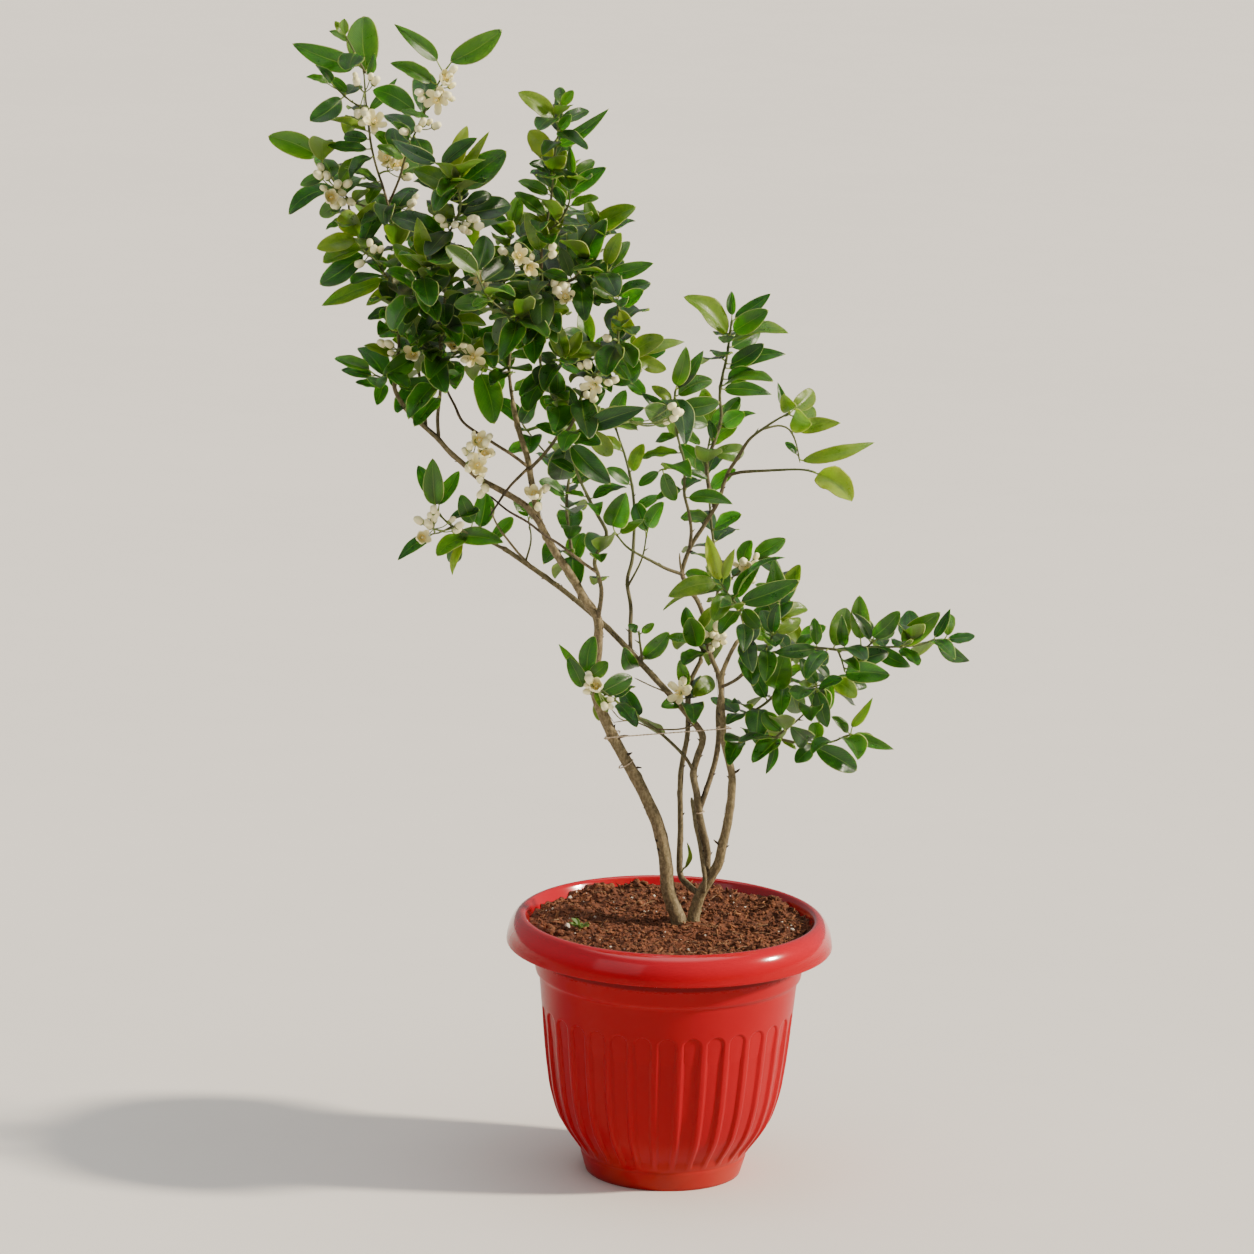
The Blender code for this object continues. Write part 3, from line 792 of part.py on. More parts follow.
def make_object(name, solid, material, smooth_angle=40.0):
    """Puts a solid in the scene as a named object."""
    vertices, faces = solid
    mesh = bpy.data.meshes.new(name)
    mesh.from_pydata([tuple(vertex) for vertex in vertices], [], faces)
    mesh.shade_smooth()
    mesh.set_sharp_from_angle(angle=math.radians(smooth_angle))
    if material is not None:
        mesh.materials.append(material)
    thing = bpy.data.objects.new(name, mesh)
    bpy.context.scene.collection.objects.link(thing)
    return thing


def make_cutter(name, solid):
    """Puts a cutting body in the scene, hidden from the render."""
    cutter = make_object(name, solid, None)
    cutter.hide_render = True
    cutter.display_type = "WIRE"
    return cutter


def combine(thing, operand, operation="DIFFERENCE", use_self=True):
    """Cuts operand out of thing, or unites the two, after uniting thing's own overlapping solids."""
    step = thing.modifiers.new(operand.name, "BOOLEAN")
    step.operation = operation
    step.solver = "EXACT"
    step.use_self = use_self
    step.object = operand


# --- pot and soil --------------------------------------------------------------------------------------
def turned(profile, segments):
    """Rings of a profile of (radius, height) turned round Z, as a closed solid when it ends on the axis."""
    vertices = []
    faces = []
    for radius, height in profile:
        for step in range(segments):
            angle = 2.0 * math.pi * step / segments
            vertices.append(Vector((radius * math.cos(angle), radius * math.sin(angle), height)))
    for ring in range(len(profile) - 1):
        first = ring * segments
        for step in range(segments):
            following = (step + 1) % segments
            faces.append(
                (first + step, first + following, first + segments + following, first + segments + step)
            )
    faces.append(tuple(reversed(range(segments))))
    faces.append(tuple(range((len(profile) - 1) * segments, len(profile) * segments)))
    return vertices, faces


def radius_at(profile, height):
    """Radius of a profile at a height, on the straight lines between its points."""
    for (low_radius, low), (high_radius, high) in zip(profile, profile[1:]):
        if low <= height <= high:
            return low_radius + (high_radius - low_radius) * (height - low) / (high - low)
    return profile[-1][0]


def flute_cutters():
    """The recesses of the fluted wall: tall arches that follow the wall at an even depth."""
    pitch = 2.0 * math.pi / FLUTE_COUNT
    wall = WALL_OUTSIDE[4:]
    half_share = 0.5 * FLUTE_SHARE
    arch_rise = half_share * pitch * radius_at(wall, FLUTE_TOP)
    rungs = [(half_share, height) for height in FLUTE_RUNGS + [FLUTE_TOP - arch_rise]]
    for degrees in ARCH_DEGREES:
        lean = math.radians(degrees)
        rungs.append((half_share * math.cos(lean), FLUTE_TOP - arch_rise * (1.0 - math.sin(lean))))
    parts = []
    for index in range(FLUTE_COUNT):
        vertices = []
        for share, height in rungs:
            radius = radius_at(wall, height)
            for side, reach in ((1, -FLUTE_DEPTH), (-1, -FLUTE_DEPTH), (-1, FLUTE_DEPTH), (1, FLUTE_DEPTH)):
                angle = pitch * (index + side * share)
                distance = radius + reach
                vertices.append(Vector((distance * math.cos(angle), distance * math.sin(angle), height)))
        faces = [(3, 2, 1, 0)]
        for rung in range(len(rungs) - 1):
            for corner in range(4):
                first = 4 * rung
                following = (corner + 1) % 4
                faces.append((first + corner, first + following, first + 4 + following, first + 4 + corner))
        last = 4 * (len(rungs) - 1)
        faces.append((last, last + 1, last + 2, last + 3))
        parts.append((vertices, faces))
    return joined(parts)


def drain_cutters():
    """Upright plugs that punch the drain holes through the floor."""
    parts = []
    for index in range(DRAIN_HOLES):
        angle = 2.0 * math.pi * (index + 0.5) / DRAIN_HOLES
        centre = Vector((DRAIN_CIRCLE * math.cos(angle), DRAIN_CIRCLE * math.sin(angle), 0.0))
        path = [centre + Vector((0.0, 0.0, -POT_FLOOR)), centre + Vector((0.0, 0.0, 2.0 * POT_FLOOR))]
        parts.append(round_tube(path, [DRAIN_RADIUS, DRAIN_RADIUS], DRAIN_SIDES))
    return joined(parts)


def make_pot():
    """The moulded pot: turned wall and rolled rim, fluted and drained."""
    pot = make_object(
        "pot",
        turned(WALL_OUTSIDE + RIM_ROLL + WALL_INSIDE, POT_SEGMENTS),
        make_material("red_plastic", POT_COLOR, GLOSSY),
    )
    combine(pot, make_cutter("flute_cutters", flute_cutters()), use_self=False)
    combine(pot, make_cutter("drain_cutters", drain_cutters()), use_self=False)
    return pot


def soil_top(x, y):
    """Height of the soil's uneven top, which rises towards the back and is heaped along the wall."""
    (x_rate, x_phase), (y_rate, y_phase), (fine_rate, fine_phase) = SWELL_WAVES
    broad = math.sin(x_rate * x + x_phase) * math.cos(y_rate * y + y_phase)
    fine = math.sin(fine_rate * (x + y) + fine_phase)
    heaps = 0.0
    for clod_x, clod_y, height, spread in CLODS:
        heaps += height * math.exp(-((x - clod_x) ** 2 + (y - clod_y) ** 2) / spread ** 2)
    return SOIL_LEVEL + SOIL_TILT * y + SOIL_SWELL * (broad + 0.5 * fine) + heaps


def soil_solid():
    """The potting soil: an uneven top and a side that follows the pot's inner wall."""
    shrink = math.cos(math.pi / POT_SEGMENTS)
    wall = WALL_INSIDE[::-1] + [RIM_ROLL[-1]]
    directions = []
    for step in range(SOIL_SEGMENTS):
        angle = 2.0 * math.pi * step / SOIL_SEGMENTS
        directions.append(Vector((math.cos(angle), math.sin(angle), 0.0)))
    vertices = [Vector((0.0, 0.0, soil_top(0.0, 0.0)))]
    for radius in SOIL_RINGS:
        for direction in directions:
            point = radius * direction
            vertices.append(Vector((point.x, point.y, soil_top(point.x, point.y))))
    for direction in directions:
        point = MOUTH_RADIUS * direction
        height = min(max(soil_top(point.x, point.y), SOIL_EDGE[0]), SOIL_EDGE[1])
        radius = radius_at(wall, height) * shrink - SOIL_CLEARANCE
        vertices.append(radius * direction + Vector((0.0, 0.0, height)))
    lower_rings = WALL_INSIDE[:-1] + [(WALL_INSIDE[-1][0], POT_FLOOR + GAP)]
    for radius, height in lower_rings:
        for direction in directions:
            vertices.append((radius * shrink - SOIL_CLEARANCE) * direction + Vector((0.0, 0.0, height)))
    faces = []
    ring_count = len(SOIL_RINGS) + 1 + len(lower_rings)
    for step in range(SOIL_SEGMENTS):
        following = (step + 1) % SOIL_SEGMENTS
        faces.append((0, 1 + step, 1 + following))
        for ring in range(ring_count - 1):
            first = 1 + ring * SOIL_SEGMENTS
            below = first + SOIL_SEGMENTS
            faces.append((first + step, below + step, below + following, first + following))
    last = 1 + (ring_count - 1) * SOIL_SEGMENTS
    faces.append(tuple(reversed(range(last, last + SOIL_SEGMENTS))))
    return vertices, faces


# --- thread --------------------------------------------------------------------------------------------
def wrap(centre, stem_axis, radius, start_degrees, turn_degrees, count):
    """Points of an open ring round a stem, square to the stem's axis."""
    forward = Vector((0.0, -1.0, 0.0))
    forward = (forward - stem_axis * forward.dot(stem_axis)).normalized()
    sideways = stem_axis.cross(forward)
    points = []
    for step in range(count + 1):
        angle = math.radians(start_degrees + turn_degrees * step / count)
        points.append(centre + radius * (math.cos(angle) * forward + math.sin(angle) * sideways))
    return points


def thread_path():
    """From round the left trunk, straight across the front of the stems, to round the right trunk."""
    left_axis = (seat(LEFT_TRUNK[9]) - seat(LEFT_TRUNK[8])).normalized()
    right_axis = (seat(RIGHT_TRUNK[12]) - seat(RIGHT_TRUNK[11])).normalized()
    left_ring = THREAD_LEFT_RADIUS + THREAD_SLACK + THREAD_RADIUS
    right_ring = THREAD_RIGHT_RADIUS + THREAD_SLACK + THREAD_RADIUS
    left = wrap(seat(THREAD_LEFT), left_axis, left_ring, -THREAD_TURN, THREAD_TURN, THREAD_STEPS)
    right = wrap(seat(THREAD_RIGHT), right_axis, right_ring, 0.0, THREAD_TURN, THREAD_STEPS)
    return left + right


# --- weed ----------------------------------------------------------------------------------------------
def weed_stem(extra=0.0):
    """The stem of the weed, from its root up to where its blades part."""
    level = soil_top(*WEED_SPOT)
    foot = Vector((*WEED_SPOT, level - WEED_ROOT - extra))
    head = Vector((*WEED_SPOT, level + WEED_HEAD))
    return round_tube([foot, head], [WEED_STEM + extra, WEED_STEM + extra], 6)


def weed_blades():
    """The spread of narrow blades at the head of the weed's stem."""
    parts = []
    heart = Vector((*WEED_SPOT, soil_top(*WEED_SPOT) + 0.9 * WEED_HEAD))
    for lean_x, lean_y, rise in WEED_BLADES:
        reach = Vector((lean_x, lean_y, rise)) * CM
        along = reach.normalized()
        upward = Vector((0.0, 0.0, 1.0))
        normal = (upward - along * upward.dot(along)).normalized()
        heel = heart + reach * HEEL_DEPTH
        parts.append(blade_solid(heart, heel, heart + reach, WEED_WIDTH, WEED_THICK, normal))
    return joined(parts)


# --- growth --------------------------------------------------------------------------------------------
def tree_limbs():
    """The tubes of every piece of wood and every shoot, and the piece that bears each of them."""
    wood = {
        "left_trunk": (LEFT_TRUNK, LEFT_TRUNK_THICK, None),
        "right_trunk": (RIGHT_TRUNK, RIGHT_TRUNK_THICK, None),
        "arching_stem": (ARCHING_STEM, ARCHING_STEM_THICK, "right_trunk"),
        "stub_stem": (STUB_STEM, STUB_STEM_THICK, "right_trunk"),
        "rear_stem": (REAR_STEM, REAR_STEM_THICK, "right_trunk"),
        "fork_stem": (FORK_STEM, FORK_STEM_THICK, "arching_stem"),
        "left_branch": (LEFT_BRANCH, LEFT_BRANCH_THICK, "left_trunk"),
    }
    limbs = {}
    bearer = {}
    for name, (stations, thick, parent) in wood.items():
        sides = STEM_SIDES if parent else TRUNK_SIDES
        limbs[name] = [(stations, thick, sides, BURIED_ROOT if parent else 1.0)]
        bearer[name] = parent
    for name, (parent, twigs, _) in SHOOTS.items():
        first_thick = UPPER_TWIG_THICK if parent in SHOOTS else TWIG_THICK
        limbs[name] = [(twigs[0], first_thick, SHOOT_SIDES, BURIED_ROOT)]
        limbs[name] += [(twig, SIDE_TWIG_THICK, SHOOT_SIDES, BURIED_ROOT) for twig in twigs[1:]]
        bearer[name] = parent
    return limbs, bearer


def main():
    """Builds the whole potted tree."""
    for thing in list(bpy.data.objects):
        bpy.data.objects.remove(thing)

    bark = make_material("bark", BARK_COLOR, ROUGH)
    foliage = make_material("foliage", LEAF_COLOR, WAXY)
    blossom = make_material("blossom", BLOSSOM_COLOR, SOFT)
    limbs, bearer = tree_limbs()

    flower_bearers = {parent for parent, _ in FLOWERS.values()}
    clearances = {}
    for name in sorted({parent for parent in bearer.values() if parent} | flower_bearers):
        solid = joined([limb_tube(*limb, extra=LIMB_GAP) for limb in limbs[name]])
        clearances[name] = make_cutter(name + "_clearance", solid)

    territory = Territory()
    thread = round_tube(thread_path(), [THREAD_RADIUS] * (2 * THREAD_STEPS + 2), 5)
    territory.claim("tie_thread", thread)
    for name, pieces in limbs.items():
        for limb in pieces:
            territory.claim(name, limb_tube(*limb))

    for name, (parent, flowers) in FLOWERS.items():
        parts = flower_parts(limbs[parent], flowers)
        for solid in flower_parts(limbs[parent], flowers, GAP):
            territory.claim(name, solid)
        cluster = make_object(name, joined(parts), blossom)
        combine(cluster, clearances[parent])

    for name, pieces in limbs.items():
        parts = [limb_tube(*limb) for limb in pieces]
        if name in SHOOTS:
            _, twigs, leaves = SHOOTS[name]
            for order, leaf in enumerate(leaves):
                for shift in DEPTH_TRIES:
                    if territory.is_clear(name, leaf_solid(twigs, leaf, order, shift, LEAF_CLEARANCE)):
                        blade = leaf_solid(twigs, leaf, order, shift)
                        territory.claim(name, blade)
                        parts.append(blade)
                        break
        limb = make_object(name, joined(parts), foliage if name in SHOOTS else bark)
        if bearer[name]:
            combine(limb, clearances[bearer[name]])

    make_object("tie_thread", thread, make_material("thread", THREAD_COLOR, ROUGH))
    weed = make_object("weed_sprig", weed_stem(), make_material("weed", WEED_COLOR, SOFT))
    combine(weed, make_cutter("weed_blades", weed_blades()), "UNION")
    make_pot()
    soil = make_object("soil", soil_solid(), make_material("potting_soil", SOIL_COLOR, EARTHY))
    roots = [limb_tube(*limbs[trunk][0], extra=LIMB_GAP) for trunk in ("left_trunk", "right_trunk")]
    combine(soil, make_cutter("root_clearance", joined(roots + [weed_stem(GAP)])), use_self=False)


main()
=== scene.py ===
"""Potted lemon tree: a young tree of several stems, in leaf and in bud, in a fluted plastic pot.

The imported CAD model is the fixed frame, and every piece made here stands for a node of it or is
laid on one. Lengths are in metres unless a name says otherwise, +Z is up, and the tree's broad
front looks towards -Y.
"""

import math
import random

import bpy
import numpy as np
from mathutils import Matrix, Vector, noise


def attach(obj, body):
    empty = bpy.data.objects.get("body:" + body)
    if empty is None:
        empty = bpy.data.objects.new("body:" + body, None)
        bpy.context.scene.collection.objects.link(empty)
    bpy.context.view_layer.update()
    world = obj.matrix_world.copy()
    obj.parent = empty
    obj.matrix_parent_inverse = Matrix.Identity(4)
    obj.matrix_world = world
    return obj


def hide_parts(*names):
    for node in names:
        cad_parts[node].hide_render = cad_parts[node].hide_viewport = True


bl_info = {
    "name": "Potted lemon tree",
    "version": (1, 0, 0),
    "blender": (4, 5, 0),
    "location": "3D View > Sidebar > Lemon tree",
    "description": "Builds a young lemon tree in a fluted pot, with its soil, flowers and stage",
    "category": "Object",
}

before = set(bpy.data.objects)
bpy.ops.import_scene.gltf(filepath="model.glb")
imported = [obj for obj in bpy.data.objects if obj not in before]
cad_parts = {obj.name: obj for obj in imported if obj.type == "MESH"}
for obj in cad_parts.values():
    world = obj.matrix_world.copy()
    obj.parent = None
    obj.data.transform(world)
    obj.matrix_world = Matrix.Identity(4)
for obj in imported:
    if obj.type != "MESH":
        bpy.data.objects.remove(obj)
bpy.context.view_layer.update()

CM = 0.01
MM = 0.001
CROWN_DROOP = 0.2       # fall of a station per unit of depth to the back

# --- growth ---
# In the tables a line with | is a path of stations x y z, which + goes on with, and one with > holds rows.
# All of their lengths are in mm, with z up from the floor. After a limb's name come the thickness at both
# ends of the limb and of each dry twig on it. After a shoot's name come the thickness at both ends of its
# first twig, and how thickly its inner leaves stand. Its rows are leaves: x and z of the heel, the run and
# the rise from there to the tip, the width, and ten times the facing, which is 1 where the upper side
# looks to the front, 0 where it looks up, and -1 to the back. After a cluster's name comes its bearer, and
# its rows are flowers: x, z, and 10 where it is open. A cluster with its bearer's name has no solid.
def read_growth(text):
    """Reads a growth table: for every name its words, its paths and its rows, with mm turned into cm."""
    table = {}
    for line in text.strip().splitlines():
        mark, rest = line.split(" ", 1)
        if mark not in "|+>":
            words = [float(word) if word[0].isdigit() else word for word in rest.split()]
            table[mark] = entry = (words, [], [])
            continue
        rows = [tuple(float(number) / 10.0 for number in row.split()) for row in rest.split(",")]
        if mark == "|":
            entry[1].append(rows)
        elif mark == "+":
            entry[1][-1].extend(rows)
        else:
            entry[2].extend(rows)
    return table


WOOD = read_growth("""
left_trunk 14 4.6 3.4 2.2 3.2 2.4 2.6 2 3.2 2 3 1.8 3 1.9
| 10 0 195, 9 0 234, 3 1 252, -3 1 270, -6.5 2 300, -14 2 330, -24 3 352, -36 3 375, -52 3 402, -63 2 424
+ -73 0 448, -75 -2 470, -73 -4 495, -74 -5 522, -86 -7 540, -98 -8 560, -114 -9 583, -130 -10 613
+ -134 -9 634, -138 -6 652, -141 -2 668, -147 4 686, -152 10 702, -157 18 723
| -56 2 409, -49 0 412, -43 -1 413
| -49 2 393, -43 1 395, -39 0 397
| -40 2 380, -34 1 383, -30 0 383
| -140 -4 661, -155 -7 672, -173 -10 683, -199 -11 700, -208 -10 716, -217 -8 734, -220 -4 753, -223 0 778
| -140 -6 661, -154 -20 646, -160 -23 638, -165 -25 630, -174 -26 615
| -76 -27 566, -92 -27 577, -109 -27 590, -125 -28 600, -140 -28 611, -158 -29 621, -174 -28 634
right_trunk 12 3.6 3.2 2 2.6 1.6
| 29 5 195, 22 6 234, 24 7 252, 28 6 265, 36 4 280, 43 2 294, 46 0 310, 50.5 -2 334, 53 -4 358, 53 -5 378
+ 49 -5 394, 44.5 -4 410, 43 -3 430, 41 -1 452, 41 1 472, 47 4 490, 55 9 506
| 52 -5 380, 57 -6 382, 60 -7 385
| 46 0 310, 41 -3 314, 38 -5 317
arching_stem 7.4 4.4 1.8 1 1 0.8 1.9 1.1 2.8 1.6
| 33 5 274, 32.5 11 288, 32.5 12 304, 29 11 320, 24.5 9 338, 21.5 8 359, 17.5 10 378, 21 13 394, 25 16 414
+ 11 20 433, -6 24 452, -31 28 478, -53 30 501, -73 32 520, -100 34 542, -128 38 562, -164 42 586
| 21 12 426, 4 9 420, -20 6 420, -37 4 426, -50 3 428, -59 2 437
| -44 3.5 427, -51 2 426, -57 1 425
| 9 20 436, -9 17 453, -24 15 460, -39 14 467
| -132 38 565, -142 33 574, -151 28 584, -165 20 602, -171 14 613, -174 10 624
stub_stem 4.6 3.4
| 30 -1 266, 31 -2 280, 28.5 0 295, 25 1 314, 21 0 330, 19 0 342, 16.5 1 356
rear_stem 6 4.2
| 27 7 263, 16 16 272, 8 22 284, 7.5 28 325, 6 30 369, 7.5 32 388, 11.5 36 415, 11 42 447, 13 45 464
+ 23 50 486
fork_stem 5.4 3.4 2.4 1.6
| 24 8.5 343, 30 16 362, 34 19 376, 38 22 392, 40 25 412, 39 28 435, 41 30 455, 38 30 472, 31 28 488
+ 27 26 502, 25 25 520, 17 23 540, 6 21 557, 2 20 568, 9 19 591, 21 20 612, 33 22 634, 38 23 652, 42 24 663
+ 52 20 679
| 2 19 566, 0 16 575, -1 15 585
left_branch 6.2 4
| -126 -9 606, -140 -14 624, -155 -17 634, -170 -20 642, -185 -23 650, -198 -25 662, -212 -26 674
+ -223 -26 686, -237 -25 698, -252 -22 712, -262 -19 729, -262 -15 740
""")

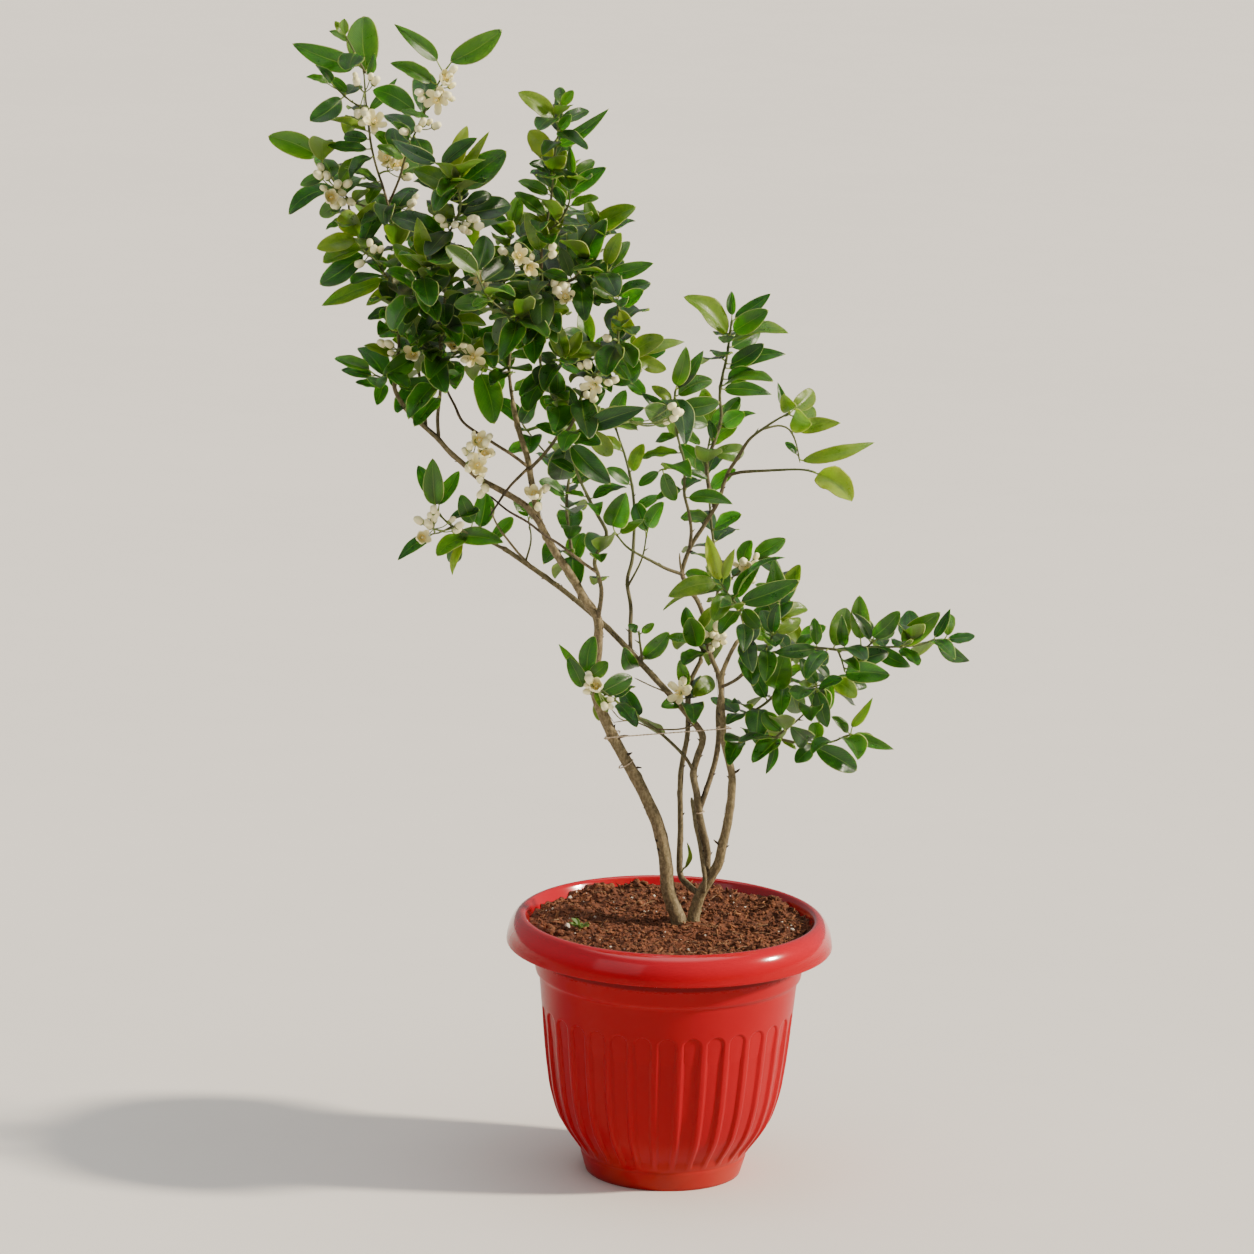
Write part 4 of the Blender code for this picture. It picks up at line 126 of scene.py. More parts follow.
SHOOTS = read_growth("""
left_upright_shoot 3.5 1.7 0.7
| -262 -17 733, -261 -8 754, -260 2 774, -264 14 800, -268 24 830, -266 30 866, -271 32 890, -272 32 907
| -262 -10 749, -270 -24 740, -281 -36 742
| -266 21 820, -280 6 844, -296 -6 858
> -301 866 -34 -10 18 6, -289 856 -44 -32 19 6, -285 861 -45 -17 14 4, -274 830 -58 -25 14 5
> -265 827 -26 -21 10 7, -264 826 21 -7 13 8, -265 805 -25 -11 12 6, -262 803 30 -27 20 8
> -285 747 -32 9 10 4, -283 741 -28 5 8 5, -273 742 25 17 20 9, -274 731 -24 4 6 4, -272 734 -5 -20 12 8
> -298 869 -19 21 20 9, -262 760 -30 9 11 4, -265 816 21 -17 13 5
crown_tip_left_shoot 2.5 1.5 0.15
| -271.5 32 893, -278 40 914, -285 42 934, -290 46 953, -293 50 972, -296 54 994, -298 56 1016, -299 56 1026
| -295 52 986, -310 46 994, -324 42 1006
| -297 54 1020, -309 52 1042, -317 52 1056
> -317 1051 -8 15 8 7, -313 1046 -18 12 5 5, -318 1052 3 14 4 6, -307 1025 -56 19 20 8
> -296 1022 -5 52 30 10, -294 1018 5 20 8 8, -330 1009 -20 5 6 5, -327 1010 -14 14 6 7
> -318 995 -27 -22 19 9, -313 1002 -17 13 9 6, -292 984 24 33 9 8, -288 966 18 -16 10 6
> -293 959 -23 3 13 7, -295 966 -34 10 6 3, -294 950 -36 2 8 4, -284 920 -30 12 12 3, -280 914 -24 3 9 2
crown_tip_right_shoot 2.5 1.5 0.2
| -272 32 902, -263 22 924, -258 14 942, -251 6 960, -242 -2 980, -235 -8 996, -226 -14 1014, -224 -15 1019
> -230 1029 -39 31 14 7, -218 1028 45 31 21 8, -235 1010 -37 15 13 6, -250 984 -39 19 17 8
> -237 979 -25 3 9 3, -253 956 -16 18 8 6, -256 942 -27 8 11 5, -262 926 20 9 10 6
crown_left_shoot 2.5 1.5 0.6
| -268.5 30.5 874, -285 32 893, -308 46 903, -322 52 918, -333 58 934, -338 62 945
| -310 47 904, -308 36 886, -304 28 876
> -338 943 -46 17 22 9, -336 942 10 17 9 7, -330 926 -25 -10 10 7, -324 914 -41 -25 12 4
> -318 920 16 22 15 6, -314 904 -22 -16 15 8, -302 879 18 23 12 8, -292 900 10 20 10 5, -306 884 -24 -8 13 4
inner_left_shoot 3.5 1.7 1
| -221.5 -26 685, -223 -20 706, -221 -22 730, -222 -26 760, -220 -32 790, -218 -40 815, -219 -50 852
+ -216 -58 869, -209 -64 884, -205 -68 898, -209 -72 916, -216 -74 930
| -221 -25 752, -234 -36 768, -246 -46 776
> -209 912 44 34 26 9, -210 908 -38 20 20 7, -212 900 -36 18 10 3, -222 932 31 25 12 5, -212 930 11 39 14 8
> -206 922 26 41 9 6, -228 934 -40 21 12 6, -216 926 3 16 10 7, -200 898 22 10 13 7, -202 889 41 11 16 7
> -210 887 -24 9 16 6, -218 866 -50 20 15 4, -220 822 -26 2 16 9, -220 796 -16 12 12 5, -219 789 16 42 17 9
> -219 786 39 4 11 3, -223 736 -36 -4 10 4, -223 746 21 -5 10 3, -218 844 28 2 14 4, -222 774 28 -2 12 4
> -242 776 -18 20 12 6, -220 834 -28 14 15 5
crown_middle_shoot 3.5 1.7 1
| -155 15 715, -159 28 736, -161 40 756, -160 50 776, -164 60 800, -168 70 826, -166 80 854, -162 88 884
| -160 36 749, -172 30 748, -186 22 754
| -163 57 793, -178 54 808, -194 50 822
> -186 746 14 -46 26 9, -165 745 -19 -19 16 7, -156 772 -40 -3 18 6, -164 810 36 16 16 5
> -168 824 -36 -12 18 6, -192 824 -12 32 18 7, -168 840 -26 29 17 7, -166 858 28 18 18 7
> -164 876 -24 20 16 7, -162 884 6 30 15 9, -159 730 19 12 10 5, -162 794 26 -10 15 5
> -184 809 -24 -13 15 6, -188 756 -18 8 13 4
middle_upright_shoot 3.5 1.7 1
| -139.5 -5 659, -126 -19 674, -114 -26 692, -111 -32 710, -120 -36 729, -130 -40 750, -132 -46 774
+ -133 -52 796, -130 -58 820, -133 -64 846
| -128 -39 745, -116 -50 754, -109 -58 762
> -109 763 -16 49 16 8, -107 764 12 23 12 8, -106 761 32 12 11 5, -111 763 -13 14 8 6, -115 752 -3 -28 15 9
> -132 780 -18 10 12 5, -131 824 -43 -5 16 6, -131 828 -31 6 10 2, -132 804 26 2 16 5, -115 712 -15 15 15 8
> -116 693 -13 6 12 4, -131 762 -27 2 12 4, -132 840 24 -8 13 5
top_middle_shoot 2.5 1.5 0.7
| -132 -63 842, -132 -66 862, -128 -70 884, -124 -74 912, -123 -78 938, -120 -80 960, -121 -82 980
+ -119 -82 989
| -129 -68 876, -119 -74 882, -109 -80 900, -107 -84 924
> -123 974 -33 24 15 6, -120 989 0 16 11 8, -118 986 11 15 10 7, -120 964 11 16 10 8, -119 970 26 15 8 5
> -119 950 44 36 12 8, -124 938 -22 28 19 9, -125 926 -20 9 12 5, -126 908 -29 12 13 5, -121 924 9 24 12 6
> -107 927 -2 25 8 7, -106 927 19 13 12 7, -107 911 31 22 14 7, -112 894 -10 22 10 9, -131 862 7 44 23 10
> -133 856 -13 36 20 9, -128 888 -30 22 13 4, -110 898 28 8 12 4
crown_right_shoot 3 1.7 1
| -131 -60 829, -118 -50 828, -104 -38 834, -94 -26 848, -86 -14 866, -82 -6 882
| -102 -36 836, -86 -44 836, -70 -50 842
> -85 882 36 20 19 7, -82 878 33 12 13 3, -97 846 22 44 21 9, -102 842 0 44 18 8, -88 866 -26 18 9 5
> -74 848 12 29 14 8, -70 846 16 24 11 7, -106 836 -10 26 12 7, -92 839 34 13 13 4, -70 839 38 11 14 8
> -90 834 10 -24 12 6, -84 884 -12 28 12 7
mid_right_shoot 3 1.7 1
| -116 -25 689, -104 -32 698, -97 -38 714, -93 -44 730, -83 -50 746, -72 -54 758, -64 -56 769, -62 -58 786
+ -62 -60 804, -64 -60 816
| -70 -55 761, -60 -46 763, -46 -38 766
> -55 765 34 19 17 8, -44 769 42 11 10 5, -46 764 28 -10 13 7, -60 761 20 -10 12 4, -63 820 29 12 13 6
> -60 814 20 10 10 7, -65 820 -23 10 14 9, -65 814 -25 2 13 4, -60 810 14 -26 12 8, -64 782 -2 20 10 8
> -95 726 23 8 12 5, -98 714 -12 22 12 7
round_leaf_shoot 4.7 1.9 0.5
| -74 -5 520, -71 -18 546, -74 -24 562, -78 -30 576, -71 -36 594, -68 -40 604, -78 -46 622, -87 -52 639
+ -95 -58 656, -100 -62 672, -104 -66 686, -96 -70 696, -88 -72 699
> -105 684 40 -36 20 7, -106 682 -6 -32 28 10, -102 688 28 -4 18 5, -108 692 -26 8 12 5, -86 700 50 19 18 8
> -85 696 20 -22 17 9, -84 701 42 -3 12 5, -85 636 -22 2 6 3, -84 634 34 11 8 4, -94 658 -26 10 8 5
slender_shoot 4.2 1.9 0
| -43 29 491, -44 42 510, -44 52 532, -48 62 556, -44 70 576, -43 78 598, -43 86 620, -46 94 646
+ -52 100 670, -59 104 690, -64 106 704
| -47 60 552, -35 62 578, -31 64 604
> -46 660 10 26 13 6, -62 700 -24 16 15 6, -65 706 11 30 15 7, -64 702 28 6 13 4, -45 646 -25 16 14 5
> -32 604 -10 26 16 8, -30 608 14 24 15 7, -44 624 24 14 12 5, -54 678 -22 12 12 5
low_left_shoot 3.5 1.7 0.2
| 18 9.5 380, 11 5 392, 3 4 401, -15 5 417, -32 1 429, -48 -9 440, -60 -20 450, -72 -30 458, -83 -36 464
> -86 459 -14 28 14 7, -82 472 5 35 17 8, -79 469 16 14 14 8, -69 454 28 15 18 9, -86 470 -23 28 6 4
> -74 454 12 -18 9 7
arching_tip_shoot 3.5 1.7 0
| -158 41.5 582, -174 38 590, -189 32 596, -204 26 602, -213 24 607, -224 24 618
| -209 25 604, -220 20 598, -230 16 596
| -142 39.5 571, -137 34 593, -140 30 614
> -225 624 -3 43 19 9, -226 628 -16 32 13 6, -222 624 18 32 12 4, -184 604 4 32 20 10, -190 608 -12 26 15 6
> -206 595 44 -5 16 7, -226 594 -32 -23 11 7, -204 590 -6 -21 14 8, -200 588 -8 -30 8 5
> -140 616 -14 14 8 6, -139 616 11 16 8 6, -212 610 28 10 16 3, -174 592 20 22 12 5, -196 594 -26 -18 12 5
stem_sprig 3.5 1.7 0
| -33 28.5 479, -33 20 488, -35 14 502, -36 12 512
> -32 484 24 27 16 8, -32 483 18 11 11 6, -37 509 -9 9 8 7, -34 508 12 11 8 7, -39 476 -11 20 15 9
rear_top_shoot 3.5 1.7 0.4
| 11 41 442, 9 30 452, 8 22 456
| 10 34 449, 19 24 450
> 6 448 -20 -8 14 8, 16 451 19 14 17 8, 9 460 -7 25 12 8
rear_crown_shoot 3.5 1.7 0.3
| 21 49 483, 26 62 506, 34 76 534, 36 88 566, 30 100 600, 26 110 634, 22 118 668, 26 124 700
| 35 82 550, 54 94 566, 70 104 580
> 36 542 24 -12 16 5, 32 554 -26 12 16 5, 30 606 26 16 17 5, 29 616 -29 2 16 5, 24 644 26 20 17 5
> 23 660 -27 26 16 6, 24 686 26 20 16 6, 26 704 -8 36 17 7, 27 704 25 24 16 7, 70 582 28 18 16 6
> 72 580 22 -18 15 5, 56 570 10 28 15 6
centre_cluster_shoot 3.5 1.7 0.4
| 30 27.5 492, 24 16 494, 18 8 502, 16 6 512
> 17 498 -8 28 20 9, 22 498 10 28 17 9, 14 512 -8 24 14 7, 14 504 -24 2 11 5, 18 514 12 22 10 6
right_inner_shoot 2.5 1.5 0.5
| 69 -29 485, 63 -36 506, 57 -42 526, 53 -46 538, 44 -50 549, 36 -54 560
> 32 560 -43 -14 17 8, 38 554 -53 -22 10 2, 35 563 -12 41 14 9, 39 564 9 28 9 8, 43 550 -13 -25 18 8
> 56 542 52 22 19 8, 58 536 15 -17 14 8, 50 546 22 32 14 7, 52 550 42 35 8 2
right_spray 3.5 1.7 0.3
| 41 0 461, 55 -16 470, 70 -30 486, 82 -38 495, 110 -50 500, 130 -56 502, 148 -60 501, 165 -60 504
+ 194 -56 505, 216 -52 507, 230 -50 512, 242 -48 513
| 75 -33 490, 82 -48 506, 85 -56 514
| 170 -59 504, 176 -68 511
| 144 -59 501, 148 -70 490, 150 -76 482
> 84 514 5 29 12 9, 82 514 -6 21 11 8, 88 516 22 13 11 7, 125 503 -3 27 11 8, 127 502 -41 -5 13 7
> 140 504 11 36 20 8, 150 503 -4 31 11 8, 164 512 -2 40 18 8, 175 510 -21 27 10 6, 175 514 23 25 16 8
> 178 511 16 11 12 5, 200 508 35 31 20 9, 230 514 15 28 9 6, 243 517 4 19 8 7, 244 514 24 3 8 5
> 231 509 34 -16 13 8, 175 501 35 -14 14 7, 152 484 38 16 17 8, 151 480 40 0 20 8, 104 501 18 13 10 4
right_mid_shoot 3.5 1.7 0.5
| 43 -3 431, 54 8 434, 66 18 436, 80 28 444, 90 34 454, 96 38 468, 104 44 484, 114 52 498
| 88 33 452, 108 36 456, 126 38 462, 142 38 468
> 90 460 8 36 24 9, 82 450 -14 26 16 7, 92 464 -20 21 9 6, 98 463 -2 -29 18 8, 103 463 10 -28 20 8
> 97 470 21 10 14 5, 66 435 26 -20 12 7, 145 468 20 -14 17 8, 146 470 30 -7 12 6, 140 472 -14 13 9 6
> 142 465 -2 -25 12 8, 136 463 30 -18 11 4, 114 500 22 20 16 6, 112 502 -16 24 15 6, 108 494 28 -4 14 4
right_low_shoot 3.5 1.7 0.35
| 48.5 -5 403, 65 -18 413, 80 -28 417, 92 -34 416, 108 -40 413, 125 -46 412, 142 -52 415, 152 -56 420
+ 160 -59 423
| 90 -33 416, 102 -32 426, 112 -32 435, 124 -34 450, 127 -38 468
> 126 469 -16 23 13 7, 127 467 11 -40 15 9, 159 430 18 28 8 5, 158 425 -18 14 9 5, 162 423 36 -13 11 7
> 154 419 35 -10 7 3, 129 415 -3 17 15 8, 120 414 -17 16 19 9, 96 423 -16 16 16 7, 91 412 -8 -30 9 7
> 94 414 16 -8 7 4, 124 410 -15 -15 15 8, 128 409 38 -21 20 8, 126 460 24 14 12 4
round_leaf_twig 3.5 1.7 0
| 3.5 20 565, -12 10 570, -26 2 577, -48 -8 589, -61 -16 604
> -63 609 12 32 23 10, -58 602 24 14 8 4
centre_right_shoot 3.5 1.7 0.4
| 8 19 589, 9 8 606, 6 0 624, 1.5 -8 642, 1 -16 668, -3.5 -22 684, -8 -28 702, -10 -32 724, -9 -34 738
| 1 -14 662, -12 -26 664, -22 -34 662
> -8.5 740 7.5 36 15 9, -7 738 22 35 12 8, -12 726 -19 13 9 7, -14 716 -26 16 9 5, -13 706 -24 12 18 8
> -10 730 34 16 16 7, -9 718 40 8 18 7, -6 714 27 -9 16 7, -4 702 18 -16 12 5, -5 678 -33 -6 11 3
> -22 660 -18 -13 11 5, -18 659 12 -25 14 7, 4 638 42 -6 12 6, 3 662 19 -7 10 4, -6 694 -20 -6 12 5
> 1 646 -25 -12 14 4
right_tall_shoot 4.2 1.9 0.4
| 30 21.5 628, 24 34 648, 22 44 670, 29 52 692, 34 58 712, 32 62 732, 34 64 752, 37 66 766, 39 66 784
+ 41 66 805
> 39 789 -43 34 20 5, 41 808 -1 22 9 8, 44 805 32 24 12 7, 43 793 31 20 19 8, 42 778 26 17 18 9
> 42 784 51 8 9 3, 42 762 29 20 16 8, 40 758 52 15 13 6, 39 748 27 6 15 8, 34 739 46 -4 13 7
> 35 742 44 4 11 3, 36 708 15 24 11 8, 36 706 18 12 17 8, 32 702 34 15 8 4, 26 678 30 5 17 8
> 26 690 -4 20 9 7
right_far_shoot 3.5 1.7 0.1
| 50 21 676, 59 12 692, 73 6 704, 86 0 713, 96 -4 718
| 70 7 702, 86 14 706, 96 16 702, 102 14 690, 106 10 672
> 95 720 -7 15 15 9, 98 721 18 19 17 8, 94 720 -11 26 8 6, 98 715 16 -7 22 9, 99 702 17 24 20 8
> 103 703 39 7 14 8, 104 678 -12 13 7 6, 109 674 65 19 13 7
bare_twig_shoot 3.5 1.7 0
| 40 23.5 658, 53 14 662, 75 2 664, 104 -14 666, 120 -22 664
> 122 663 30 -25 26 7
back_left_shoot 3.5 1.7 1
| -233 -25 694, -236 -6 714, -240 18 734, -244 44 754, -246 68 776, -242 88 804, -236 102 834, -232 112 862
| -243 40 751, -218 62 760, -196 80 774
> -240 758 -28 18 17 5, -248 784 -34 -4 17 5, -244 804 30 10 17 5, -240 820 -28 20 16 6
> -234 846 28 12 16 6, -234 854 -24 18 16 6, -232 866 2 34 16 8, -196 776 26 16 16 6, -196 774 14 -26 15 6
> -210 764 -8 28 16 6, -216 760 -10 -28 14 5, -194 780 -8 28 15 7
back_middle_shoot 3.5 1.7 0.6
| -90 33 534, -96 54 564, -102 76 596, -106 94 630, -102 108 666, -94 120 704, -88 128 742, -88 132 776
| -103 102 652, -128 114 676, -150 124 702
| -90 125 726, -66 120 744, -44 114 760
> -106 634 -26 14 16 5, -104 646 28 14 16 5, -98 690 -26 22 17 6, -89 748 -27 18 17 6, -88 766 24 22 16 6
> -89 776 -9 36 17 8, -87 774 -29 14 15 6, -150 704 -26 20 16 6, -150 702 14 28 15 6, -134 684 -28 -8 15 5
> -44 762 26 12 15 6, -46 760 -6 30 15 7, -58 750 22 -18 14 5
back_top_shoot 2.5 1.5 1
| -167 75 840, -150 92 860, -132 106 882, -116 116 908
| -144 97 868, -120 94 860, -98 90 864
> -136 878 -26 20 16 6, -128 890 26 12 16 5, -116 910 -12 30 16 7, -114 912 22 24 15 6, -98 866 24 16 15 6
> -100 864 6 -26 14 6, -124 860 -6 -28 15 5
front_left_shoot 2.5 1.5 1
| -263 10 792, -252 -16 800, -244 -42 810, -238 -66 826, -234 -84 846
> -244 812 32 22 22 9, -242 820 -28 16 16 5, -236 836 -28 24 16 6, -235 848 21 24 16 7, -234 850 -8 34 15 8
> -240 816 -12 -28 15 6
front_middle_shoot 2.5 1.5 1
| -132.5 -49 786, -144 -72 792, -160 -92 800, -178 -106 814, -188 -116 834
> -154 798 26 18 15 6, -164 802 -6 -30 16 6, -174 812 -34 -6 17 6, -184 826 24 24 16 7
> -188 836 -28 22 16 6, -187 838 5 32 15 9
back_right_shoot 2.5 1.5 0.6
| 101 41.5 478, 99 52 484, 96 64 498, 92 80 520, 94 96 546
> 94 506 -30 4 16 5, 92 524 28 10 16 5, 93 540 -23 16 15 6, 94 548 18 28 16 7, 93 550 -7 32 15 7
""")

FLOWERS = read_growth("""
tip_left_buds crown_tip_left_shoot
> -304 1010 0, -288 1011 0, -295 980 0, -303 984 0, -288 974 10
tip_right_buds crown_tip_right_shoot
> -223 1010 10, -216 1019 0, -222 998 0, -244 999 0, -229 993 10, -231 970 0, -257 964 0, -246 967 0
upper_left_blossom crown_tip_left_shoot
> -275 940 10, -266 934 10, -258 925 0, -253 900 0
left_edge_flowers crown_left_shoot
> -336 924 0, -312 917 0, -326 905 10, -320 916 0, -316 902 0
inner_left_buds inner_left_shoot
> -221 883 0, -203 876 0, -190 878 0, -196 884 0
crown_blossom middle_upright_shoot
> -143 843 10, -152 852 10, -165 855 0, -172 843 0, -185 831 10, -123 860 0, -114 825 0, -110 816 10
> -119 822 0
mid_right_buds mid_right_shoot
> -71 780 0, -88 755 0, -82 738 10, -83 725 0, -65 743 0
branch_blossom left_branch
> -187 684 10, -181 671 10, -191 669 0, -183 648 0, -179 642 0, -193 678 0, -186 661 10, -179 681 0
> -193 660 0
trunk_blossom left_trunk
> -133 635 10, -125 641 0, -130 626 0
low_tip_buds arching_tip_shoot
> -226 618 0, -238 608 0, -236 593 10, -229 604 0, -203 605 0
low_left_buds low_left_shoot
> -73 459 10, -79 465 0, -66 443 0
fork_buds fork_stem
> 35 516 0, 34 502 0, 31 509 0, 39 508 0
stem_blossom rear_top_shoot
> 3 454 10, 6 464 0
right_blossom rear_crown_shoot
> 64 569 10, 69 575 0, 59 576 0
left_upright_shoot left_upright_shoot
> -295 844 0, -284 856 0, -264 837 0, -251 837 0, -246 762 10, -267 770 0
crown_middle_shoot crown_middle_shoot
> -210 772 10, -202 772 0, -193 761 10
round_leaf_shoot round_leaf_shoot
> -9 715 0, -12 709 0
""")


# --- sizes ---
LIMB_STEP = 0.003           # between two rings of a stem
TWIG_STEP = 0.004
CURVE_STEPS = 10            # of a smooth path between two given points
STEM_SIDES = 14
TWIG_SIDES = 8
SIDE_TWIG_THICK = (2.2, 1.3)
ROOT_FLARE = 0.14           # widening of a stem at the soil, as part of its radius
FLARE_HEIGHT = 0.012
BARK_RIDGES = 0.07          # height of the bark's shallow ridges, as part of the radius
RIDGE_RATE = 90.0           # how quickly the ridges change along a limb, and how many go round it
RIDGE_REACH = 2.1
TWIG_RIDGES = 0.08
KNOT_SPACING = 0.030        # between two knuckles of a limb
KNOT_HEIGHT = 0.22          # as part of the limb's radius
LIMB_END = 0.45             # radius of a limb's last ring, as part of the one before, and of a twig's
TWIG_END = 0.4
KNUCKLE_REACH = 0.005       # from a leaf's root to the twig's knuckle for it
KNUCKLE_HEIGHT = 0.30       # as part of the twig's radius
KNUCKLE_SPREAD = 0.0022
THORN_TAPER = (2000.0, 300.0)   # thickness in mm at both ends of a thorn, for each metre of its radius
THORN_RINGS = 4
THORN_SIDES = 6
THORNS = {                  # spacing, length, radius for each metre of length, spread round the limb and tint
    "trunk": (0.014, 0.0026, 0.36, 0.8, -1.0),
    "stem": (0.018, 0.0026, 0.36, 0.8, -1.0),
    "twig": (0.055, 0.0050, 0.16, math.pi, 0.75),
}
BARK_TINTS = {              # at both ends of a limb, and of the dry twigs on it
    "trunk": ((0.0, 0.18), (-0.3, -0.8)),
    "stem": ((0.0, 0.3), (0.1, 0.2)),
}

BLADE_PROPORTION = 2.1      # length over width of a full leaf
MAX_REACH = 6.4             # cm, from heel to tip
LEAST_DEPTH = 0.2           # run in depth of every leaf, as part of its run in the elevation
HEEL_DEPTH = 0.15           # part of a leaf's run in depth that its stalk takes
SHORTEST_STALK = 0.0035
LAST_ROOT = 0.8             # part of a twig's last stretch that can still root a stalk
SOLID_LEAF_WIDTH = 1.1      # cm, from which a leaf has a solid of its own in the CAD model
DEPTH_TRIES = (0.0, 0.9, -0.9, 1.8, -1.8, 2.8, -2.8, 3.8, -3.8)     # cm
CROWN_DEPTH = 0.150         # furthest that a leaf reaches to the front or the back
LEAF_CLEARANCE = 0.007      # wanted between the middles of two leaves
SHIFT_COST = 0.12           # for each cm of shift in depth
OUTSIDE_COST = 400.0        # for each metre beyond the crown's depth
COVERING_COST = 2.5         # of standing in front of a flower
COVERING_REACH = 0.010
COVERING_DEPTH = 0.004
LISTED_LEAF_REACH = 0.5           # cm, within which a leaf is the one that a listed middle means
# Leaves that are younger, and leaves whose brightness is a painted glow of light shining through them: (x, z)
# of the leaf's middle in cm, and its tint.
YOUNG_AND_GLOWING_LEAVES = [
    (-13.5, 95.2, 0.80), (-12.8, 88.4, 0.62), (-14.0, 87.4, 0.50), (-20.6, 95.0, 0.80), (-19.3, 94.3, 0.70),
    (-30.8, 88.0, 0.62), (-5.3, 79.7, 0.90), (-6.5, 79.2, 0.75), (13.7, 65.1, 0.88), (2.9, 58.4, 0.95),
    (4.3, 57.8, 0.70), (10.7, 73.0, 0.62), (9.2, 72.8, 0.60), (12.3, 70.7, 0.60), (10.8, 71.4, 0.55),
    (4.1, 68.1, 0.45), (-14.0, 98.6, 0.60), (-20.4, 57.3, 0.75), (-12.7, 84.6, 0.45), (-20.2, 84.7, 0.42),
    (-4.1, 67.3, 0.50), (-3.8, 77.5, 0.55), (-4.9, 77.5, 0.50), (-10.1, 77.6, 0.55), (-9.6, 90.2, 0.40),
    (-11.7, 78.8, 0.50), (-2.5, 71.2, 0.30), (-24.0, 82.0, 0.35),
]
BLADE_ROWS = 13
BLADE_STEPS = np.arange(BLADE_ROWS) / BLADE_ROWS
BLADE_SHARES = 0.5 * (BLADE_STEPS + 0.5 - 0.5 * np.cos(math.pi * BLADE_STEPS))  # of the length, by row
BLADE_TIP_HALF = 0.0009     # least half width, at the heel
VEIN_COUNT = 13.0           # pairs of veins on a blade
# Heights, and which part of the inner leaves grows there: few between the spray on the right and the crown.
INNER_THINNING = ((0.580, 0.620, 0.680, 0.780), (1.0, 0.25, 0.25, 1.0))
BRIGHT_SHARE = 0.24         # part of the leaves that are bright
BLADE_COLUMNS = np.array([-1.0, -0.91, -0.6, -0.3, 0.0, 0.3, 0.6, 0.91, 1.0])
LEAF_RANGES = {             # proportions and curls of a leaf; the point's range is about its middle value
    "shoulder": (0.48, 0.62), "point": (-0.06, 0.06), "twist": (-0.7, 0.7), "bow": (0.0, 0.16),
    "sway": (-0.07, 0.07), "fold": (0.20, 0.62), "cup": (0.0, 0.30), "phase": (0.0, 6.28),
    "waves": (1.4, 2.8), "ripple": (0.03, 0.14),
}
PETAL_FORM = {
    "shoulder": 0.50, "point": 0.34, "bow": -0.16, "fold": 0.10, "cup": -0.42, "waves": 1.2, "ripple": 0.05,
}
STALK_RADIUS = 0.0007
FILLER_TRIES = 6
FILLER_CROWDING = 2.8       # cost from which an inner leaf finds no room

FLOWER_STANDOFF = 0.007     # of a cluster's knuckle in front of its twig
FLOWER_FORWARD = 0.003      # from the knuckle to the flowers
FLOWER_STALK = 0.00055      # radius
BUD_LENGTH = 0.0100
BUD_RADIUS = 0.0034
# In these lists a ring is its place along the part's axis and its radius.
BUD_RINGS = [(0.0, 0.34), (0.07, 0.66), (0.22, 0.92), (0.45, 1.03), (0.68, 1.0), (0.85, 0.78), (0.96, 0.42)]
CALYX_RINGS = [(-0.10, 0.30), (-0.04, 0.58), (0.06, 0.74), (0.15, 0.88)]
RECEPTACLE_RINGS = [(-0.0022, 0.0010), (-0.0008, 0.0020), (0.0006, 0.0016)]
PISTIL_RINGS = [(0.0, 0.0010), (0.0035, 0.0006), (0.0052, 0.0010), (0.0060, 0.0003)]
ANTHER_RINGS = [(-0.0004, 0.0003), (0.0003, 0.0006), (0.0010, 0.0002)]
FILAMENT_RADII = [0.00032, 0.00026, 0.00022]
STAMEN_LENGTH = 0.0052
STAMEN_CIRCLE = 0.0012
PETAL_THICK = 0.0008
PETAL_COUNT = 5
PETAL_LENGTH = 0.0118
PETAL_WIDTH = 0.0068
STAMEN_COUNT = 10
GROUP_REACH = 3.0           # cm, within which flowers share a knuckle
CUPPINGS = (0.6, 1.1, 1.6, 2.2)     # lean of the petals towards the flower's axis
BUDS_BESIDE = (0, 1, 1, 2)  # how many small buds stand beside a flower
PETAL_CREAM = (0.80, 0.70, 0.16)    # at a petal's foot
BLUSH = (0.74, 0.42, 0.34)
CALYX_GREEN = (0.08, 0.14, 0.03)
ANTHER_YELLOW = (0.90, 0.66, 0.16)

POT_COLUMNS_PER_FLUTE = 15
FLUTE_COUNT = 32
FLUTE_SHARE = 0.78          # part of one pitch that the recess takes
FLUTE_TOP = 0.1590          # height of the crown of the arches
FLUTE_ROUND = 0.0080        # height of an arch
FLUTE_FOOT = (0.0225, 0.0300)   # heights between which the recesses fade in
FLUTE_WALL = (0.0215, 0.1605)
UNDER_RIM = (0.1252, 0.1484)    # radii between which the wall below the rim is dull and darkened with painted shade
POLISH_HEIGHTS = (0.2220, 0.2380)   # between which the rim turns glossy, and its colour turns paler with painted sheen
ARCH_MARGIN = 0.004         # below the arches, from where the wall has all of its rows
POT_FOOT = [(0.0664, 0.0005), (0.0672, 0.0), (0.0712, 0.0), (0.0722, 0.0008), (0.0768, 0.0164)]
POT_BOWL = [
    (0.0769, 0.0176), (0.0768, 0.0186), (0.0774, 0.0204), (0.0832, 0.0285), (0.0928, 0.0420),
    (0.1000, 0.0550), (0.1068, 0.0770), (0.1105, 0.0990), (0.1134, 0.1230), (0.1168, 0.1600),
    (0.1195, 0.1876),
]
POT_COLLAR = [(0.1197, 0.1884), (0.1222, 0.1896), (0.1228, 0.1904), (0.1246, 0.2020), (0.1262, 0.2130)]
POT_NECK = [(0.1263, 0.2136), (0.1290, 0.2290), (0.1330, 0.2368)]
POT_UNDER_RIM = [(0.1345, 0.2385), (0.1410, 0.2370), (0.1456, 0.2300), (0.1474, 0.2200), (0.1478, 0.2184)]
POT_HEM = [(0.1480, 0.2178), (0.1483, 0.2174), (0.1496, 0.2172), (0.1501, 0.2176), (0.1503, 0.2184)]
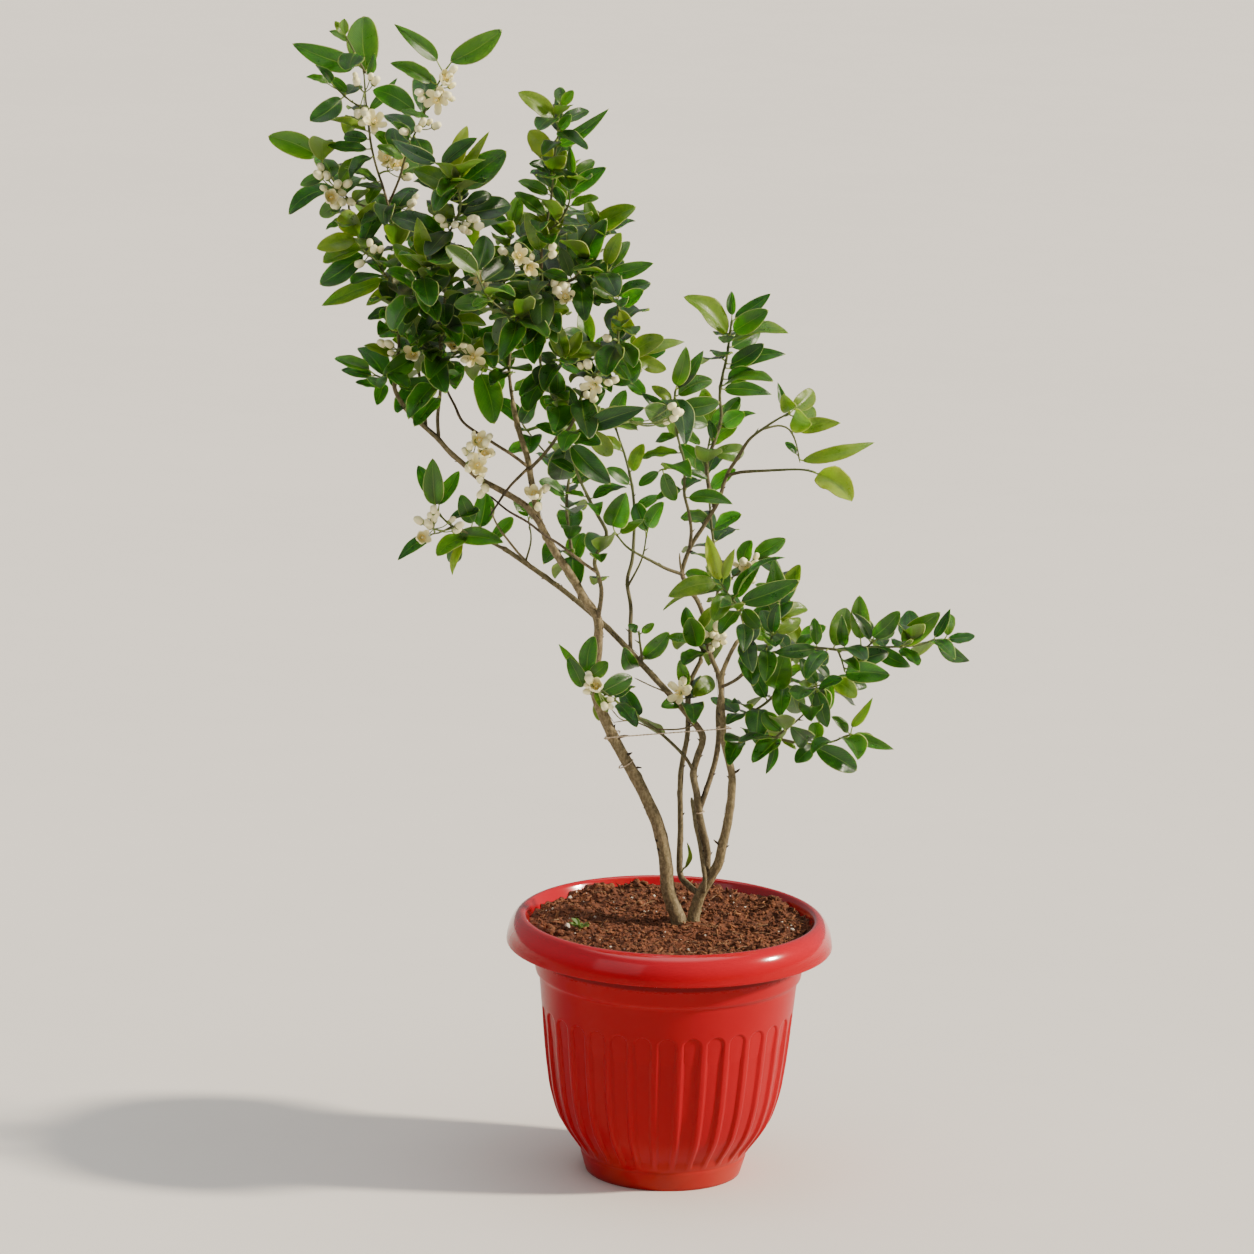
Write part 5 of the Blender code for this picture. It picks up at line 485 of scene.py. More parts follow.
POT_ROLL = [
    (0.1503, 0.2190), (0.1497, 0.2240), (0.1484, 0.2300), (0.1460, 0.2362), (0.1426, 0.2412),
    (0.1390, 0.2438), (0.1360, 0.2444), (0.1336, 0.2432), (0.1318, 0.2400),
]
POT_INSIDE = [
    (0.1290, 0.2340), (0.1262, 0.2280), (0.1240, 0.2180), (0.1196, 0.1980), (0.1150, 0.1560),
    (0.1106, 0.1230), (0.1040, 0.0770), (0.0972, 0.0550), (0.0900, 0.0420), (0.0802, 0.0285),
    (0.0722, 0.0190), (0.0690, 0.0060), (0.0664, 0.0034),
]
ROLL_STEP = 0.0014
INSIDE_STEP = 0.006
POT_RUNS = [                # the runs of the section in order, and the step between their rows
    (POT_FOOT, 0.003), (POT_BOWL, 0.0008), (POT_COLLAR, 0.003), (POT_NECK, 0.003), (POT_UNDER_RIM, 0.0016),
    (POT_HEM, 0.0003), (POT_ROLL, ROLL_STEP), (POT_INSIDE, INSIDE_STEP),
]
POT_FLOOR = (0.0012, 0.0033)
POT_FLOOR_RADIUS = 0.0668
DRAIN_HOLES = 6
DRAIN_RADIUS = 0.0055
DRAIN_CIRCLE = 0.045
DRILL_MARGIN = 0.002

SOIL_LEVEL = 0.2345         # at the middle
SOIL_TILT = 0.025           # rise of the soil towards the back
SOIL_SWELL = 0.0013
SWELL_WAVES = [(52.0, 0.7), (47.0, -0.4), (95.0, 0.0)]      # radians per metre and phase
HEAPS = [                   # place, height and spread of the heaps along the wall
    (-0.068, 0.102, 0.0050, 0.012), (-0.028, 0.114, 0.0022, 0.011), (0.099, 0.070, 0.0045, 0.012),
    (0.084, -0.078, 0.0030, 0.012), (-0.106, -0.040, 0.0030, 0.013), (0.018, -0.110, 0.0020, 0.012),
]
SOIL_LUMPS = [              # seed, height, radians per metre and count of crossed waves
    (6, 0.0015, (240.0, 640.0), 16), (7, 0.0005, (700.0, 1500.0), 12),
]
SOIL_WALL = [(0.1262, 0.2280), (0.1290, 0.2340), (0.1318, 0.2400), (0.1336, 0.2432)]
SOIL_RINGS = 92
SOIL_COLUMNS = 330
SOIL_BED = 0.2090           # height and radius of the hidden underside of the loose layer
SOIL_BED_RADIUS = 0.1196
SOIL_LAP = 0.0003           # how far the soil's edge goes into the wall
SOIL_EDGE = 0.127           # distance from the middle at which the soil's height at the wall is read
SCATTER_REACH = 0.126
ROUND_FORM = (1.0, 1.0, 0.7)
LUMP_FACES = [              # the corners of each of a lump's twenty sides
    (0, 11, 5), (0, 5, 1), (0, 1, 7), (0, 7, 10), (0, 10, 11), (1, 5, 9), (5, 11, 4), (11, 10, 2), (10, 7, 6),
    (7, 1, 8), (3, 9, 4), (3, 4, 2), (3, 2, 6), (3, 6, 8), (3, 8, 9), (4, 9, 5), (2, 4, 11), (6, 2, 10),
    (8, 6, 7), (9, 8, 1),
]
GRAIN_COUNT = 3000
GRAIN_SIZES = (0.0006, 0.0009, 0.0012, 0.0018)
LARGE_BITS = [              # perlite: place and radius
    (-0.094, -0.022, 0.0029), (-0.0935, 0.078, 0.0025), (-0.036, 0.080, 0.0022), (-0.015, 0.086, 0.0016),
    (0.113, -0.010, 0.0016), (-0.069, 0.009, 0.0014), (0.057, 0.088, 0.0013), (0.017, -0.077, 0.0012),
    (-0.054, -0.079, 0.0011), (0.070, 0.055, 0.0012),
]
PERLITE_COUNT = 70
CHIP_COUNT = 1800
CHIP_SIZES = (0.0010, 0.0014, 0.0019, 0.0026)
CHIP_FORM = (1.6, 0.42, 0.30)
CLODS_PER_RISE = 3000.0     # clods on a heap, for each metre of its height
CLOD_REACH = 0.121
STRAW_COUNT = 150

WEED_SPOT = (-0.083, -0.030)
WEED_ROOT = 0.003           # how deep the weed's stem goes into the soil
WEED_HEIGHT = 0.0075
WEED_RADIUS = 0.0009
WEED_LEAVES = 16
WEED_TURN = 2.4             # radians from one leaf of the weed to the next
THREAD_RADIUS = 0.0007
THREAD_SLACK = 0.0004
THREAD_STEPS = 12           # of a ring of thread
STRAND_TURN = 1.1           # radians that the strands turn from point to point

RING_LEFT = ((-5.75, 0.28, 41.3), 0.0066, -300.0, 300.0)    # middle in cm, radius, start and turn in degrees
RING_RIGHT = ((4.35, -0.33, 42.3), 0.0046, 0.0, 300.0)
RING_LOW = ((-4.45, 0.3, 38.6), 0.0062, -150.0, 300.0)
RING_FORK = ((2.42, 0.85, 34.2), 0.0036, -160.0, 330.0)
FORK_STATIONS = [(2.6, 0.8, 33.0), (2.4, 0.8, 34.5)]
SUCKER_ROOT = (0.85, 2.2, 28.2)
SUCKER_HEEL = (1.16, 1.6, 28.7)
SUCKER_LEAVES = [           # tip, width, upper side and tint
    ((1.35, 1.2, 31.3), 0.0066, (0.6, -0.7, 0.1), 0.75), ((1.55, 1.4, 29.7), 0.0036, (0.8, -0.5, 0.1), 0.55),
]
SEEDS = {"soil": 21, "wood": 33, "flowers": 44, "shoots": 55, "seedlings": 66}

FLOOR_REACH = 30.0
SUN_PLACE = (4.0, -0.35, 2.6)
SUN_COLOR = (1.0, 0.88, 0.70)
SUN_SPREAD = math.radians(5.0)
FILL_PLACE = (-2.4, -3.2, 2.0)
FILL_COLOR = (0.94, 0.97, 1.0)
FILL_SIZE = 2.6
LIGHT_AIM = Vector((0.0, 0.0, 0.5))
SURROUND_COLOR = (1.0, 0.985, 0.96, 1.0)
CEILING_EDGE = (0.80, 0.96)     # rise of a line of sight between which the surround turns to ceiling
CAMERA_PLACE = (-0.047, -5.575, 1.799)
VIEW_REACH = 200.0
FOCAL_LENGTH = 180.0        # mm
SENSOR_WIDTH = 36.0         # mm


# --- points and paths ---
def unit(vector):
    """The vector with a length of one."""
    return vector / max(np.linalg.norm(vector), 1e-12)


def square_to(vector, axis):
    """The direction of what is left of the vector at right angles to the axis."""
    return unit(vector - axis * np.dot(vector, axis))


def around(angle, first, second):
    """The direction at that angle from the first of two square directions towards the second."""
    return math.cos(angle) * first + math.sin(angle) * second


def turns(count):
    """Evenly spaced angles, once round."""
    return 2.0 * math.pi * np.arange(count) / count


def travelled(path):
    """How far along the path each of its points lies."""
    return np.concatenate([[0.0], np.cumsum(np.linalg.norm(np.diff(path, axis=0), axis=1))])


def seat(station):
    """Turns a station in cm into a point in metres, hung lower the further back it lies."""
    x, y, z = station
    return np.array((x, y, z - CROWN_DROOP * y)) * CM


def smooth_path(points, spacing):
    """Evenly spaced points on a smooth curve through the given ones."""
    knots = np.array(points, float)
    ends = [2.0 * knots[0] - knots[1], *knots, 2.0 * knots[-1] - knots[-2]]
    curve = []
    for before, start, end, after in zip(ends, ends[1:], ends[2:], ends[3:]):
        pull_start = 0.5 * (end - before)
        pull_end = 0.5 * (after - start)
        for share in np.linspace(0.0, 1.0, CURVE_STEPS, endpoint=False):
            square = share * share
            cube = square * share
            curve.append(
                (2.0 * cube - 3.0 * square + 1.0) * start + (cube - 2.0 * square + share) * pull_start
                + (3.0 * square - 2.0 * cube) * end + (cube - square) * pull_end
            )
    curve = np.array(curve + [knots[-1]])
    places = travelled(curve)
    wanted = np.linspace(0.0, places[-1], max(int(places[-1] / spacing), 2) + 1)
    return np.stack([np.interp(wanted, places, curve[:, axis]) for axis in range(knots.shape[1])], axis=1)


def limb_path(stations, spacing):
    """Evenly spaced points in metres along a limb's stations."""
    return smooth_path([seat(station) for station in stations], spacing)


def skin(grid):
    """Four-sided faces between the neighbouring rows and columns of a grid of point numbers."""
    corners = (grid[:-1, :-1], grid[:-1, 1:], grid[1:, 1:], grid[1:, :-1])
    return np.stack(corners, axis=2).reshape(-1, 4).tolist()


def fan(edge, point):
    """Three-sided faces between a row of point numbers and one point."""
    return [(first, second, point) for first, second in zip(edge, edge[1:])]


def ring_grid(rings, sides):
    """Numbers of the points of rings laid one after another. The first column comes again as the last."""
    grid = np.arange(rings * sides).reshape(rings, sides)
    return np.hstack([grid, grid[:, :1]])


def closed_rings(rings, sides):
    """The faces of a row of rings that is closed at both ends."""
    last = (rings - 1) * sides
    return skin(ring_grid(rings, sides)) + [tuple(reversed(range(sides))), tuple(range(last, last + sides))]


def tube(path, radii, sides):
    """Points and faces of a closed tube. radii has a number for every ring, or for every ring and side."""
    radii = np.asarray(radii, float)
    if radii.ndim == 1:
        radii = np.repeat(radii[:, None], sides, axis=1)
    tangents = np.gradient(path, axis=0)
    angles = turns(sides)[:, None]
    side = unit(np.cross(tangents[0], (0.31, 0.87, 0.39)))
    points = []
    for point, tangent, ring in zip(path, tangents, radii):
        along = unit(tangent)
        side = square_to(side, along)
        across = np.cross(along, side)
        points.append(point + ring[:, None] * (np.cos(angles) * side + np.sin(angles) * across))
    return np.concatenate(points), closed_rings(len(path), sides)


def taper(count, thick):
    """Radii in metres for count rings, between two thicknesses in mm."""
    return np.linspace(0.5 * MM * thick[0], 0.5 * MM * thick[1], count)


def knobbly(path, radii, sides, roughness, knots):
    """Radii of a living limb: shallow ridges, and a knuckle at each knot (place, angle, height, spread)."""
    rings = np.repeat(np.asarray(radii, float)[:, None], sides, axis=1)
    angles = turns(sides)
    for ring, (x, y, z) in enumerate(np.asarray(path) * RIDGE_RATE):
        for step, angle in enumerate(angles):
            place = Vector((x + RIDGE_REACH * math.cos(angle), y + RIDGE_REACH * math.sin(angle), z))
            rings[ring, step] *= 1.0 + roughness * noise.noise(place)
    places = travelled(path)
    for place, angle, height, spread in knots:
        along = np.exp(-((places - place) / spread) ** 2)
        facing = 0.25 + 0.75 * np.maximum(np.cos(angles - angle), 0.0) ** 2
        rings += height * along[:, None] * facing[None, :]
    return rings


class Shape:
    """Gathers the parts of one piece. Every point has a mark, its place on a leaf, and a tint."""

    def __init__(self):
        self.points = []
        self.marks = []
        self.tints = []
        self.faces = []
        self.count = 0

    def add(self, points, faces, mark=(0.0, 0.0, 0.5), tint=0.0):
        """Adds one closed part."""
        points = np.asarray(points, float)
        base = self.count
        self.points.append(points)
        self.marks.append(np.broadcast_to(np.asarray(mark, float), points.shape))
        self.tints.append(np.broadcast_to(np.asarray(tint, float), (len(points),)))
        self.faces += [tuple(base + corner for corner in face) for face in faces]
        self.count += len(points)

    def add_tube(self, path, radii, sides, mark=(0.0, 0.0, 0.5), tint=0.0):
        """Adds one closed tube."""
        points, faces = tube(path, radii, sides)
        self.add(points, faces, mark, tint)


def make_piece(name, shape, material, nodes=()):
    """Turns a shape into a mesh object that rides on the frame and stands for its CAD nodes."""
    mesh = bpy.data.meshes.new(name)
    mesh.from_pydata(np.concatenate(shape.points).tolist(), [], shape.faces)
    mesh.validate()
    mark = mesh.attributes.new("mark", "FLOAT_VECTOR", "POINT")
    mark.data.foreach_set("vector", np.concatenate(shape.marks).astype(np.float32).ravel())
    tint = mesh.attributes.new("tint", "FLOAT", "POINT")
    tint.data.foreach_set("value", np.concatenate(shape.tints).astype(np.float32))
    mesh.polygons.foreach_set("use_smooth", [True] * len(mesh.polygons))
    mesh.materials.append(material)
    piece = bpy.data.objects.new(name, mesh)
    bpy.context.scene.collection.objects.link(piece)
    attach(piece, "root")
    if nodes:
        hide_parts(*nodes)
    return piece


# --- materials ---
class Graph:
    """Lays shader nodes in one tree and joins them."""

    def __init__(self, tree):
        self.tree = tree

    def node(self, kind, inputs=None, **settings):
        """Adds a node. An input is a socket to join to it or a plain value to set."""
        made = self.tree.nodes.new(kind)
        for name, value in settings.items():
            setattr(made, name, value)
        for key, value in (inputs or {}).items():
            self.give(made.inputs[key], value)
        return made

    def join(self, output, socket):
        """Joins an output to a socket."""
        self.tree.links.new(output, socket)

    def give(self, socket, value):
        """Joins a socket to value, or sets it to value."""
        if isinstance(value, bpy.types.NodeSocket):
            self.join(value, socket)
        elif socket.type == "RGBA":
            socket.default_value = (*value[:3], 1.0)
        else:
            socket.default_value = value

    def attribute(self, name, output="Fac"):
        """What the points of a piece carry under that name."""
        return self.node("ShaderNodeAttribute", attribute_name=name).outputs[output]

    def axes(self, vector):
        """The three parts of a vector."""
        return self.node("ShaderNodeSeparateXYZ", {0: vector}).outputs

    def math(self, operation, first, second=0.0, third=0.0):
        """One step of arithmetic."""
        return self.node("ShaderNodeMath", {0: first, 1: second, 2: third}, operation=operation).outputs[0]

    def times(self, first, second, plus=None):
        """A product, to which something can be added."""
        if plus is None:
            return self.math("MULTIPLY", first, second)
        return self.math("MULTIPLY_ADD", first, second, plus)

    def span(self, value, low, high, to_low=0.0, to_high=1.0):
        """Maps value smoothly from one range to another and holds it at the ends."""
        inputs = {"Value": value, "From Min": low, "From Max": high, "To Min": to_low, "To Max": to_high}
        return self.node("ShaderNodeMapRange", inputs, interpolation_type="SMOOTHSTEP").outputs["Result"]

    def blend(self, share, first, second):
        """Mixes two colours."""
        inputs = {0: share, 6: first, 7: second}
        return self.node("ShaderNodeMix", inputs, data_type="RGBA").outputs[2]

    def tinge(self, mask, share, first, second):
        """Mixes a share of the second colour into the first where the mask is one."""
        return self.blend(self.times(mask, share), first, second)

    def ramp(self, value, stops):
        """Colours along a value, from (place, colour) pairs."""
        made = self.node("ShaderNodeValToRGB", {"Fac": value})
        elements = made.color_ramp.elements
        elements[-1].position = stops[-1][0]
        for place, _ in stops[1:-1]:
            elements.new(place)
        for element, (_, color) in zip(elements, stops):
            element.color = (*color, 1.0)
        return made.outputs["Color"]

    def group(self, tree, *values):
        """Places a node group, with values in the order of its sockets, and returns its outputs."""
        return self.node("ShaderNodeGroup", dict(enumerate(values)), node_tree=tree).outputs


def shared_group(name, inputs, outputs, lay_out):
    """The node group of that name, which lay_out fills with nodes when it is first asked for."""
    if name in bpy.data.node_groups:
        return bpy.data.node_groups[name]
    tree = bpy.data.node_groups.new(name, "ShaderNodeTree")
    for label in inputs:
        kind = "NodeSocketVector" if label in ("Place", "Mark") else "NodeSocketFloat"
        tree.interface.new_socket(name=label, in_out="INPUT", socket_type=kind)
    for label in outputs:
        tree.interface.new_socket(name=label, in_out="OUTPUT", socket_type="NodeSocketFloat")
    graph = Graph(tree)
    results = lay_out(graph, *graph.node("NodeGroupInput").outputs[:len(inputs)])
    for output, socket in zip(results, graph.node("NodeGroupOutput").inputs):
        graph.join(output, socket)
    return tree


def noise_at(graph, place, scale, detail, roughness=0.5):
    """Noise of one scale."""
    inputs = {"Vector": place, "Scale": scale, "Detail": detail, "Roughness": roughness}
    return graph.node("ShaderNodeTexNoise", inputs).outputs[0]


def lay_out_mottle(graph, place, scale, fine_share):
    """Broad and fine blotches: a mask from 0 to 1, and a height for a bump."""
    broad = noise_at(graph, place, scale, 3.0)
    fine = noise_at(graph, place, graph.times(scale, 7.3), 4.0)
    height = graph.times(broad, graph.math("SUBTRACT", 1.0, fine_share), graph.times(fine, fine_share))
    return graph.span(height, 0.32, 0.68), height


def lay_out_streaks(graph, place, scale, stretch):
    """Long streaks along Z, as in bark and drawn fibre: a mask and a height."""
    parts = graph.axes(place)
    length = graph.math("DIVIDE", parts[2], stretch)
    drawn = graph.node("ShaderNodeCombineXYZ", {0: parts[0], 1: parts[1], 2: length}).outputs[0]
    height = noise_at(graph, drawn, scale, 5.0, 0.62)
    return graph.span(height, 0.36, 0.64), height


def lay_out_veins(graph, mark, count):
    """The veins of a blade, from its marks: share of the length, share of the half width, and side."""
    parts = graph.axes(mark)
    across = graph.math("ABSOLUTE", parts[1])
    width = graph.times(parts[0], -0.045, 0.060)
    midrib = graph.span(graph.math("DIVIDE", across, width), 0.55, 1.0, 1.0, 0.0)
    wave = graph.math("FRACT", graph.times(graph.times(across, -0.30, parts[0]), count))
    off_vein = graph.math("ABSOLUTE", graph.math("SUBTRACT", wave, 0.5))
    lateral = graph.times(graph.span(off_vein, 0.03, 0.16, 1.0, 0.0), graph.span(across, 0.80, 1.0, 1.0, 0.0))
    swell = graph.math("SINE", graph.times(off_vein, 6.2))
    return midrib, lateral, graph.math("SUBTRACT", swell, graph.times(midrib, 2.0))


def mottle_group():
    """The shared group of blotches."""
    return shared_group("Mottle", ["Place", "Scale", "Fine Share"], ["Mask", "Height"], lay_out_mottle)


def streak_group():
    """The shared group of streaks."""
    return shared_group("Streaks", ["Place", "Scale", "Stretch"], ["Mask", "Height"], lay_out_streaks)


def vein_group():
    """The shared group of leaf veins."""
    return shared_group("Veins", ["Mark", "Count"], ["Midrib", "Laterals", "Height"], lay_out_veins)


def start_material(name):
    """A new node material: its graph, its Principled shader and the place on the piece."""
    material = bpy.data.materials.new(name)
    material.use_nodes = True
    graph = Graph(material.node_tree)
    shader = next(node for node in material.node_tree.nodes if node.type == "BSDF_PRINCIPLED")
    place = graph.node("ShaderNodeTexCoord").outputs["Object"]
    return material, graph, shader, place


def wire(graph, shader, color, roughness, height=None, bump=0.0, relief=0.001):
    """Joins the painted colour, roughness and bump to the shader."""
    graph.join(color, shader.inputs["Base Color"])
    graph.join(roughness, shader.inputs["Roughness"])
    if height is not None:
        bumped = graph.node("ShaderNodeBump", {"Height": height, "Strength": bump, "Distance": relief})
        graph.join(bumped.outputs[0], shader.inputs["Normal"])


def set_shader(shader, **values):
    """Sets plain values on the shader's own sockets."""
    for name, value in values.items():
        shader.inputs[name.replace("_", " ").title().replace("Ior ", "IOR ")].default_value = value


def blade_material(name, dark, mid, young, under, rib, edge, glow, gloss):
    """A leaf: tinted from dark to young, paler below and on its ribs, with its veins raised."""
    material, graph, shader, place = start_material(name)
    mark = graph.attribute("mark", "Vector")
    side = graph.axes(mark)[2]
    veins = graph.group(vein_group(), mark, VEIN_COUNT)
    mottle = graph.group(mottle_group(), place, 75.0, 0.35)
    shade = graph.times(graph.math("SUBTRACT", mottle["Mask"], 0.5), 0.16, graph.attribute("tint"))
    upper = graph.ramp(shade, [(0.0, dark), (0.45, mid), (1.0, young)])
    upper = graph.tinge(veins["Laterals"], 0.07, upper, rib)
    upper = graph.tinge(veins["Midrib"], 0.60, upper, rib)
    is_upper = graph.span(side, 0.55, 0.95)
    is_edge = graph.math("SUBTRACT", 1.0, graph.math("ABSOLUTE", graph.times(side, 2.0, -1.0)))
    color = graph.blend(is_upper, graph.blend(0.62, upper, under), upper)
    color = graph.tinge(graph.span(is_edge, 0.1, 0.8), 0.55, color, edge)
    roughness = graph.times(mottle["Mask"], 0.08, graph.span(is_upper, 0.0, 1.0, 0.58, gloss))
    wire(graph, shader, color, roughness, graph.times(mottle["Height"], 0.9, veins["Height"]), 0.22, 0.0004)
    set_shader(shader, subsurface_weight=glow, subsurface_radius=(0.0022, 0.0042, 0.0006),
               subsurface_scale=1.0, specular_ior_level=0.36)
    return material


def bark_material(name, lit, deep, green):
    """Bark with streaks, pale breathing spots and, where it is tinted, a green skin."""
    material, graph, shader, place = start_material(name)
    tint = graph.attribute("tint")
    streaks = graph.group(streak_group(), place, 420.0, 1.9)
    rings = graph.group(streak_group(), place, 240.0, 0.22)
    mottle = graph.group(mottle_group(), place, 60.0, 0.45)
    spots = graph.node("ShaderNodeTexVoronoi", {"Vector": place, "Scale": 330.0})
    speck = graph.span(spots.outputs["Distance"], 0.12, 0.26, 1.0, 0.0)
    color = graph.blend(streaks["Mask"], deep, lit)
    color = graph.tinge(mottle["Mask"], 0.40, color, (0.165, 0.135, 0.060))
    color = graph.tinge(rings["Mask"], 0.28, color, deep)
    color = graph.tinge(speck, 0.30, color, (0.40, 0.32, 0.20))
    color = graph.blend(tint, color, green)
    color = graph.blend(graph.span(tint, -0.8, -0.1, 1.0, 0.0), color, (0.020, 0.011, 0.007))
    height = graph.times(rings["Height"], 0.5, graph.times(speck, 0.3, streaks["Height"]))
    wire(graph, shader, color, graph.span(streaks["Mask"], 0.0, 1.0, 0.86, 0.68), height, 0.7, 0.0009)
    return material


def flower_material(cream, blush, calyx, anther):
    """Buds and blossoms: tint 0 is stalk and calyx, one half is petal, and 1 is anther."""
    material, graph, shader, place = start_material("lemon blossom")
    tint = graph.attribute("tint")
    share = graph.axes(graph.attribute("mark", "Vector"))[0]
    mottle = graph.group(mottle_group(), place, 160.0, 0.5)
    petal = graph.blend(graph.span(share, 0.0, 0.45, 0.70, 0.0), cream, PETAL_CREAM)
    petal = graph.tinge(mottle["Mask"], 0.07, petal, blush)
    green = graph.blend(mottle["Mask"], calyx, (0.26, 0.34, 0.08))
    color = graph.blend(graph.span(tint, 0.18, 0.32), green, petal)
    color = graph.blend(graph.span(tint, 0.68, 0.82), color, anther)
    roughness = graph.span(mottle["Mask"], 0.0, 1.0, 0.42, 0.56)
    wire(graph, shader, color, roughness, mottle["Height"], 0.25, 0.0004)
    set_shader(shader, subsurface_weight=0.3, subsurface_radius=(0.0014, 0.0012, 0.0007),
               subsurface_scale=1.0)
    return material


def plastic_material(color, gloss):
    """Moulded plastic: polished on the rim, where its colour turns paler with painted sheen, dull and
    darkened with painted shade under the rim, darker with painted shade in the flute recesses, and with dust
    low down.
    """
    material, graph, shader, place = start_material("red moulded plastic")
    mottle = graph.group(mottle_group(), place, 12.0, 0.12)
    scuffs = graph.group(streak_group(), place, 190.0, 0.35)
    height = graph.axes(place)[2]
    tint = graph.attribute("tint")
    deep = tuple(0.8 * channel for channel in color)
    shaded = tuple(0.3 * channel for channel in color)
    dust = graph.times(graph.span(height, 0.0, 0.05, 0.35, 0.0), mottle["Mask"])
    polish_and_sheen = graph.times(graph.span(height, *POLISH_HEIGHTS, 0.05, 1.0), graph.span(tint, -0.9, -0.1))
    painted = graph.tinge(mottle["Mask"], 0.4, color, deep)
    # Painted shade: the flute recesses are darker the deeper they are sunk.
    painted = graph.tinge(tint, 0.28, painted, deep)
    # Painted shade: the wall is darker under the rim, where the tint is -1.
    painted = graph.blend(graph.span(tint, -1.0, -0.1, 0.75, 0.0), painted, shaded)
    painted = graph.tinge(dust, 0.5, painted, (0.50, 0.20, 0.10))
    # Painted sheen: the rim's colour turns paler and pinker where it is polished.
    painted = graph.tinge(polish_and_sheen, 0.32, painted, (0.60, 0.002, 0.024))
    roughness = graph.span(graph.span(height, 0.19, 0.225), 0.0, 1.0, gloss + 0.16, gloss)
    roughness = graph.times(dust, 0.4, graph.times(scuffs["Mask"], 0.03, roughness))
    wire(graph, shader, painted, roughness, mottle["Height"], 0.06, 0.0004)
    graph.join(polish_and_sheen, shader.inputs["Coat Weight"])
    set_shader(shader, specular_ior_level=0.10, coat_roughness=0.11)
    return material


def earth_material(name, dark, light, scale):
    """Soil, clods and stones: grains of two shades, rough all over."""
    material, graph, shader, place = start_material(name)
    mottle = graph.group(mottle_group(), place, scale, 0.55)
    color = graph.blend(mottle["Mask"], dark, light)
    color = graph.blend(graph.attribute("tint"), color, (0.36, 0.15, 0.060))
    roughness = graph.span(mottle["Mask"], 0.0, 1.0, 0.98, 0.86)
    wire(graph, shader, color, roughness, mottle["Height"], 0.8, 0.0016)
    return material


def fibre_material(name, color, shade):
    """Twisted fibre or dry straw, streaked along its length."""
    material, graph, shader, place = start_material(name)
    streaks = graph.group(streak_group(), place, 700.0, 2.0)
    roughness = graph.span(streaks["Mask"], 0.0, 1.0, 0.9, 0.7)
    wire(graph, shader, graph.blend(streaks["Mask"], shade, color), roughness, streaks["Height"], 0.5, 0.0003)
    return material


def floor_material(color):
    """The pale studio floor, with the faintest unevenness."""
    material, graph, shader, place = start_material("studio floor")
    mottle = graph.group(mottle_group(), place, 1.4, 0.3)
    painted = graph.blend(mottle["Mask"], color, tuple(0.96 * channel for channel in color))
    wire(graph, shader, painted, graph.span(mottle["Mask"], 0.0, 1.0, 0.8, 0.9))
    return material


# --- wood ---
def random_knots(length, spacing, height, dice):
    """Knuckles along a limb, at uneven steps and turned about it."""
    knots = []
    place = spacing * dice.uniform(0.4, 1.0)
    angle = dice.uniform(0.0, 2.0 * math.pi)
    while place < length:
        knots.append((place, angle, height * dice.uniform(0.5, 1.3), dice.uniform(0.0018, 0.0036)))
        place += spacing * dice.uniform(0.6, 1.5)
        angle += 2.4 + dice.uniform(-0.4, 0.4)
    return knots


def path_length(path):
    """Length of a path of points."""
    return float(np.sum(np.linalg.norm(np.diff(path, axis=0), axis=1)))


def add_limb(shape, stations, thick, dice, greenness):
    """A stem: knobbly, flared where it leaves the soil, and rounded off at its far end."""
    path = limb_path(stations, LIMB_STEP)
    radii = taper(len(path), thick)
    over_soil = np.maximum(path[:, 2] - SOIL_LEVEL, 0.0)
    radii = radii * (1.0 + ROOT_FLARE * np.exp(-over_soil / FLARE_HEIGHT))
    knots = random_knots(path_length(path), KNOT_SPACING, KNOT_HEIGHT * float(np.mean(radii)), dice)
    rings = knobbly(path, radii, STEM_SIDES, BARK_RIDGES, knots)
    rings[-1] *= LIMB_END
    shape.add_tube(path, rings, STEM_SIDES, tint=np.repeat(np.linspace(*greenness, len(path)), STEM_SIDES))


def add_thorn(shape, foot, direction, length, radius, tint):
    """A tapered thorn or a short dead spur."""
    path = foot + np.array([-0.3 * radius, 0.4 * length, length])[:, None] * direction
    path[2, 2] += 0.08 * length
    ends = [radius * part for part in THORN_TAPER]
    # The path of a stout thorn has one point more than THORN_RINGS, and then thin faces run on from its
    # tip to the next thorn on the limb.
    shape.add_tube(smooth_path(path, 0.3 * length), taper(THORN_RINGS, ends), THORN_SIDES, tint=tint)


def add_thorns(shape, stations, thick, kind, dice):
    """Thorns that lean up and away from a limb, at uneven steps along it, mostly towards its sides."""
    spacing, reach, stoutness, spread, tint = THORNS[kind]
    path = limb_path(stations, LIMB_STEP)
    radii = taper(len(path), thick)
    place = spacing * dice.uniform(0.3, 1.0)
    while place < path_length(path) * 0.92:
        index = min(int(place / LIMB_STEP), len(path) - 2)
        along = unit(path[index + 1] - path[index])
        spin = dice.choice((0.0, 0.0, math.pi)) + dice.uniform(-spread, spread)
        outward = square_to(np.array((math.cos(spin), math.sin(spin), 0.0)), along)
        foot = path[index] + (radii[index] - 0.0004) * outward
        length = reach * dice.uniform(0.6, 1.2)
        add_thorn(shape, foot, unit(outward + 0.75 * along), length, stoutness * length + 0.0003, tint)
        place += spacing * dice.uniform(0.6, 1.6)


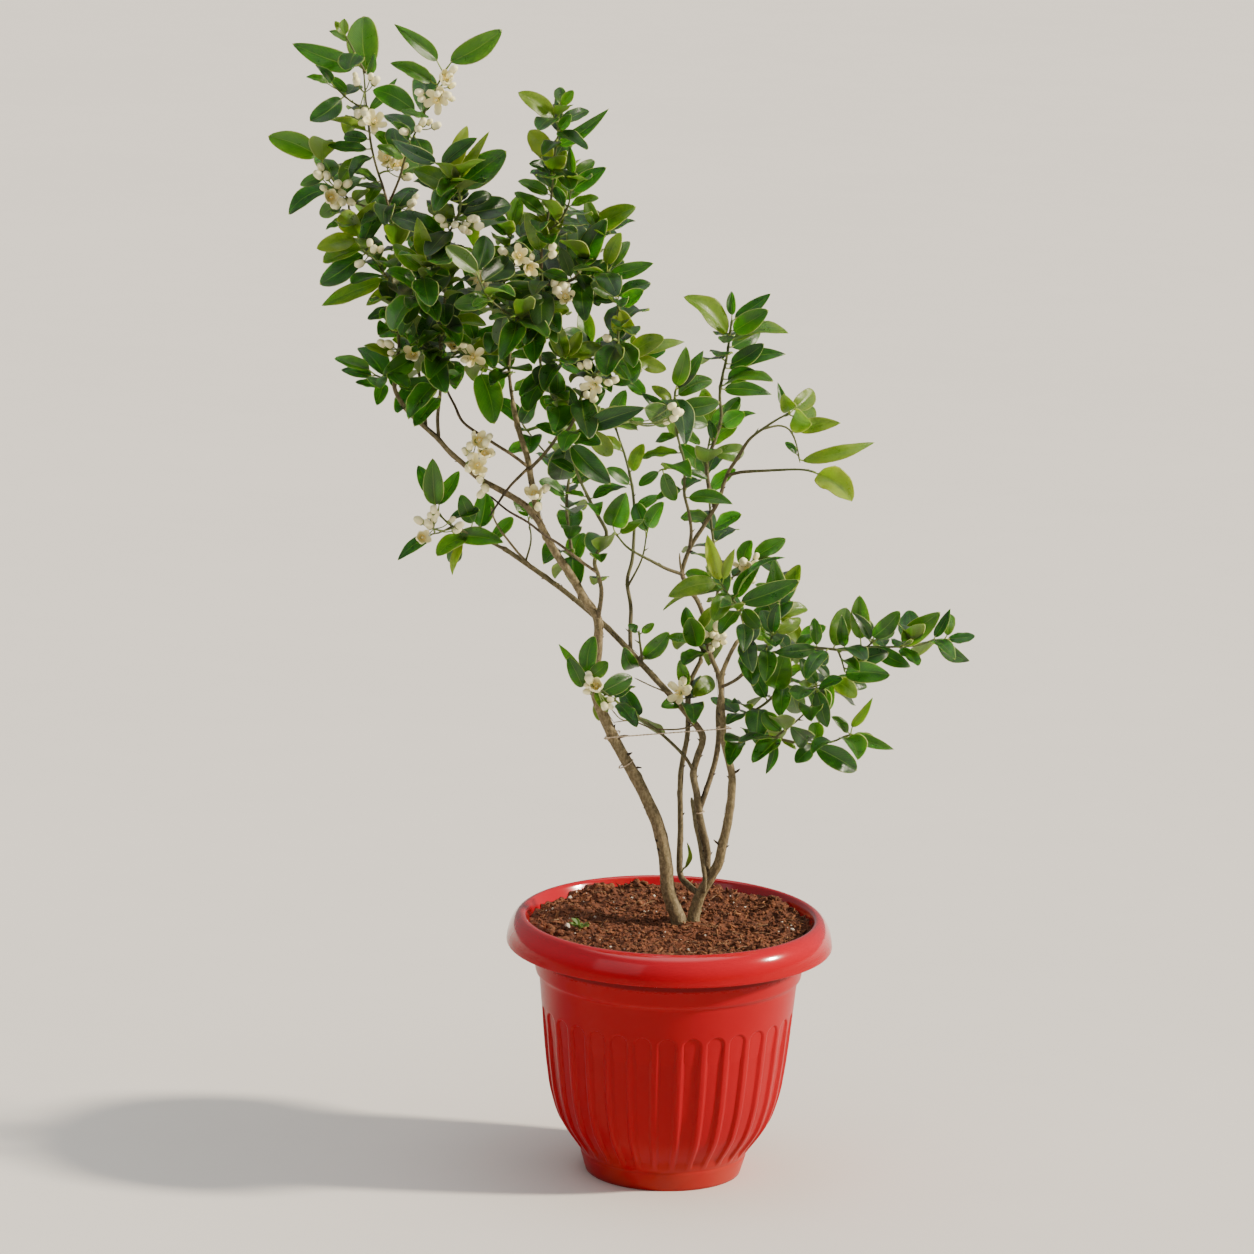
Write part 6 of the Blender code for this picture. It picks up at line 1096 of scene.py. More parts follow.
# --- leaves ---
def blade_faces():
    """The faces of one blade: an upper and a lower skin that share their rim, a tip point and a heel cap."""
    columns = len(BLADE_COLUMNS)
    upper = np.arange(BLADE_ROWS * columns).reshape(BLADE_ROWS, columns)
    lower = upper.copy()
    lower[:, 1:-1] = upper.size + np.arange(BLADE_ROWS * (columns - 2)).reshape(BLADE_ROWS, -1)
    tip = upper.size + BLADE_ROWS * (columns - 2)
    faces = skin(upper) + skin(lower.T)
    faces += fan(upper[-1].tolist(), tip) + fan(lower[-1, ::-1].tolist(), tip)
    heel = upper[0].tolist() + lower[0, -2:0:-1].tolist()
    return faces + [tuple(reversed(heel))]


def blade_marks():
    """The marks of one blade's points: share of the length, share of the half width, and side."""
    upper = np.zeros((BLADE_ROWS, len(BLADE_COLUMNS), 3))
    upper[..., 0] = BLADE_SHARES[:, None]
    upper[..., 1] = BLADE_COLUMNS
    upper[..., 2] = np.where(np.abs(BLADE_COLUMNS) < 1.0, 1.0, 0.5)
    lower = upper[:, 1:-1].copy()
    lower[..., 2] = 0.0
    return np.concatenate([upper.reshape(-1, 3), lower.reshape(-1, 3), [[1.0, 0.0, 0.5]]])


BLADE_FACES = blade_faces()
BLADE_MARKS = blade_marks()


def blade_rise(form):
    """How far a blade's points are lifted by its fold, cup and ripple, as part of its half width."""
    across = np.abs(BLADE_COLUMNS)
    phase = np.where(BLADE_COLUMNS < 0.0, form["phase"], form["phase"] + 2.1)
    ripple = np.sin(2.0 * math.pi * form["waves"] * BLADE_SHARES[:, None] + phase) * across ** 2
    return form["fold"] * across - form["cup"] * across ** 2 + form["ripple"] * ripple


def add_blade(shape, heel, tip, width, normal, tint, form, thick=0.00035):
    """A thin curved blade from heel to tip, whose upper side looks along normal."""
    along = tip - heel
    length = np.linalg.norm(along)
    along = along / length
    side = unit(np.cross(along, normal))
    normal = np.cross(side, along)
    share = BLADE_SHARES[:, None]
    outline = share ** form["shoulder"] * (1.0 - share) ** form["point"]
    half = np.maximum(0.5 * width * outline / outline.max(), BLADE_TIP_HALF * (1.0 - share))
    swing = form["twist"] * (share - 0.35)
    side_turned = np.cos(swing) * side + np.sin(swing) * normal
    up_turned = (np.cos(swing) * normal - np.sin(swing) * side)[:, None, :]
    bow = form["bow"] * length * (4.0 * share * (1.0 - share))
    sway = form["sway"] * length * np.sin(math.pi * share)
    middle = heel + along * (length * share) + normal * bow + side * sway
    spread = (half * BLADE_COLUMNS)[..., None]
    rise = (half * blade_rise(form))[..., None]
    upper = middle[:, None, :] + side_turned[:, None, :] * spread + up_turned * rise
    depth = thick * np.sqrt(1.0 - BLADE_COLUMNS[1:-1] ** 2)
    lower = upper[:, 1:-1] - up_turned * depth[:, None]
    points = np.concatenate([upper.reshape(-1, 3), lower.reshape(-1, 3), tip[None, :]])
    shape.add(points, BLADE_FACES, BLADE_MARKS, tint)


def leaf_form(dice, plumpness):
    """The proportions and curls of one leaf. A plump leaf has a blunter tip."""
    blunt = min(max((plumpness - 0.34) / 0.16, 0.0), 1.0)
    form = {name: dice.uniform(*ends) for name, ends in LEAF_RANGES.items()}
    form["point"] += 0.90 - 0.28 * blunt
    return form


def nearest_on_twigs(twigs, x, z):
    """The station on any of the twigs that lies closest to (x, z) in the front elevation."""
    stations = []
    for twig in twigs:
        for index, (start, end) in enumerate(zip(twig, twig[1:])):
            run_x = end[0] - start[0]
            run_z = end[2] - start[2]
            limit = LAST_ROOT if index == len(twig) - 2 else 1.0
            share = ((x - start[0]) * run_x + (z - start[2]) * run_z) / (run_x * run_x + run_z * run_z)
            share = min(max(share, 0.0), limit)
            stations.append(tuple(a + share * (b - a) for a, b in zip(start, end)))
    return min(stations, key=lambda station: math.hypot(station[0] - x, station[2] - z))


def leaf_pose(start, leaf, sign, shift):
    """Root, heel and tip of a leaf. What its run in the elevation lacks in length is taken in depth."""
    heel_x, heel_z, run, rise, width, _ = leaf
    flat = math.hypot(run, rise)
    length = min(BLADE_PROPORTION * width, MAX_REACH)
    depth = math.sqrt(max(length * length - flat * flat, (LEAST_DEPTH * flat) ** 2))
    root = seat(start)
    heel = seat((heel_x, start[1] + HEEL_DEPTH * sign * depth, heel_z))
    tip = seat((heel_x + run, start[1] + sign * depth + shift, heel_z + rise))
    if np.linalg.norm(heel - root) < SHORTEST_STALK:
        heel = root + unit(tip - root) * SHORTEST_STALK
    return root, heel, tip


def leaf_normal(along, facing):
    """The direction that a leaf's upper side looks in."""
    wanted = np.array((0.0, -facing, 1.0 - abs(facing)))
    return square_to(wanted, along)


def blade_samples(heel, tip, width, normal):
    """Points spread over a blade, to measure its distance to others."""
    side = 0.35 * width * unit(np.cross(tip - heel, normal))
    middle = [heel + share * (tip - heel) for share in (0.1, 0.32, 0.55, 0.78, 1.0)]
    return np.array(middle + [middle[1] + side, middle[1] - side, middle[2] + side, middle[2] - side])


class Crown:
    """Remembers where leaves and flowers are, so that a new leaf is set clear of them."""

    def __init__(self):
        self.leaves = np.full((1, 3), 9.0)
        self.flowers = np.full((1, 3), 9.0)

    def keep_leaf(self, samples):
        """Remembers a placed leaf."""
        self.leaves = np.concatenate([self.leaves, samples])

    def keep_flower(self, centre):
        """Remembers a placed flower."""
        self.flowers = np.concatenate([self.flowers, centre[None, :]])

    def cost(self, samples):
        """How crowded a leaf would be there, and how far it would stand in front of flowers."""
        gaps = np.linalg.norm(samples[:, None, :] - self.leaves[None, :, :], axis=2).min(axis=1)
        crowding = np.sum(np.maximum(1.0 - gaps / LEAF_CLEARANCE, 0.0))
        apart = samples[:, None, :] - self.flowers[None, :, :]
        near = np.hypot(apart[..., 0], apart[..., 2]) < COVERING_REACH
        covering = near & (apart[..., 1] < COVERING_DEPTH)
        outside = np.sum(np.maximum(np.abs(samples[:, 1]) - CROWN_DEPTH, 0.0)) * OUTSIDE_COST
        return crowding + COVERING_COST * np.sum(covering) + outside


def add_stalk(shape, root, heel, along, width, tint):
    """A leaf's stalk, thickest at its root."""
    bend = 0.5 * (root + heel) - np.array((0.0, 0.0, 0.06 * np.linalg.norm(heel - root)))
    path = smooth_path([root, bend, heel + 0.0015 * along], 0.0018)
    radii = np.linspace(1.25, 0.85, len(path)) * STALK_RADIUS * (0.7 + 16.0 * width)
    shape.add_tube(path, radii, 6, (0.0, 0.0, 0.4), min(tint + 0.3, 1.0))


def add_leaf(shape, root, heel, tip, width, normal, tint, dice):
    """A whole leaf, with its stalk."""
    along = unit(tip - heel)
    add_stalk(shape, root, heel, along, width, tint)
    add_blade(shape, heel, tip, width, normal, tint, leaf_form(dice, width / np.linalg.norm(tip - heel)))


def roomiest_pose(start, leaf, sign, crown):
    """Root, heel, tip and upper side of a leaf at the depth where it crowds the others least."""
    poses = []
    for shift in DEPTH_TRIES:
        root, heel, tip = leaf_pose(start, leaf, sign, shift)
        normal = leaf_normal(unit(tip - heel), leaf[5])
        cost = crown.cost(blade_samples(heel, tip, leaf[4] * CM, normal)) + SHIFT_COST * abs(shift)
        poses.append((cost, root, heel, tip, normal))
    return min(poses, key=lambda pose: pose[0])[1:]


def leaf_tint(leaf, dice):
    """How bright a leaf is. A leaf in the list of young and glowing leaves has a tint of its own."""
    x, z, run, rise, *_ = leaf
    tint = dice.uniform(0.34, 0.62) if dice.random() < BRIGHT_SHARE else max(dice.gauss(0.12, 0.11), 0.0)
    # Listed leaves: younger ones, and ones whose tint is a painted glow of light through them.
    for listed_x, listed_z, listed_tint in YOUNG_AND_GLOWING_LEAVES:
        if math.hypot(x + 0.5 * run - listed_x, z + 0.5 * rise - listed_z) < LISTED_LEAF_REACH:
            tint = listed_tint
    return tint


def shoot_leaves(shape, twigs, leaves, crown, dice):
    """Every leaf of a shoot that shows in the front elevation, each at the depth with the most room."""
    solid_order = 0
    roots = []
    for leaf in leaves:
        start = nearest_on_twigs(twigs, leaf[0], leaf[1])
        sign = 1.0 if solid_order % 2 else -1.0
        if leaf[4] >= SOLID_LEAF_WIDTH:
            solid_order += 1
        root, heel, tip, normal = roomiest_pose(start, leaf, sign, crown)
        seen = max(abs(normal[1]), 0.35)
        width = max(min(leaf[4] * CM / seen, 0.48 * np.linalg.norm(tip - heel)), leaf[4] * CM)
        tint = leaf_tint(leaf, dice)
        crown.keep_leaf(blade_samples(heel, tip, width, normal))
        add_leaf(shape, root, heel, tip, width, normal, tint, dice)
        roots.append(start)
    return roots


def filler_pose(root, crown, dice):
    """The one of a few random poses at which an inner leaf crowds the others least, after its cost."""
    poses = []
    for _ in range(FILLER_TRIES):
        away = unit(np.array((dice.uniform(-0.6, 0.6), dice.choice((-1.0, 1.0)), dice.uniform(-0.35, 0.6))))
        length = dice.uniform(0.034, 0.058)
        heel = root + away * 0.006
        tip = heel + unit(away + np.array((0.0, 0.0, dice.uniform(-0.5, 0.15)))) * length
        normal = leaf_normal(unit(tip - heel), 0.15)
        width = length * dice.uniform(0.40, 0.48)
        poses.append((crown.cost(blade_samples(heel, tip, width, normal)), heel, tip, normal, width))
    return min(poses, key=lambda pose: pose[0])


def filler_leaves(shape, twigs, density, crown, dice):
    """Leaves that point to the front or the back, where the elevation shows little of them."""
    for twig in twigs:
        path = limb_path(twig, TWIG_STEP)
        for _ in range(int(round(path_length(path) / CM * density))):
            index = int(len(path) * dice.uniform(0.15, 0.97))
            root = path[min(index, len(path) - 1)]
            if dice.random() > np.interp(root[2], *INNER_THINNING):
                continue
            cost, heel, tip, normal, width = filler_pose(root, crown, dice)
            if cost < FILLER_CROWDING:
                crown.keep_leaf(blade_samples(heel, tip, width, normal))
                # Inner leaves get a darker tint than the others: painted shade of the crown's inside.
                add_leaf(shape, root, heel, tip, width, normal, max(dice.gauss(0.03, 0.07), 0.0), dice)


def shoot_twigs(shape, twigs, roots, thick, dice):
    """The twigs of a shoot, with a knuckle where each leaf grows and a few thorns."""
    for order, twig in enumerate(twigs):
        path = limb_path(twig, TWIG_STEP)
        twig_thick = thick if order == 0 else SIDE_TWIG_THICK
        radii = taper(len(path), twig_thick)
        knots = []
        for root in roots:
            gaps = np.linalg.norm(path - seat(root), axis=1)
            if gaps.min() < KNUCKLE_REACH:
                place = float(np.argmin(gaps)) * path_length(path) / (len(path) - 1)
                height = KNUCKLE_HEIGHT * float(np.mean(radii))
                knots.append((place, dice.uniform(0.0, 6.28), height, KNUCKLE_SPREAD))
        rings = knobbly(path, radii, TWIG_SIDES, TWIG_RIDGES, knots)
        rings[-1] *= TWIG_END
        green = np.linspace(0.1 if order == 0 else 0.4, 0.9, len(path))
        shape.add_tube(path, rings, TWIG_SIDES, tint=np.repeat(green, TWIG_SIDES))
        add_thorns(shape, twig, twig_thick, "twig", dice)


# --- flowers ---
def add_flower_part(shape, path, radii, sides, tint, share=0.5, ribs=0.0):
    """A round or ribbed part of a flower along a short path. Without a share, it is marked from 0 to 1."""
    rings = np.asarray(radii)[:, None] * (1.0 + ribs * np.cos(5.0 * turns(sides)))[None, :]
    shares = np.linspace(0.0, 1.0, len(path)) if share is None else np.full(len(path), share)
    marks = np.zeros((len(path) * sides, 3))
    marks[:, 0] = np.repeat(shares, sides)
    marks[:, 2] = 0.5
    shape.add_tube(np.asarray(path), rings, sides, marks, tint)


def add_turned(shape, foot, axis, rings, thick, sides, tint, share=0.5, ribs=0.0):
    """A part of a flower turned about an axis, from (place along the axis, radius) pairs."""
    path = [foot + axis * place for place, _ in rings]
    add_flower_part(shape, path, [thick * radius for _, radius in rings], sides, tint, share, ribs)


def add_bud(shape, foot, axis, size):
    """A plump ribbed bud in its calyx."""
    rise = unit(axis) * (BUD_LENGTH * size)
    radius = BUD_RADIUS * size
    add_turned(shape, foot, rise, BUD_RINGS, radius, 15, 0.5, None, 0.07)
    add_turned(shape, foot, rise, CALYX_RINGS, 1.06 * radius, 10, 0.0, 0.5, 0.10)


def add_petal(shape, centre, rise, outward, size, cupping, dice):
    """One cupped waxy petal."""
    lean = cupping * dice.uniform(0.6, 1.5)
    heel = centre + STAMEN_CIRCLE * outward - 0.001 * rise
    tip = heel + unit(outward + lean * rise) * PETAL_LENGTH * size * dice.uniform(0.9, 1.1)
    normal = unit(rise - lean * outward)
    form = {
        **PETAL_FORM, "twist": dice.uniform(-0.3, 0.3), "sway": dice.uniform(-0.05, 0.05),
        "phase": dice.uniform(0.0, 6.0),
    }
    add_blade(shape, heel, tip, PETAL_WIDTH * size, normal, 0.5, form, PETAL_THICK)


def add_stamen(shape, centre, rise, outward, size, dice):
    """One stamen: a thin filament and its anther."""
    foot = centre + STAMEN_CIRCLE * outward
    reach = rise + dice.uniform(0.05, 0.35) * outward
    head = foot + reach * STAMEN_LENGTH * size * dice.uniform(0.85, 1.1)
    add_flower_part(shape, [foot, 0.5 * (foot + head), head], FILAMENT_RADII, 5, 0.5, 1.0)
    add_turned(shape, head, rise, ANTHER_RINGS, 1.0, 6, 1.0)


def add_blossom(shape, centre, axis, size, cupping, dice):
    """An open flower: petals, a ring of stamens and a pistil."""
    rise = unit(axis)
    side = unit(np.cross(rise, (0.2, 0.3, 0.9)))
    across = np.cross(rise, side)
    spin = dice.uniform(0.0, 1.2)
    for turn in turns(PETAL_COUNT):
        outward = around(spin + turn + dice.uniform(-0.12, 0.12), side, across)
        add_petal(shape, centre, rise, outward, size, cupping, dice)
    add_turned(shape, centre, rise, RECEPTACLE_RINGS, 1.0, 10, 0.0)
    for angle in turns(STAMEN_COUNT):
        add_stamen(shape, centre, rise, around(angle, side, across), size, dice)
    add_turned(shape, centre, rise, PISTIL_RINGS, 1.0, 8, 0.35)


def add_flower(shape, knuckle, centre, openness, size, dice):
    """A bud or a blossom on its stalk."""
    reach = np.linalg.norm(centre - knuckle)
    bend = 0.5 * (knuckle + centre) - np.array((0.0, 0.0, 0.12 * reach))
    path = smooth_path([knuckle, bend, centre], 0.0025)
    add_flower_part(shape, path, np.full(len(path), FLOWER_STALK), 7, 0.0)
    outward = unit(centre - knuckle)
    if openness > 0.5:
        facing = unit(np.array((dice.uniform(-0.6, 0.6), -1.0, dice.uniform(-0.1, 0.9))) + 0.4 * outward)
        add_blossom(shape, centre, facing, size, dice.choice(CUPPINGS), dice)
    else:
        lean = np.array((dice.uniform(-0.4, 0.4), dice.uniform(-0.7, 0.0), 0.45))
        add_bud(shape, centre - 0.003 * unit(outward + lean), unit(outward + lean), size)


def flower_groups(flowers):
    """The flowers of a cluster, gathered with those that stand close by."""
    groups = []
    for flower in flowers:
        for group in groups:
            if math.hypot(flower[0] - group[0][0], flower[1] - group[0][1]) < GROUP_REACH:
                group.append(flower)
                break
        else:
            groups.append([flower])
    return groups


def add_cluster(shape, twigs, flowers, crown, dice):
    """A spray of flowers: a stalk out of the twig to a knuckle, and one from there to every flower."""
    for group in flower_groups(flowers):
        middle_x = sum(flower[0] for flower in group) / len(group)
        middle_z = sum(flower[1] for flower in group) / len(group)
        start = nearest_on_twigs(twigs, middle_x, middle_z)
        foot = seat(start)
        knuckle_y = start[1] - FLOWER_STANDOFF / CM
        knuckle = seat((0.5 * (start[0] + middle_x), knuckle_y, 0.5 * (start[2] + middle_z)))
        path = smooth_path([foot, 0.5 * (foot + knuckle) + np.array((0, 0, 0.001)), knuckle], 0.003)
        add_flower_part(shape, path, np.full(len(path), 1.8 * FLOWER_STALK), 7, 0.0)
        for x, z, openness in group:
            centre = seat((x, knuckle_y - FLOWER_FORWARD / CM - dice.uniform(0.0, 0.4), z))
            crown.keep_flower(centre)
            add_flower(shape, knuckle, centre, openness, dice.uniform(0.92, 1.12), dice)
            for _ in range(dice.choice(BUDS_BESIDE)):
                spin = dice.uniform(0.0, 6.28)
                aside = np.array((math.cos(spin), dice.uniform(-0.3, 0.9), math.sin(spin)))
                beside = centre + aside * dice.uniform(0.0054, 0.0072) * (1.3 if openness > 0.5 else 1.0)
                add_flower(shape, knuckle, beside, 0.0, dice.uniform(0.70, 1.0), dice)


# --- pot ---
def pot_profile():
    """Points (radius, height) of the pot's section, from under its foot, over the rim and down inside."""
    profile = []
    for points, step in POT_RUNS:
        curve = smooth_path(points, step)
        if points is POT_BOWL:
            heights = curve[:, 1]
            order = np.arange(len(curve))
            arches = (heights > FLUTE_TOP - FLUTE_ROUND - ARCH_MARGIN) & (heights < FLUTE_WALL[1])
            curve = curve[arches | (order % 5 == 0) | (order < 4)]
        profile += curve.tolist()
    return profile


def smooth_share(value, low, high):
    """Goes softly from 0 to 1 as the value goes from low to high."""
    share = min(max((value - low) / (high - low), 0.0), 1.0)
    return share * share * (3.0 - 2.0 * share)


def flute_depth(angle, height, depth):
    """How far the outer wall is sunk at a place: a row of round-arched recesses."""
    half_pitch = math.pi / FLUTE_COUNT
    offset = abs((angle + half_pitch) % (2.0 * half_pitch) - half_pitch)
    over = max((height - FLUTE_TOP) / FLUTE_ROUND + 1.0, 0.0)
    if over >= 1.0 or not FLUTE_WALL[0] < height < FLUTE_WALL[1]:
        return 0.0
    narrowing = math.sqrt(1.0 - over ** 2)
    half = FLUTE_SHARE * half_pitch * narrowing
    edge = smooth_share((1.0 - offset / half) * 3.6 * narrowing, 0.0, 1.0)
    return depth * edge * smooth_share(height, *FLUTE_FOOT)


def pot_shell(depth):
    """The pot's wall, foot and rim in one closed skin, open in the middle of its floor."""
    profile = pot_profile()
    columns = FLUTE_COUNT * POT_COLUMNS_PER_FLUTE
    outside_count = len(profile) - len(smooth_path(POT_INSIDE, INSIDE_STEP))
    rim_row = outside_count - len(smooth_path(POT_ROLL, ROLL_STEP))
    points = []
    tints = []
    for row, (radius, height) in enumerate(profile):
        dull_and_shaded = row < rim_row and UNDER_RIM[0] < radius < UNDER_RIM[1]
        for column in range(columns):
            angle = 2.0 * math.pi * (column + 0.5) / columns
            sunk = flute_depth(angle, height, depth) if row < outside_count else 0.0
            points.append(((radius - sunk) * math.cos(angle), (radius - sunk) * math.sin(angle), height))
            # The tint carries painted shade: -1 under the rim, and the share of the flute depth in the
            # recesses.
            tints.append(-1.0 if dull_and_shaded else sunk / depth)
    grid = ring_grid(len(profile), columns)
    shape = Shape()
    shape.add(points, skin(np.vstack([grid, grid[:1]])), tint=tints)
    return shape


def disc_solid(radius, low, high, centre=(0.0, 0.0), sides=96):
    """A flat round plate."""
    angles = turns(sides)
    x = centre[0] + radius * np.cos(angles)
    y = centre[1] + radius * np.sin(angles)
    rings = [np.stack([x, y, np.full(sides, height)], axis=1) for height in (low, high)]
    return np.concatenate(rings), closed_rings(2, sides)


def drill(plate, centre):
    """Drills one drain hole through the pot's floor."""
    low, high = POT_FLOOR
    points, faces = disc_solid(DRAIN_RADIUS, low - DRILL_MARGIN, high + DRILL_MARGIN, centre, 24)
    mesh = bpy.data.meshes.new("hole")
    mesh.from_pydata(points.tolist(), [], faces)
    cutter = bpy.data.objects.new("hole", mesh)
    bpy.context.scene.collection.objects.link(cutter)
    cut = plate.modifiers.new("hole", "BOOLEAN")
    cut.object = cutter
    cut.solver = "EXACT"
    depsgraph = bpy.context.evaluated_depsgraph_get()
    drilled = bpy.data.meshes.new_from_object(plate.evaluated_get(depsgraph))
    plate.modifiers.clear()
    plate.data = drilled
    bpy.data.objects.remove(cutter)


# --- soil ---
def bumpy(x, y, dice, rates, count):
    """An uneven field of crossed waves, from about -1 to 1."""
    field = np.zeros(np.shape(x))
    for _ in range(count):
        heading = dice.uniform(0.0, 2.0 * math.pi)
        rate = dice.uniform(*rates)
        field += np.sin(rate * (x * math.cos(heading) + y * math.sin(heading)) + dice.uniform(0.0, 6.28))
    return field / math.sqrt(count)


def soil_height(x, y):
    """Height of the soil's top: it rises towards the back, is heaped along the wall, and is lumpy."""
    (x_rate, x_phase), (y_rate, y_phase), (fine_rate, fine_phase) = SWELL_WAVES
    swell = SOIL_SWELL * np.sin(x_rate * x + x_phase) * np.cos(y_rate * y + y_phase)
    top = SOIL_LEVEL + SOIL_TILT * y + swell + 0.5 * SOIL_SWELL * np.sin(fine_rate * (x + y) + fine_phase)
    for heap_x, heap_y, height, spread in HEAPS:
        top = top + height * np.exp(-((x - heap_x) ** 2 + (y - heap_y) ** 2) / spread ** 2)
    for seed, height, rates, count in SOIL_LUMPS:
        top = top + height * bumpy(x, y, random.Random(seed), rates, count)
    return top


def soil_reach(x, y):
    """Distance from the middle at which the soil meets the pot's wall, in the direction of (x, y)."""
    away = np.maximum(np.hypot(x, y), 1e-9)
    height = soil_height(SOIL_EDGE * x / away, SOIL_EDGE * y / away)
    return np.interp(height, [place[1] for place in SOIL_WALL], [place[0] for place in SOIL_WALL])


def soil_bed():
    """The loose top layer of the soil as one closed skin."""
    angles = turns(SOIL_COLUMNS)
    reach = soil_reach(np.cos(angles), np.sin(angles)) + SOIL_LAP
    radii = (np.linspace(0.0, 1.0, SOIL_RINGS + 1)[1:] ** 0.9)[:, None] * reach[None, :]
    grid_x = radii * np.cos(angles)[None, :]
    grid_y = radii * np.sin(angles)[None, :]
    top = np.stack([grid_x, grid_y, soil_height(grid_x, grid_y)], axis=2).reshape(-1, 3)
    bottom = np.stack([SOIL_BED_RADIUS * np.cos(angles), SOIL_BED_RADIUS * np.sin(angles),
                       np.full(SOIL_COLUMNS, SOIL_BED)], axis=1)
    points = np.concatenate([top, bottom, [[0.0, 0.0, float(soil_height(np.array(0.0), np.array(0.0)))]]])
    grid = ring_grid(SOIL_RINGS + 1, SOIL_COLUMNS)
    faces = fan(grid[0].tolist(), len(points) - 1) + skin(grid.T)
    faces.append(tuple(grid[-1, -2::-1].tolist()))
    shape = Shape()
    shape.add(points, faces)
    return shape


def lump_template():
    """The points and faces of a twenty-sided lump with a radius of one."""
    golden = (1.0 + math.sqrt(5.0)) / 2.0
    corners = []
    for turn in range(3):
        for far in (golden, -golden):
            corners += [np.roll((near, far, 0.0), turn) for near in (-1.0, 1.0)]
    return np.array(corners) / math.sqrt(1.0 + golden * golden), LUMP_FACES


def finer(points, faces):
    """Splits every face of a lump in four."""
    points = [tuple(point) for point in points]
    middles = {}

    def middle(first, second):
        """The point half way along an edge, made once."""
        key = frozenset((first, second))
        if key not in middles:
            middles[key] = len(points)
            points.append(tuple(unit(np.array(points[first]) + np.array(points[second]))))
        return middles[key]

    split = []
    for a, b, c in faces:
        ab = middle(a, b)
        bc = middle(b, c)
        ca = middle(c, a)
        split += [(a, ab, ca), (b, bc, ab), (c, ca, bc), (ab, bc, ca)]
    return np.array(points), split


def add_lump(shape, template, place, size, dice, tint=0.0, form=ROUND_FORM):
    """A rough clod, grain, chip or stone."""
    points, faces = template
    axis = Vector((dice.gauss(0.0, 0.35), dice.gauss(0.0, 0.35), 1.0))
    turn = np.array(Matrix.Rotation(dice.uniform(0.0, 6.28), 3, axis))
    swell = np.array([dice.uniform(0.72, 1.22) for _ in range(len(points))])
    stretch = np.array([part * dice.uniform(0.8, 1.25) for part in form])
    shape.add((points * swell[:, None] * stretch) @ turn.T * size + np.asarray(place), faces, tint=tint)


def scatter(dice):
    """A random place on the soil, and the height of the soil there."""
    reach = SCATTER_REACH * math.sqrt(dice.random())
    angle = dice.uniform(0.0, 2.0 * math.pi)
    x = reach * math.cos(angle)
    y = reach * math.sin(angle)
    return x, y, float(soil_height(x, y))


def scattered_lumps(count, sizes, lift, tints, form, dice):
    """Lumps thrown all over the soil. tints holds the mean and the spread of their tint."""
    shape = Shape()
    template = lump_template()
    for _ in range(count):
        x, y, top = scatter(dice)
        size = dice.choice(sizes) * dice.uniform(0.7, 1.3)
        tint = min(max(dice.gauss(*tints), 0.0), 1.0)
        add_lump(shape, template, (x, y, top + lift * size), size, dice, tint, form)
    return shape


def heaped_clods(dice):
    """Clods piled on the heaps along the wall."""
    shape = Shape()
    template = finer(*finer(*lump_template()))
    for heap_x, heap_y, rise, spread in HEAPS:
        for _ in range(int(rise * CLODS_PER_RISE)):
            x = heap_x + dice.gauss(0.0, 0.6 * spread)
            y = heap_y + dice.gauss(0.0, 0.6 * spread)
            inward = min(CLOD_REACH / math.hypot(x, y), 1.0)
            x *= inward
            y *= inward
            size = dice.uniform(0.0020, 0.0042)
            tint = dice.uniform(0.0, 0.3)
            add_lump(shape, template, (x, y, float(soil_height(x, y)) + 0.2 * size), size, dice, tint)
    return shape


def perlite_bits(dice):
    """White perlite: the large bits at their places and small ones all over."""
    shape = Shape()
    template = finer(*lump_template())
    bits = list(LARGE_BITS)
    for _ in range(PERLITE_COUNT):
        x, y, _ = scatter(dice)
        bits.append((x, y, dice.uniform(0.0005, 0.0011)))
    for x, y, size in bits:
        add_lump(shape, template, (x, y, float(soil_height(x, y)) + 0.5 * size), size, dice)
    return shape


def straw_bits(dice):
    """Thin bent straws that lie on the soil and end before the wall."""
    shape = Shape()
    for _ in range(STRAW_COUNT):
        x, y, top = scatter(dice)
        heading = dice.uniform(0.0, 6.28)
        half = 0.5 * dice.uniform(0.005, 0.016) * min(1.0, (0.13 - math.hypot(x, y)) / 0.01)
        run = np.array((math.cos(heading), math.sin(heading), dice.uniform(-0.2, 0.3)))
        middle = np.array((x, y, top + 0.0010))
        bend = np.array((0.0, 0.0, dice.uniform(0.0, 0.0012)))
        path = smooth_path([middle - half * run, middle + bend, middle + half * run], 0.002)
        thick = dice.uniform(0.4, 0.9)
        shape.add_tube(path, taper(len(path), (thick, 0.6 * thick)), 5)
    return shape


# --- seedlings ---
def weed_sprig(dice):
    """A small weed: a short stem, and leaves all round its head."""
    shape = Shape()
    foot = np.array((*WEED_SPOT, float(soil_height(*WEED_SPOT)) - WEED_ROOT))
    head = foot + np.array((0.0, 0.0, WEED_HEIGHT))
    shape.add_tube(smooth_path([foot, head], 0.002), np.full(4, WEED_RADIUS), 6, (0.0, 0.0, 0.4), 0.4)
    for index in range(WEED_LEAVES):
        angle = WEED_TURN * index
        away = unit(np.array((math.cos(angle), math.sin(angle), dice.uniform(0.1, 1.3))))
        length = dice.uniform(0.006, 0.0125)
        tint = dice.uniform(0.2, 0.7)
        add_leaf(shape, head - away * 0.001, head + away * 0.002, head + away * length, 0.42 * length,
                 leaf_normal(away, 0.2), tint, dice)
    return shape


def base_sucker(dice):
    """The young leaves at the foot of the stems."""
    shape = Shape()
    root = seat(SUCKER_ROOT)
    heel = seat(SUCKER_HEEL)
    for tip, width, normal, tint in SUCKER_LEAVES:
        add_leaf(shape, root, heel, seat(tip), width, np.array(normal), tint, dice)
    return shape


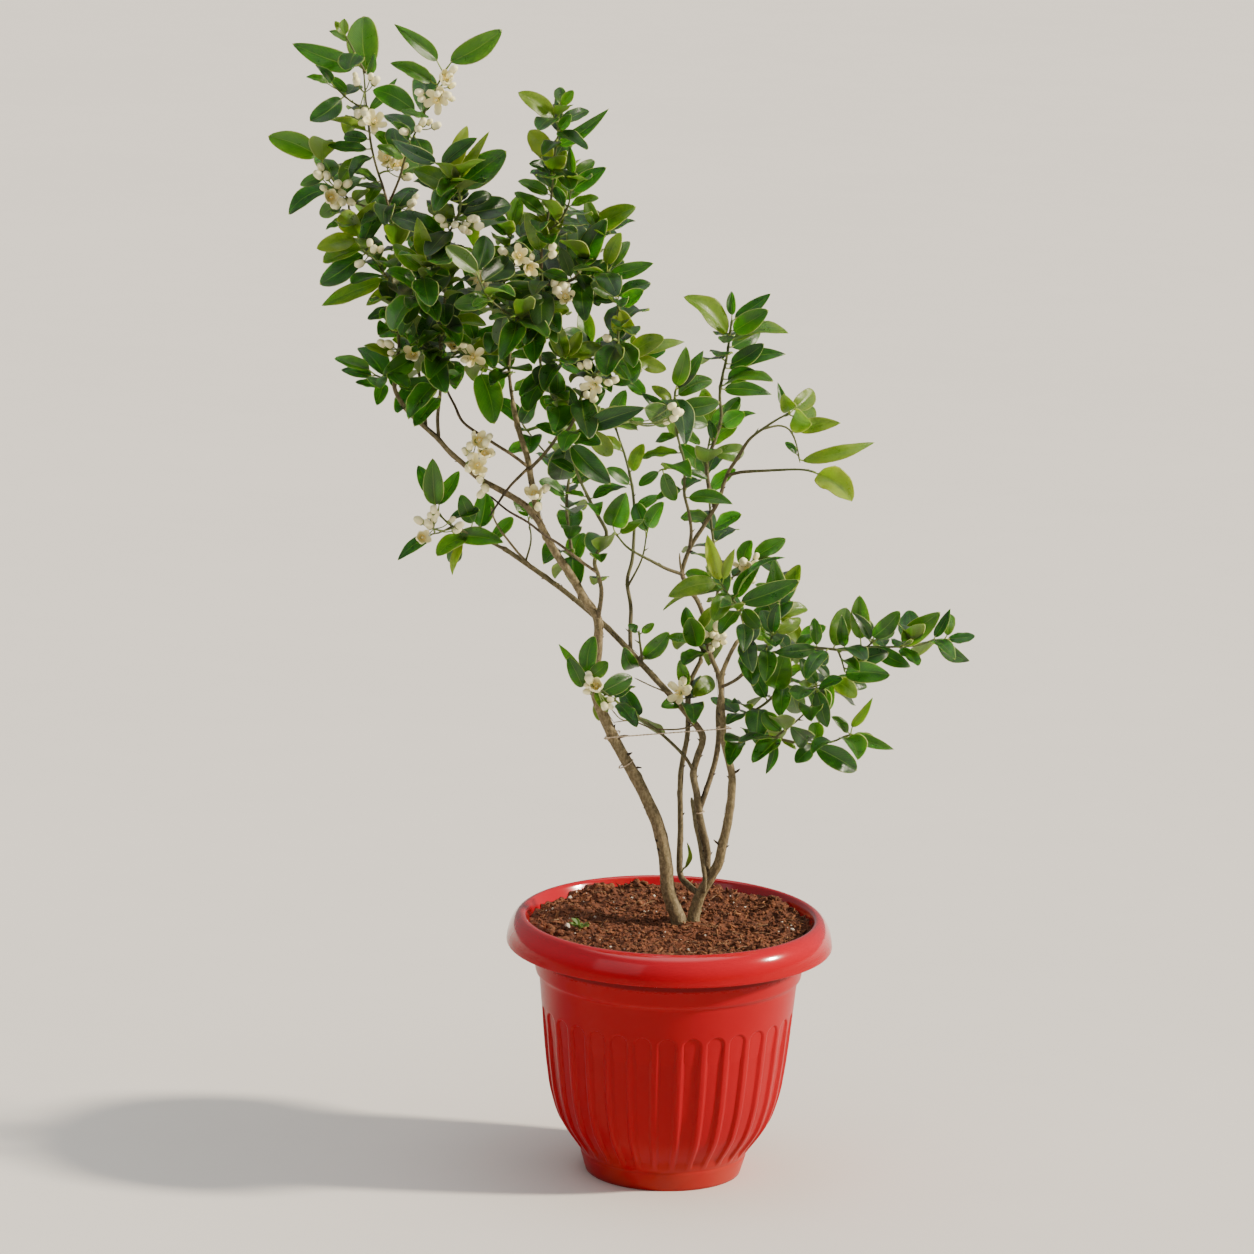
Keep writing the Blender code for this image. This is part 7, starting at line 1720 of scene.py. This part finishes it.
CROWN = Crown()


# --- settings ---
def color_setting(name, description, default):
    """A colour that a user can change."""
    return bpy.props.FloatVectorProperty(name=name, description=description, subtype="COLOR", size=3, min=0.0,
                                         max=1.0, default=default)


def number_setting(name, description, default, **limits):
    """A number that a user can change."""
    return bpy.props.FloatProperty(name=name, description=description, default=default, **limits)


class LEMON_PG_pot(bpy.types.PropertyGroup):
    """Sizes and colours of the pot and its soil."""

    color: color_setting("Plastic", "Colour of the moulded pot", (0.345, 0.0003, 0.0058))
    gloss: number_setting("Rim roughness", "Roughness of the polished rim; the wall is rougher", 0.15,
                          subtype="FACTOR", min=0.05, max=0.8)
    flute_depth: number_setting("Flute depth", "How far the arched recesses are sunk in the wall", 0.0024,
                                unit="LENGTH", min=0.0002, max=0.0026)
    soil_color: color_setting("Soil", "Colour of the dark grains of the soil", (0.030, 0.010, 0.006))
    grains: bpy.props.IntProperty(
        name="Soil grains", description="How many loose grains lie on the soil", default=GRAIN_COUNT, min=0,
        max=8000)


class LEMON_PG_tree(bpy.types.PropertyGroup):
    """Colours of the tree, and how full its crown is."""

    leaf_dark: color_setting("Old leaf", "Colour of a full-grown leaf", (0.0045, 0.022, 0.0050))
    leaf_mid: color_setting("Middle leaf", "Colour of a leaf in its first year", (0.034, 0.088, 0.0055))
    leaf_young: color_setting("Young leaf", "Colour of a new leaf", (0.210, 0.290, 0.014))
    bark_lit: color_setting("Bark", "Colour of the ridges of the bark", (0.300, 0.222, 0.112))
    petal: color_setting("Petal", "Colour of buds and petals", (1.000, 0.940, 0.560))
    fullness: number_setting("Inner leaves", "Leaves that point to the front or back, for each cm of twig",
                             1.7, min=0.0, max=3.0)
    translucence: number_setting("Glow", "How much light a leaf lets through", 0.35, subtype="FACTOR",
                                 min=0.0, max=1.0)


class LEMON_PG_stage(bpy.types.PropertyGroup):
    """The floor, the lights and the camera."""

    floor: color_setting("Floor", "Colour of the studio floor", (0.80, 0.77, 0.73))
    key_power: number_setting("Key light", "Strength of the low sun on the right", 7.2, min=0.0)
    fill_power: number_setting("Fill light", "Power of the soft light on the left", 12.0, unit="POWER",
                               min=0.0)
    sky: number_setting("Surround", "Brightness of the pale surround", 0.31, min=0.0)
    ceiling: number_setting("Ceiling", "Brightness of the soft light overhead", 2.4, min=0.0)
    camera_pitch: number_setting("Camera pitch", "How far the camera looks down", math.radians(12.97),
                                 subtype="ANGLE")
    camera_roll: number_setting("Camera roll", "Turn of the camera about its own line of sight",
                                math.radians(1.58), subtype="ANGLE")


# --- operators ---
class LEMON_OT_stage(bpy.types.Operator):
    """Lays the pale floor, hangs the lights and sets up the camera"""

    bl_idname = "lemon_tree.stage"
    bl_label = "Stage"

    def execute(self, context):
        settings = context.scene.lemon_stage
        mesh = bpy.data.meshes.new("floor")
        corners = [(FLOOR_REACH * x, FLOOR_REACH * y, 0.0) for x, y in ((-1, -1), (1, -1), (1, 1), (-1, 1))]
        mesh.from_pydata(corners, [], [(0, 1, 2, 3)])
        mesh.materials.append(floor_material(tuple(settings.floor)))
        floor = bpy.data.objects.new("floor", mesh)
        context.scene.collection.objects.link(floor)
        key = bpy.data.lights.new("key_light", "SUN")
        key.angle = SUN_SPREAD
        self.hang(context, key, SUN_PLACE, settings.key_power, SUN_COLOR)
        fill = bpy.data.lights.new("fill_light", "AREA")
        fill.size = FILL_SIZE
        self.hang(context, fill, FILL_PLACE, settings.fill_power, FILL_COLOR)
        context.scene.world = self.surround(settings.sky, settings.ceiling)
        self.set_camera(context, settings.camera_pitch, settings.camera_roll)
        return {"FINISHED"}

    def hang(self, context, light, place, power, color):
        """Hangs one light, turned to the middle of the tree."""
        light.energy = power
        light.color = color
        lamp = bpy.data.objects.new(light.name, light)
        lamp.location = place
        lamp.rotation_euler = (LIGHT_AIM - Vector(place)).to_track_quat("-Z", "Y").to_euler()
        context.scene.collection.objects.link(lamp)

    def surround(self, sky, ceiling):
        """A pale surround that is brighter overhead."""
        world = bpy.data.worlds.new("surround")
        world.use_nodes = True
        background = world.node_tree.nodes["Background"]
        background.inputs["Color"].default_value = SURROUND_COLOR
        graph = Graph(world.node_tree)
        rise = graph.axes(graph.node("ShaderNodeTexCoord").outputs["Generated"])[2]
        graph.join(graph.span(rise, *CEILING_EDGE, sky, ceiling), background.inputs["Strength"])
        return world

    def set_camera(self, context, pitch, roll):
        """A long lens in front of the tree, a little above it."""
        forward = Vector((0.0, math.cos(pitch), -math.sin(pitch)))
        right = Vector((1.0, 0.0, 0.0))
        upward = right.cross(forward)
        turned_right = math.cos(roll) * right + math.sin(roll) * upward
        turned_up = math.cos(roll) * upward - math.sin(roll) * right
        lens = bpy.data.cameras.new("camera")
        lens.lens = FOCAL_LENGTH
        lens.sensor_width = SENSOR_WIDTH
        lens.clip_end = VIEW_REACH
        camera = bpy.data.objects.new("camera", lens)
        axes = Matrix((turned_right, turned_up, -forward)).transposed().to_4x4()
        camera.matrix_world = Matrix.Translation(CAMERA_PLACE) @ axes
        context.scene.collection.objects.link(camera)
        context.scene.camera = camera


class LEMON_OT_pot(bpy.types.Operator):
    """Moulds the fluted pot with its rolled rim, foot and drain holes"""

    bl_idname = "lemon_tree.pot"
    bl_label = "Pot"

    def execute(self, context):
        settings = context.scene.lemon_pot
        plastic = plastic_material(tuple(settings.color), settings.gloss)
        make_piece("pot_shell", pot_shell(settings.flute_depth), plastic, ["pot"])
        plate = Shape()
        plate.add(*disc_solid(POT_FLOOR_RADIUS, *POT_FLOOR))
        floor = make_piece("pot_floor", plate, plastic, ["pot"])
        for angle in turns(DRAIN_HOLES):
            drill(floor, (DRAIN_CIRCLE * math.cos(angle), DRAIN_CIRCLE * math.sin(angle)))
        floor.data.polygons.foreach_set("use_smooth", [False] * len(floor.data.polygons))
        return {"FINISHED"}


class LEMON_OT_soil(bpy.types.Operator):
    """Fills the pot with loose soil, clods, white perlite and bits of straw"""

    bl_idname = "lemon_tree.soil"
    bl_label = "Soil"

    def execute(self, context):
        settings = context.scene.lemon_pot
        dice = random.Random(SEEDS["soil"])
        soil = earth_material("potting soil", tuple(settings.soil_color), (0.215, 0.062, 0.021), 210.0)
        pale = earth_material("perlite", (0.50, 0.40, 0.31), (0.86, 0.80, 0.70), 260.0)
        dry = fibre_material("dry straw", (0.36, 0.22, 0.11), (0.14, 0.07, 0.035))
        grains = scattered_lumps(settings.grains, GRAIN_SIZES, 0.35, (0.05, 0.22), ROUND_FORM, dice)
        chips = scattered_lumps(CHIP_COUNT, CHIP_SIZES, 0.4, (0.25, 0.3), CHIP_FORM, dice)
        make_piece("soil_bed", soil_bed(), soil, ["soil"])
        make_piece("soil_grains", grains, soil, ["soil"])
        make_piece("soil_chips", chips, soil, ["soil"])
        make_piece("soil_clods", heaped_clods(dice), soil, ["soil"])
        make_piece("perlite", perlite_bits(dice), pale, ["soil"])
        make_piece("straw", straw_bits(dice), dry, ["soil"])
        return {"FINISHED"}


class LEMON_OT_wood(bpy.types.Operator):
    """Grows the trunks, the stems and the dry side twigs"""

    bl_idname = "lemon_tree.wood"
    bl_label = "Wood"

    def execute(self, context):
        lit = np.array(context.scene.lemon_tree.bark_lit)
        barks = {
            "trunk": bark_material("trunk bark", tuple(lit), tuple(0.36 * lit), (0.13, 0.14, 0.045)),
            "stem": bark_material("stem bark", tuple(0.66 * lit), tuple(0.24 * lit), (0.10, 0.11, 0.035)),
        }
        dice = random.Random(SEEDS["wood"])
        for name, (thick, (stations, *twigs), _) in WOOD.items():
            shape = Shape()
            kind = "trunk" if name.endswith("trunk") else "stem"
            limb_tints, twig_tints = BARK_TINTS[kind]
            add_limb(shape, stations, thick[:2], dice, limb_tints)
            add_thorns(shape, stations, thick[:2], kind, dice)
            for order, twig in enumerate(twigs, 1):
                add_limb(shape, twig, thick[2 * order:2 * order + 2], dice, twig_tints)
            make_piece(name + "_bark", shape, barks[kind], [name])
        return {"FINISHED"}


class LEMON_OT_flowers(bpy.types.Operator):
    """Sets the sprays of buds and blossoms on their twigs"""

    bl_idname = "lemon_tree.flowers"
    bl_label = "Flowers"

    def execute(self, context):
        petal = tuple(context.scene.lemon_tree.petal)
        material = flower_material(petal, BLUSH, CALYX_GREEN, ANTHER_YELLOW)
        dice = random.Random(SEEDS["flowers"])
        for name, ((bearer,), _, flowers) in FLOWERS.items():
            twigs = WOOD[bearer][1][:1] if bearer in WOOD else SHOOTS[bearer][1]
            shape = Shape()
            add_cluster(shape, twigs, flowers, CROWN, dice)
            if name == bearer:
                make_piece(name + "_flowers", shape, material)
            else:
                make_piece(name + "_spray", shape, material, [name])
        return {"FINISHED"}


class LEMON_OT_shoots(bpy.types.Operator):
    """Grows every shoot: its twigs, and its leaves round the flowers that are already set"""

    bl_idname = "lemon_tree.shoots"
    bl_label = "Shoots and leaves"

    def execute(self, context):
        settings = context.scene.lemon_tree
        shades = [tuple(shade) for shade in (settings.leaf_dark, settings.leaf_mid, settings.leaf_young)]
        leaf = blade_material("lemon leaf", *shades, (0.13, 0.20, 0.035), (0.12, 0.18, 0.03),
                              (0.26, 0.32, 0.06), settings.translucence, 0.27)
        twig = bark_material("twig bark", (0.13, 0.080, 0.045), (0.045, 0.028, 0.016), (0.075, 0.12, 0.025))
        dice = random.Random(SEEDS["shoots"])
        shapes = {}
        for name, ((*thick, _), twigs, leaves) in SHOOTS.items():
            shapes[name] = Shape()
            roots = shoot_leaves(shapes[name], twigs, leaves, CROWN, dice)
            stems = Shape()
            shoot_twigs(stems, twigs, roots, thick, dice)
            make_piece(name + "_twigs", stems, twig, [name])
        for name, ((*_, inner_share), twigs, _) in SHOOTS.items():
            filler_leaves(shapes[name], twigs, settings.fullness * inner_share, CROWN, dice)
            make_piece(name + "_leaves", shapes[name], leaf, [name])
        return {"FINISHED"}


class LEMON_OT_thread(bpy.types.Operator):
    """Ties the thread from the left trunk across to the right one"""

    bl_idname = "lemon_tree.thread"
    bl_label = "Tie thread"

    def execute(self, context):
        fibre = fibre_material("tie thread", (0.70, 0.58, 0.42), (0.40, 0.30, 0.20))
        left_stations = WOOD["left_trunk"][1][0]
        right_stations = WOOD["right_trunk"][1][0]
        shape = Shape()
        left = self.wrap(left_stations[8:10], *RING_LEFT)
        right = self.wrap(right_stations[11:13], *RING_RIGHT)
        self.twist(shape, left + right)
        self.twist(shape, self.wrap(left_stations[7:9], *RING_LOW))
        self.twist(shape, self.wrap(FORK_STATIONS, *RING_FORK))
        make_piece("tie_thread_fibres", shape, fibre, ["tie_thread"])
        return {"FINISHED"}

    def wrap(self, stations, centre, radius, start_degrees, turn_degrees):
        """Points of an open ring round a stem, square to it."""
        axis = unit(seat(stations[1]) - seat(stations[0]))
        forward = square_to(np.array((0.0, -1.0, 0.0)), axis)
        sideways = np.cross(axis, forward)
        reach = radius + THREAD_SLACK + THREAD_RADIUS
        points = []
        for step in range(THREAD_STEPS + 1):
            angle = math.radians(start_degrees + turn_degrees * step / THREAD_STEPS)
            points.append(seat(centre) + reach * around(angle, forward, sideways))
        return points

    def twist(self, shape, points):
        """Two fine strands laid round each other along the points."""
        path = smooth_path(points, 0.0012)
        tangents = np.gradient(path, axis=0)
        side = unit(np.cross(tangents[0], (0.3, 0.8, 0.5)))
        strands = ([], [])
        for index, (point, tangent) in enumerate(zip(path, tangents)):
            along = unit(tangent)
            side = square_to(side, along)
            offset = 0.5 * THREAD_RADIUS * around(STRAND_TURN * index, side, np.cross(along, side))
            strands[0].append(point + offset)
            strands[1].append(point - offset)
        for strand in strands:
            shape.add_tube(np.array(strand), np.full(len(strand), 0.55 * THREAD_RADIUS), 6)


class LEMON_OT_seedlings(bpy.types.Operator):
    """Plants the small weed in the soil and the young leaf at the foot of the stems"""

    bl_idname = "lemon_tree.seedlings"
    bl_label = "Weed and young leaf"

    def execute(self, context):
        weed = blade_material("weed leaf", (0.020, 0.055, 0.010), (0.070, 0.140, 0.020), (0.22, 0.32, 0.04),
                              (0.16, 0.24, 0.08), (0.24, 0.34, 0.10), (0.24, 0.34, 0.10), 0.2, 0.45)
        dice = random.Random(SEEDS["seedlings"])
        make_piece("weed_leaves", weed_sprig(dice), weed, ["weed_sprig"])
        make_piece("base_sucker", base_sucker(dice), weed)
        return {"FINISHED"}


# --- panel ---
OPERATORS = (LEMON_OT_stage, LEMON_OT_pot, LEMON_OT_soil, LEMON_OT_wood, LEMON_OT_flowers, LEMON_OT_shoots,
             LEMON_OT_thread, LEMON_OT_seedlings)


class LEMON_PT_panel(bpy.types.Panel):
    """Lists the settings and the pieces of the lemon tree"""

    bl_label = "Lemon tree"
    bl_idname = "LEMON_PT_panel"
    bl_space_type = "VIEW_3D"
    bl_region_type = "UI"
    bl_category = "Lemon tree"

    def draw(self, context):
        for settings in (context.scene.lemon_pot, context.scene.lemon_tree, context.scene.lemon_stage):
            box = self.layout.box()
            for name in settings.__annotations__:
                box.prop(settings, name)
        for operator in OPERATORS:
            self.layout.operator(operator.bl_idname)


CLASSES = (LEMON_PG_pot, LEMON_PG_tree, LEMON_PG_stage, *OPERATORS, LEMON_PT_panel)


def register():
    """Adds the classes and their settings to Blender."""
    for entry in CLASSES:
        bpy.utils.register_class(entry)
    bpy.types.Scene.lemon_pot = bpy.props.PointerProperty(type=LEMON_PG_pot)
    bpy.types.Scene.lemon_tree = bpy.props.PointerProperty(type=LEMON_PG_tree)
    bpy.types.Scene.lemon_stage = bpy.props.PointerProperty(type=LEMON_PG_stage)


def unregister():
    """Takes them out again."""
    del bpy.types.Scene.lemon_stage
    del bpy.types.Scene.lemon_tree
    del bpy.types.Scene.lemon_pot
    for entry in reversed(CLASSES):
        bpy.utils.unregister_class(entry)


def main():
    """Builds every piece in order."""
    register()
    bpy.ops.lemon_tree.stage()
    bpy.ops.lemon_tree.pot()
    bpy.ops.lemon_tree.soil()
    bpy.ops.lemon_tree.wood()
    bpy.ops.lemon_tree.flowers()
    bpy.ops.lemon_tree.shoots()
    bpy.ops.lemon_tree.thread()
    bpy.ops.lemon_tree.seedlings()


if __name__ == "__main__":
    main()
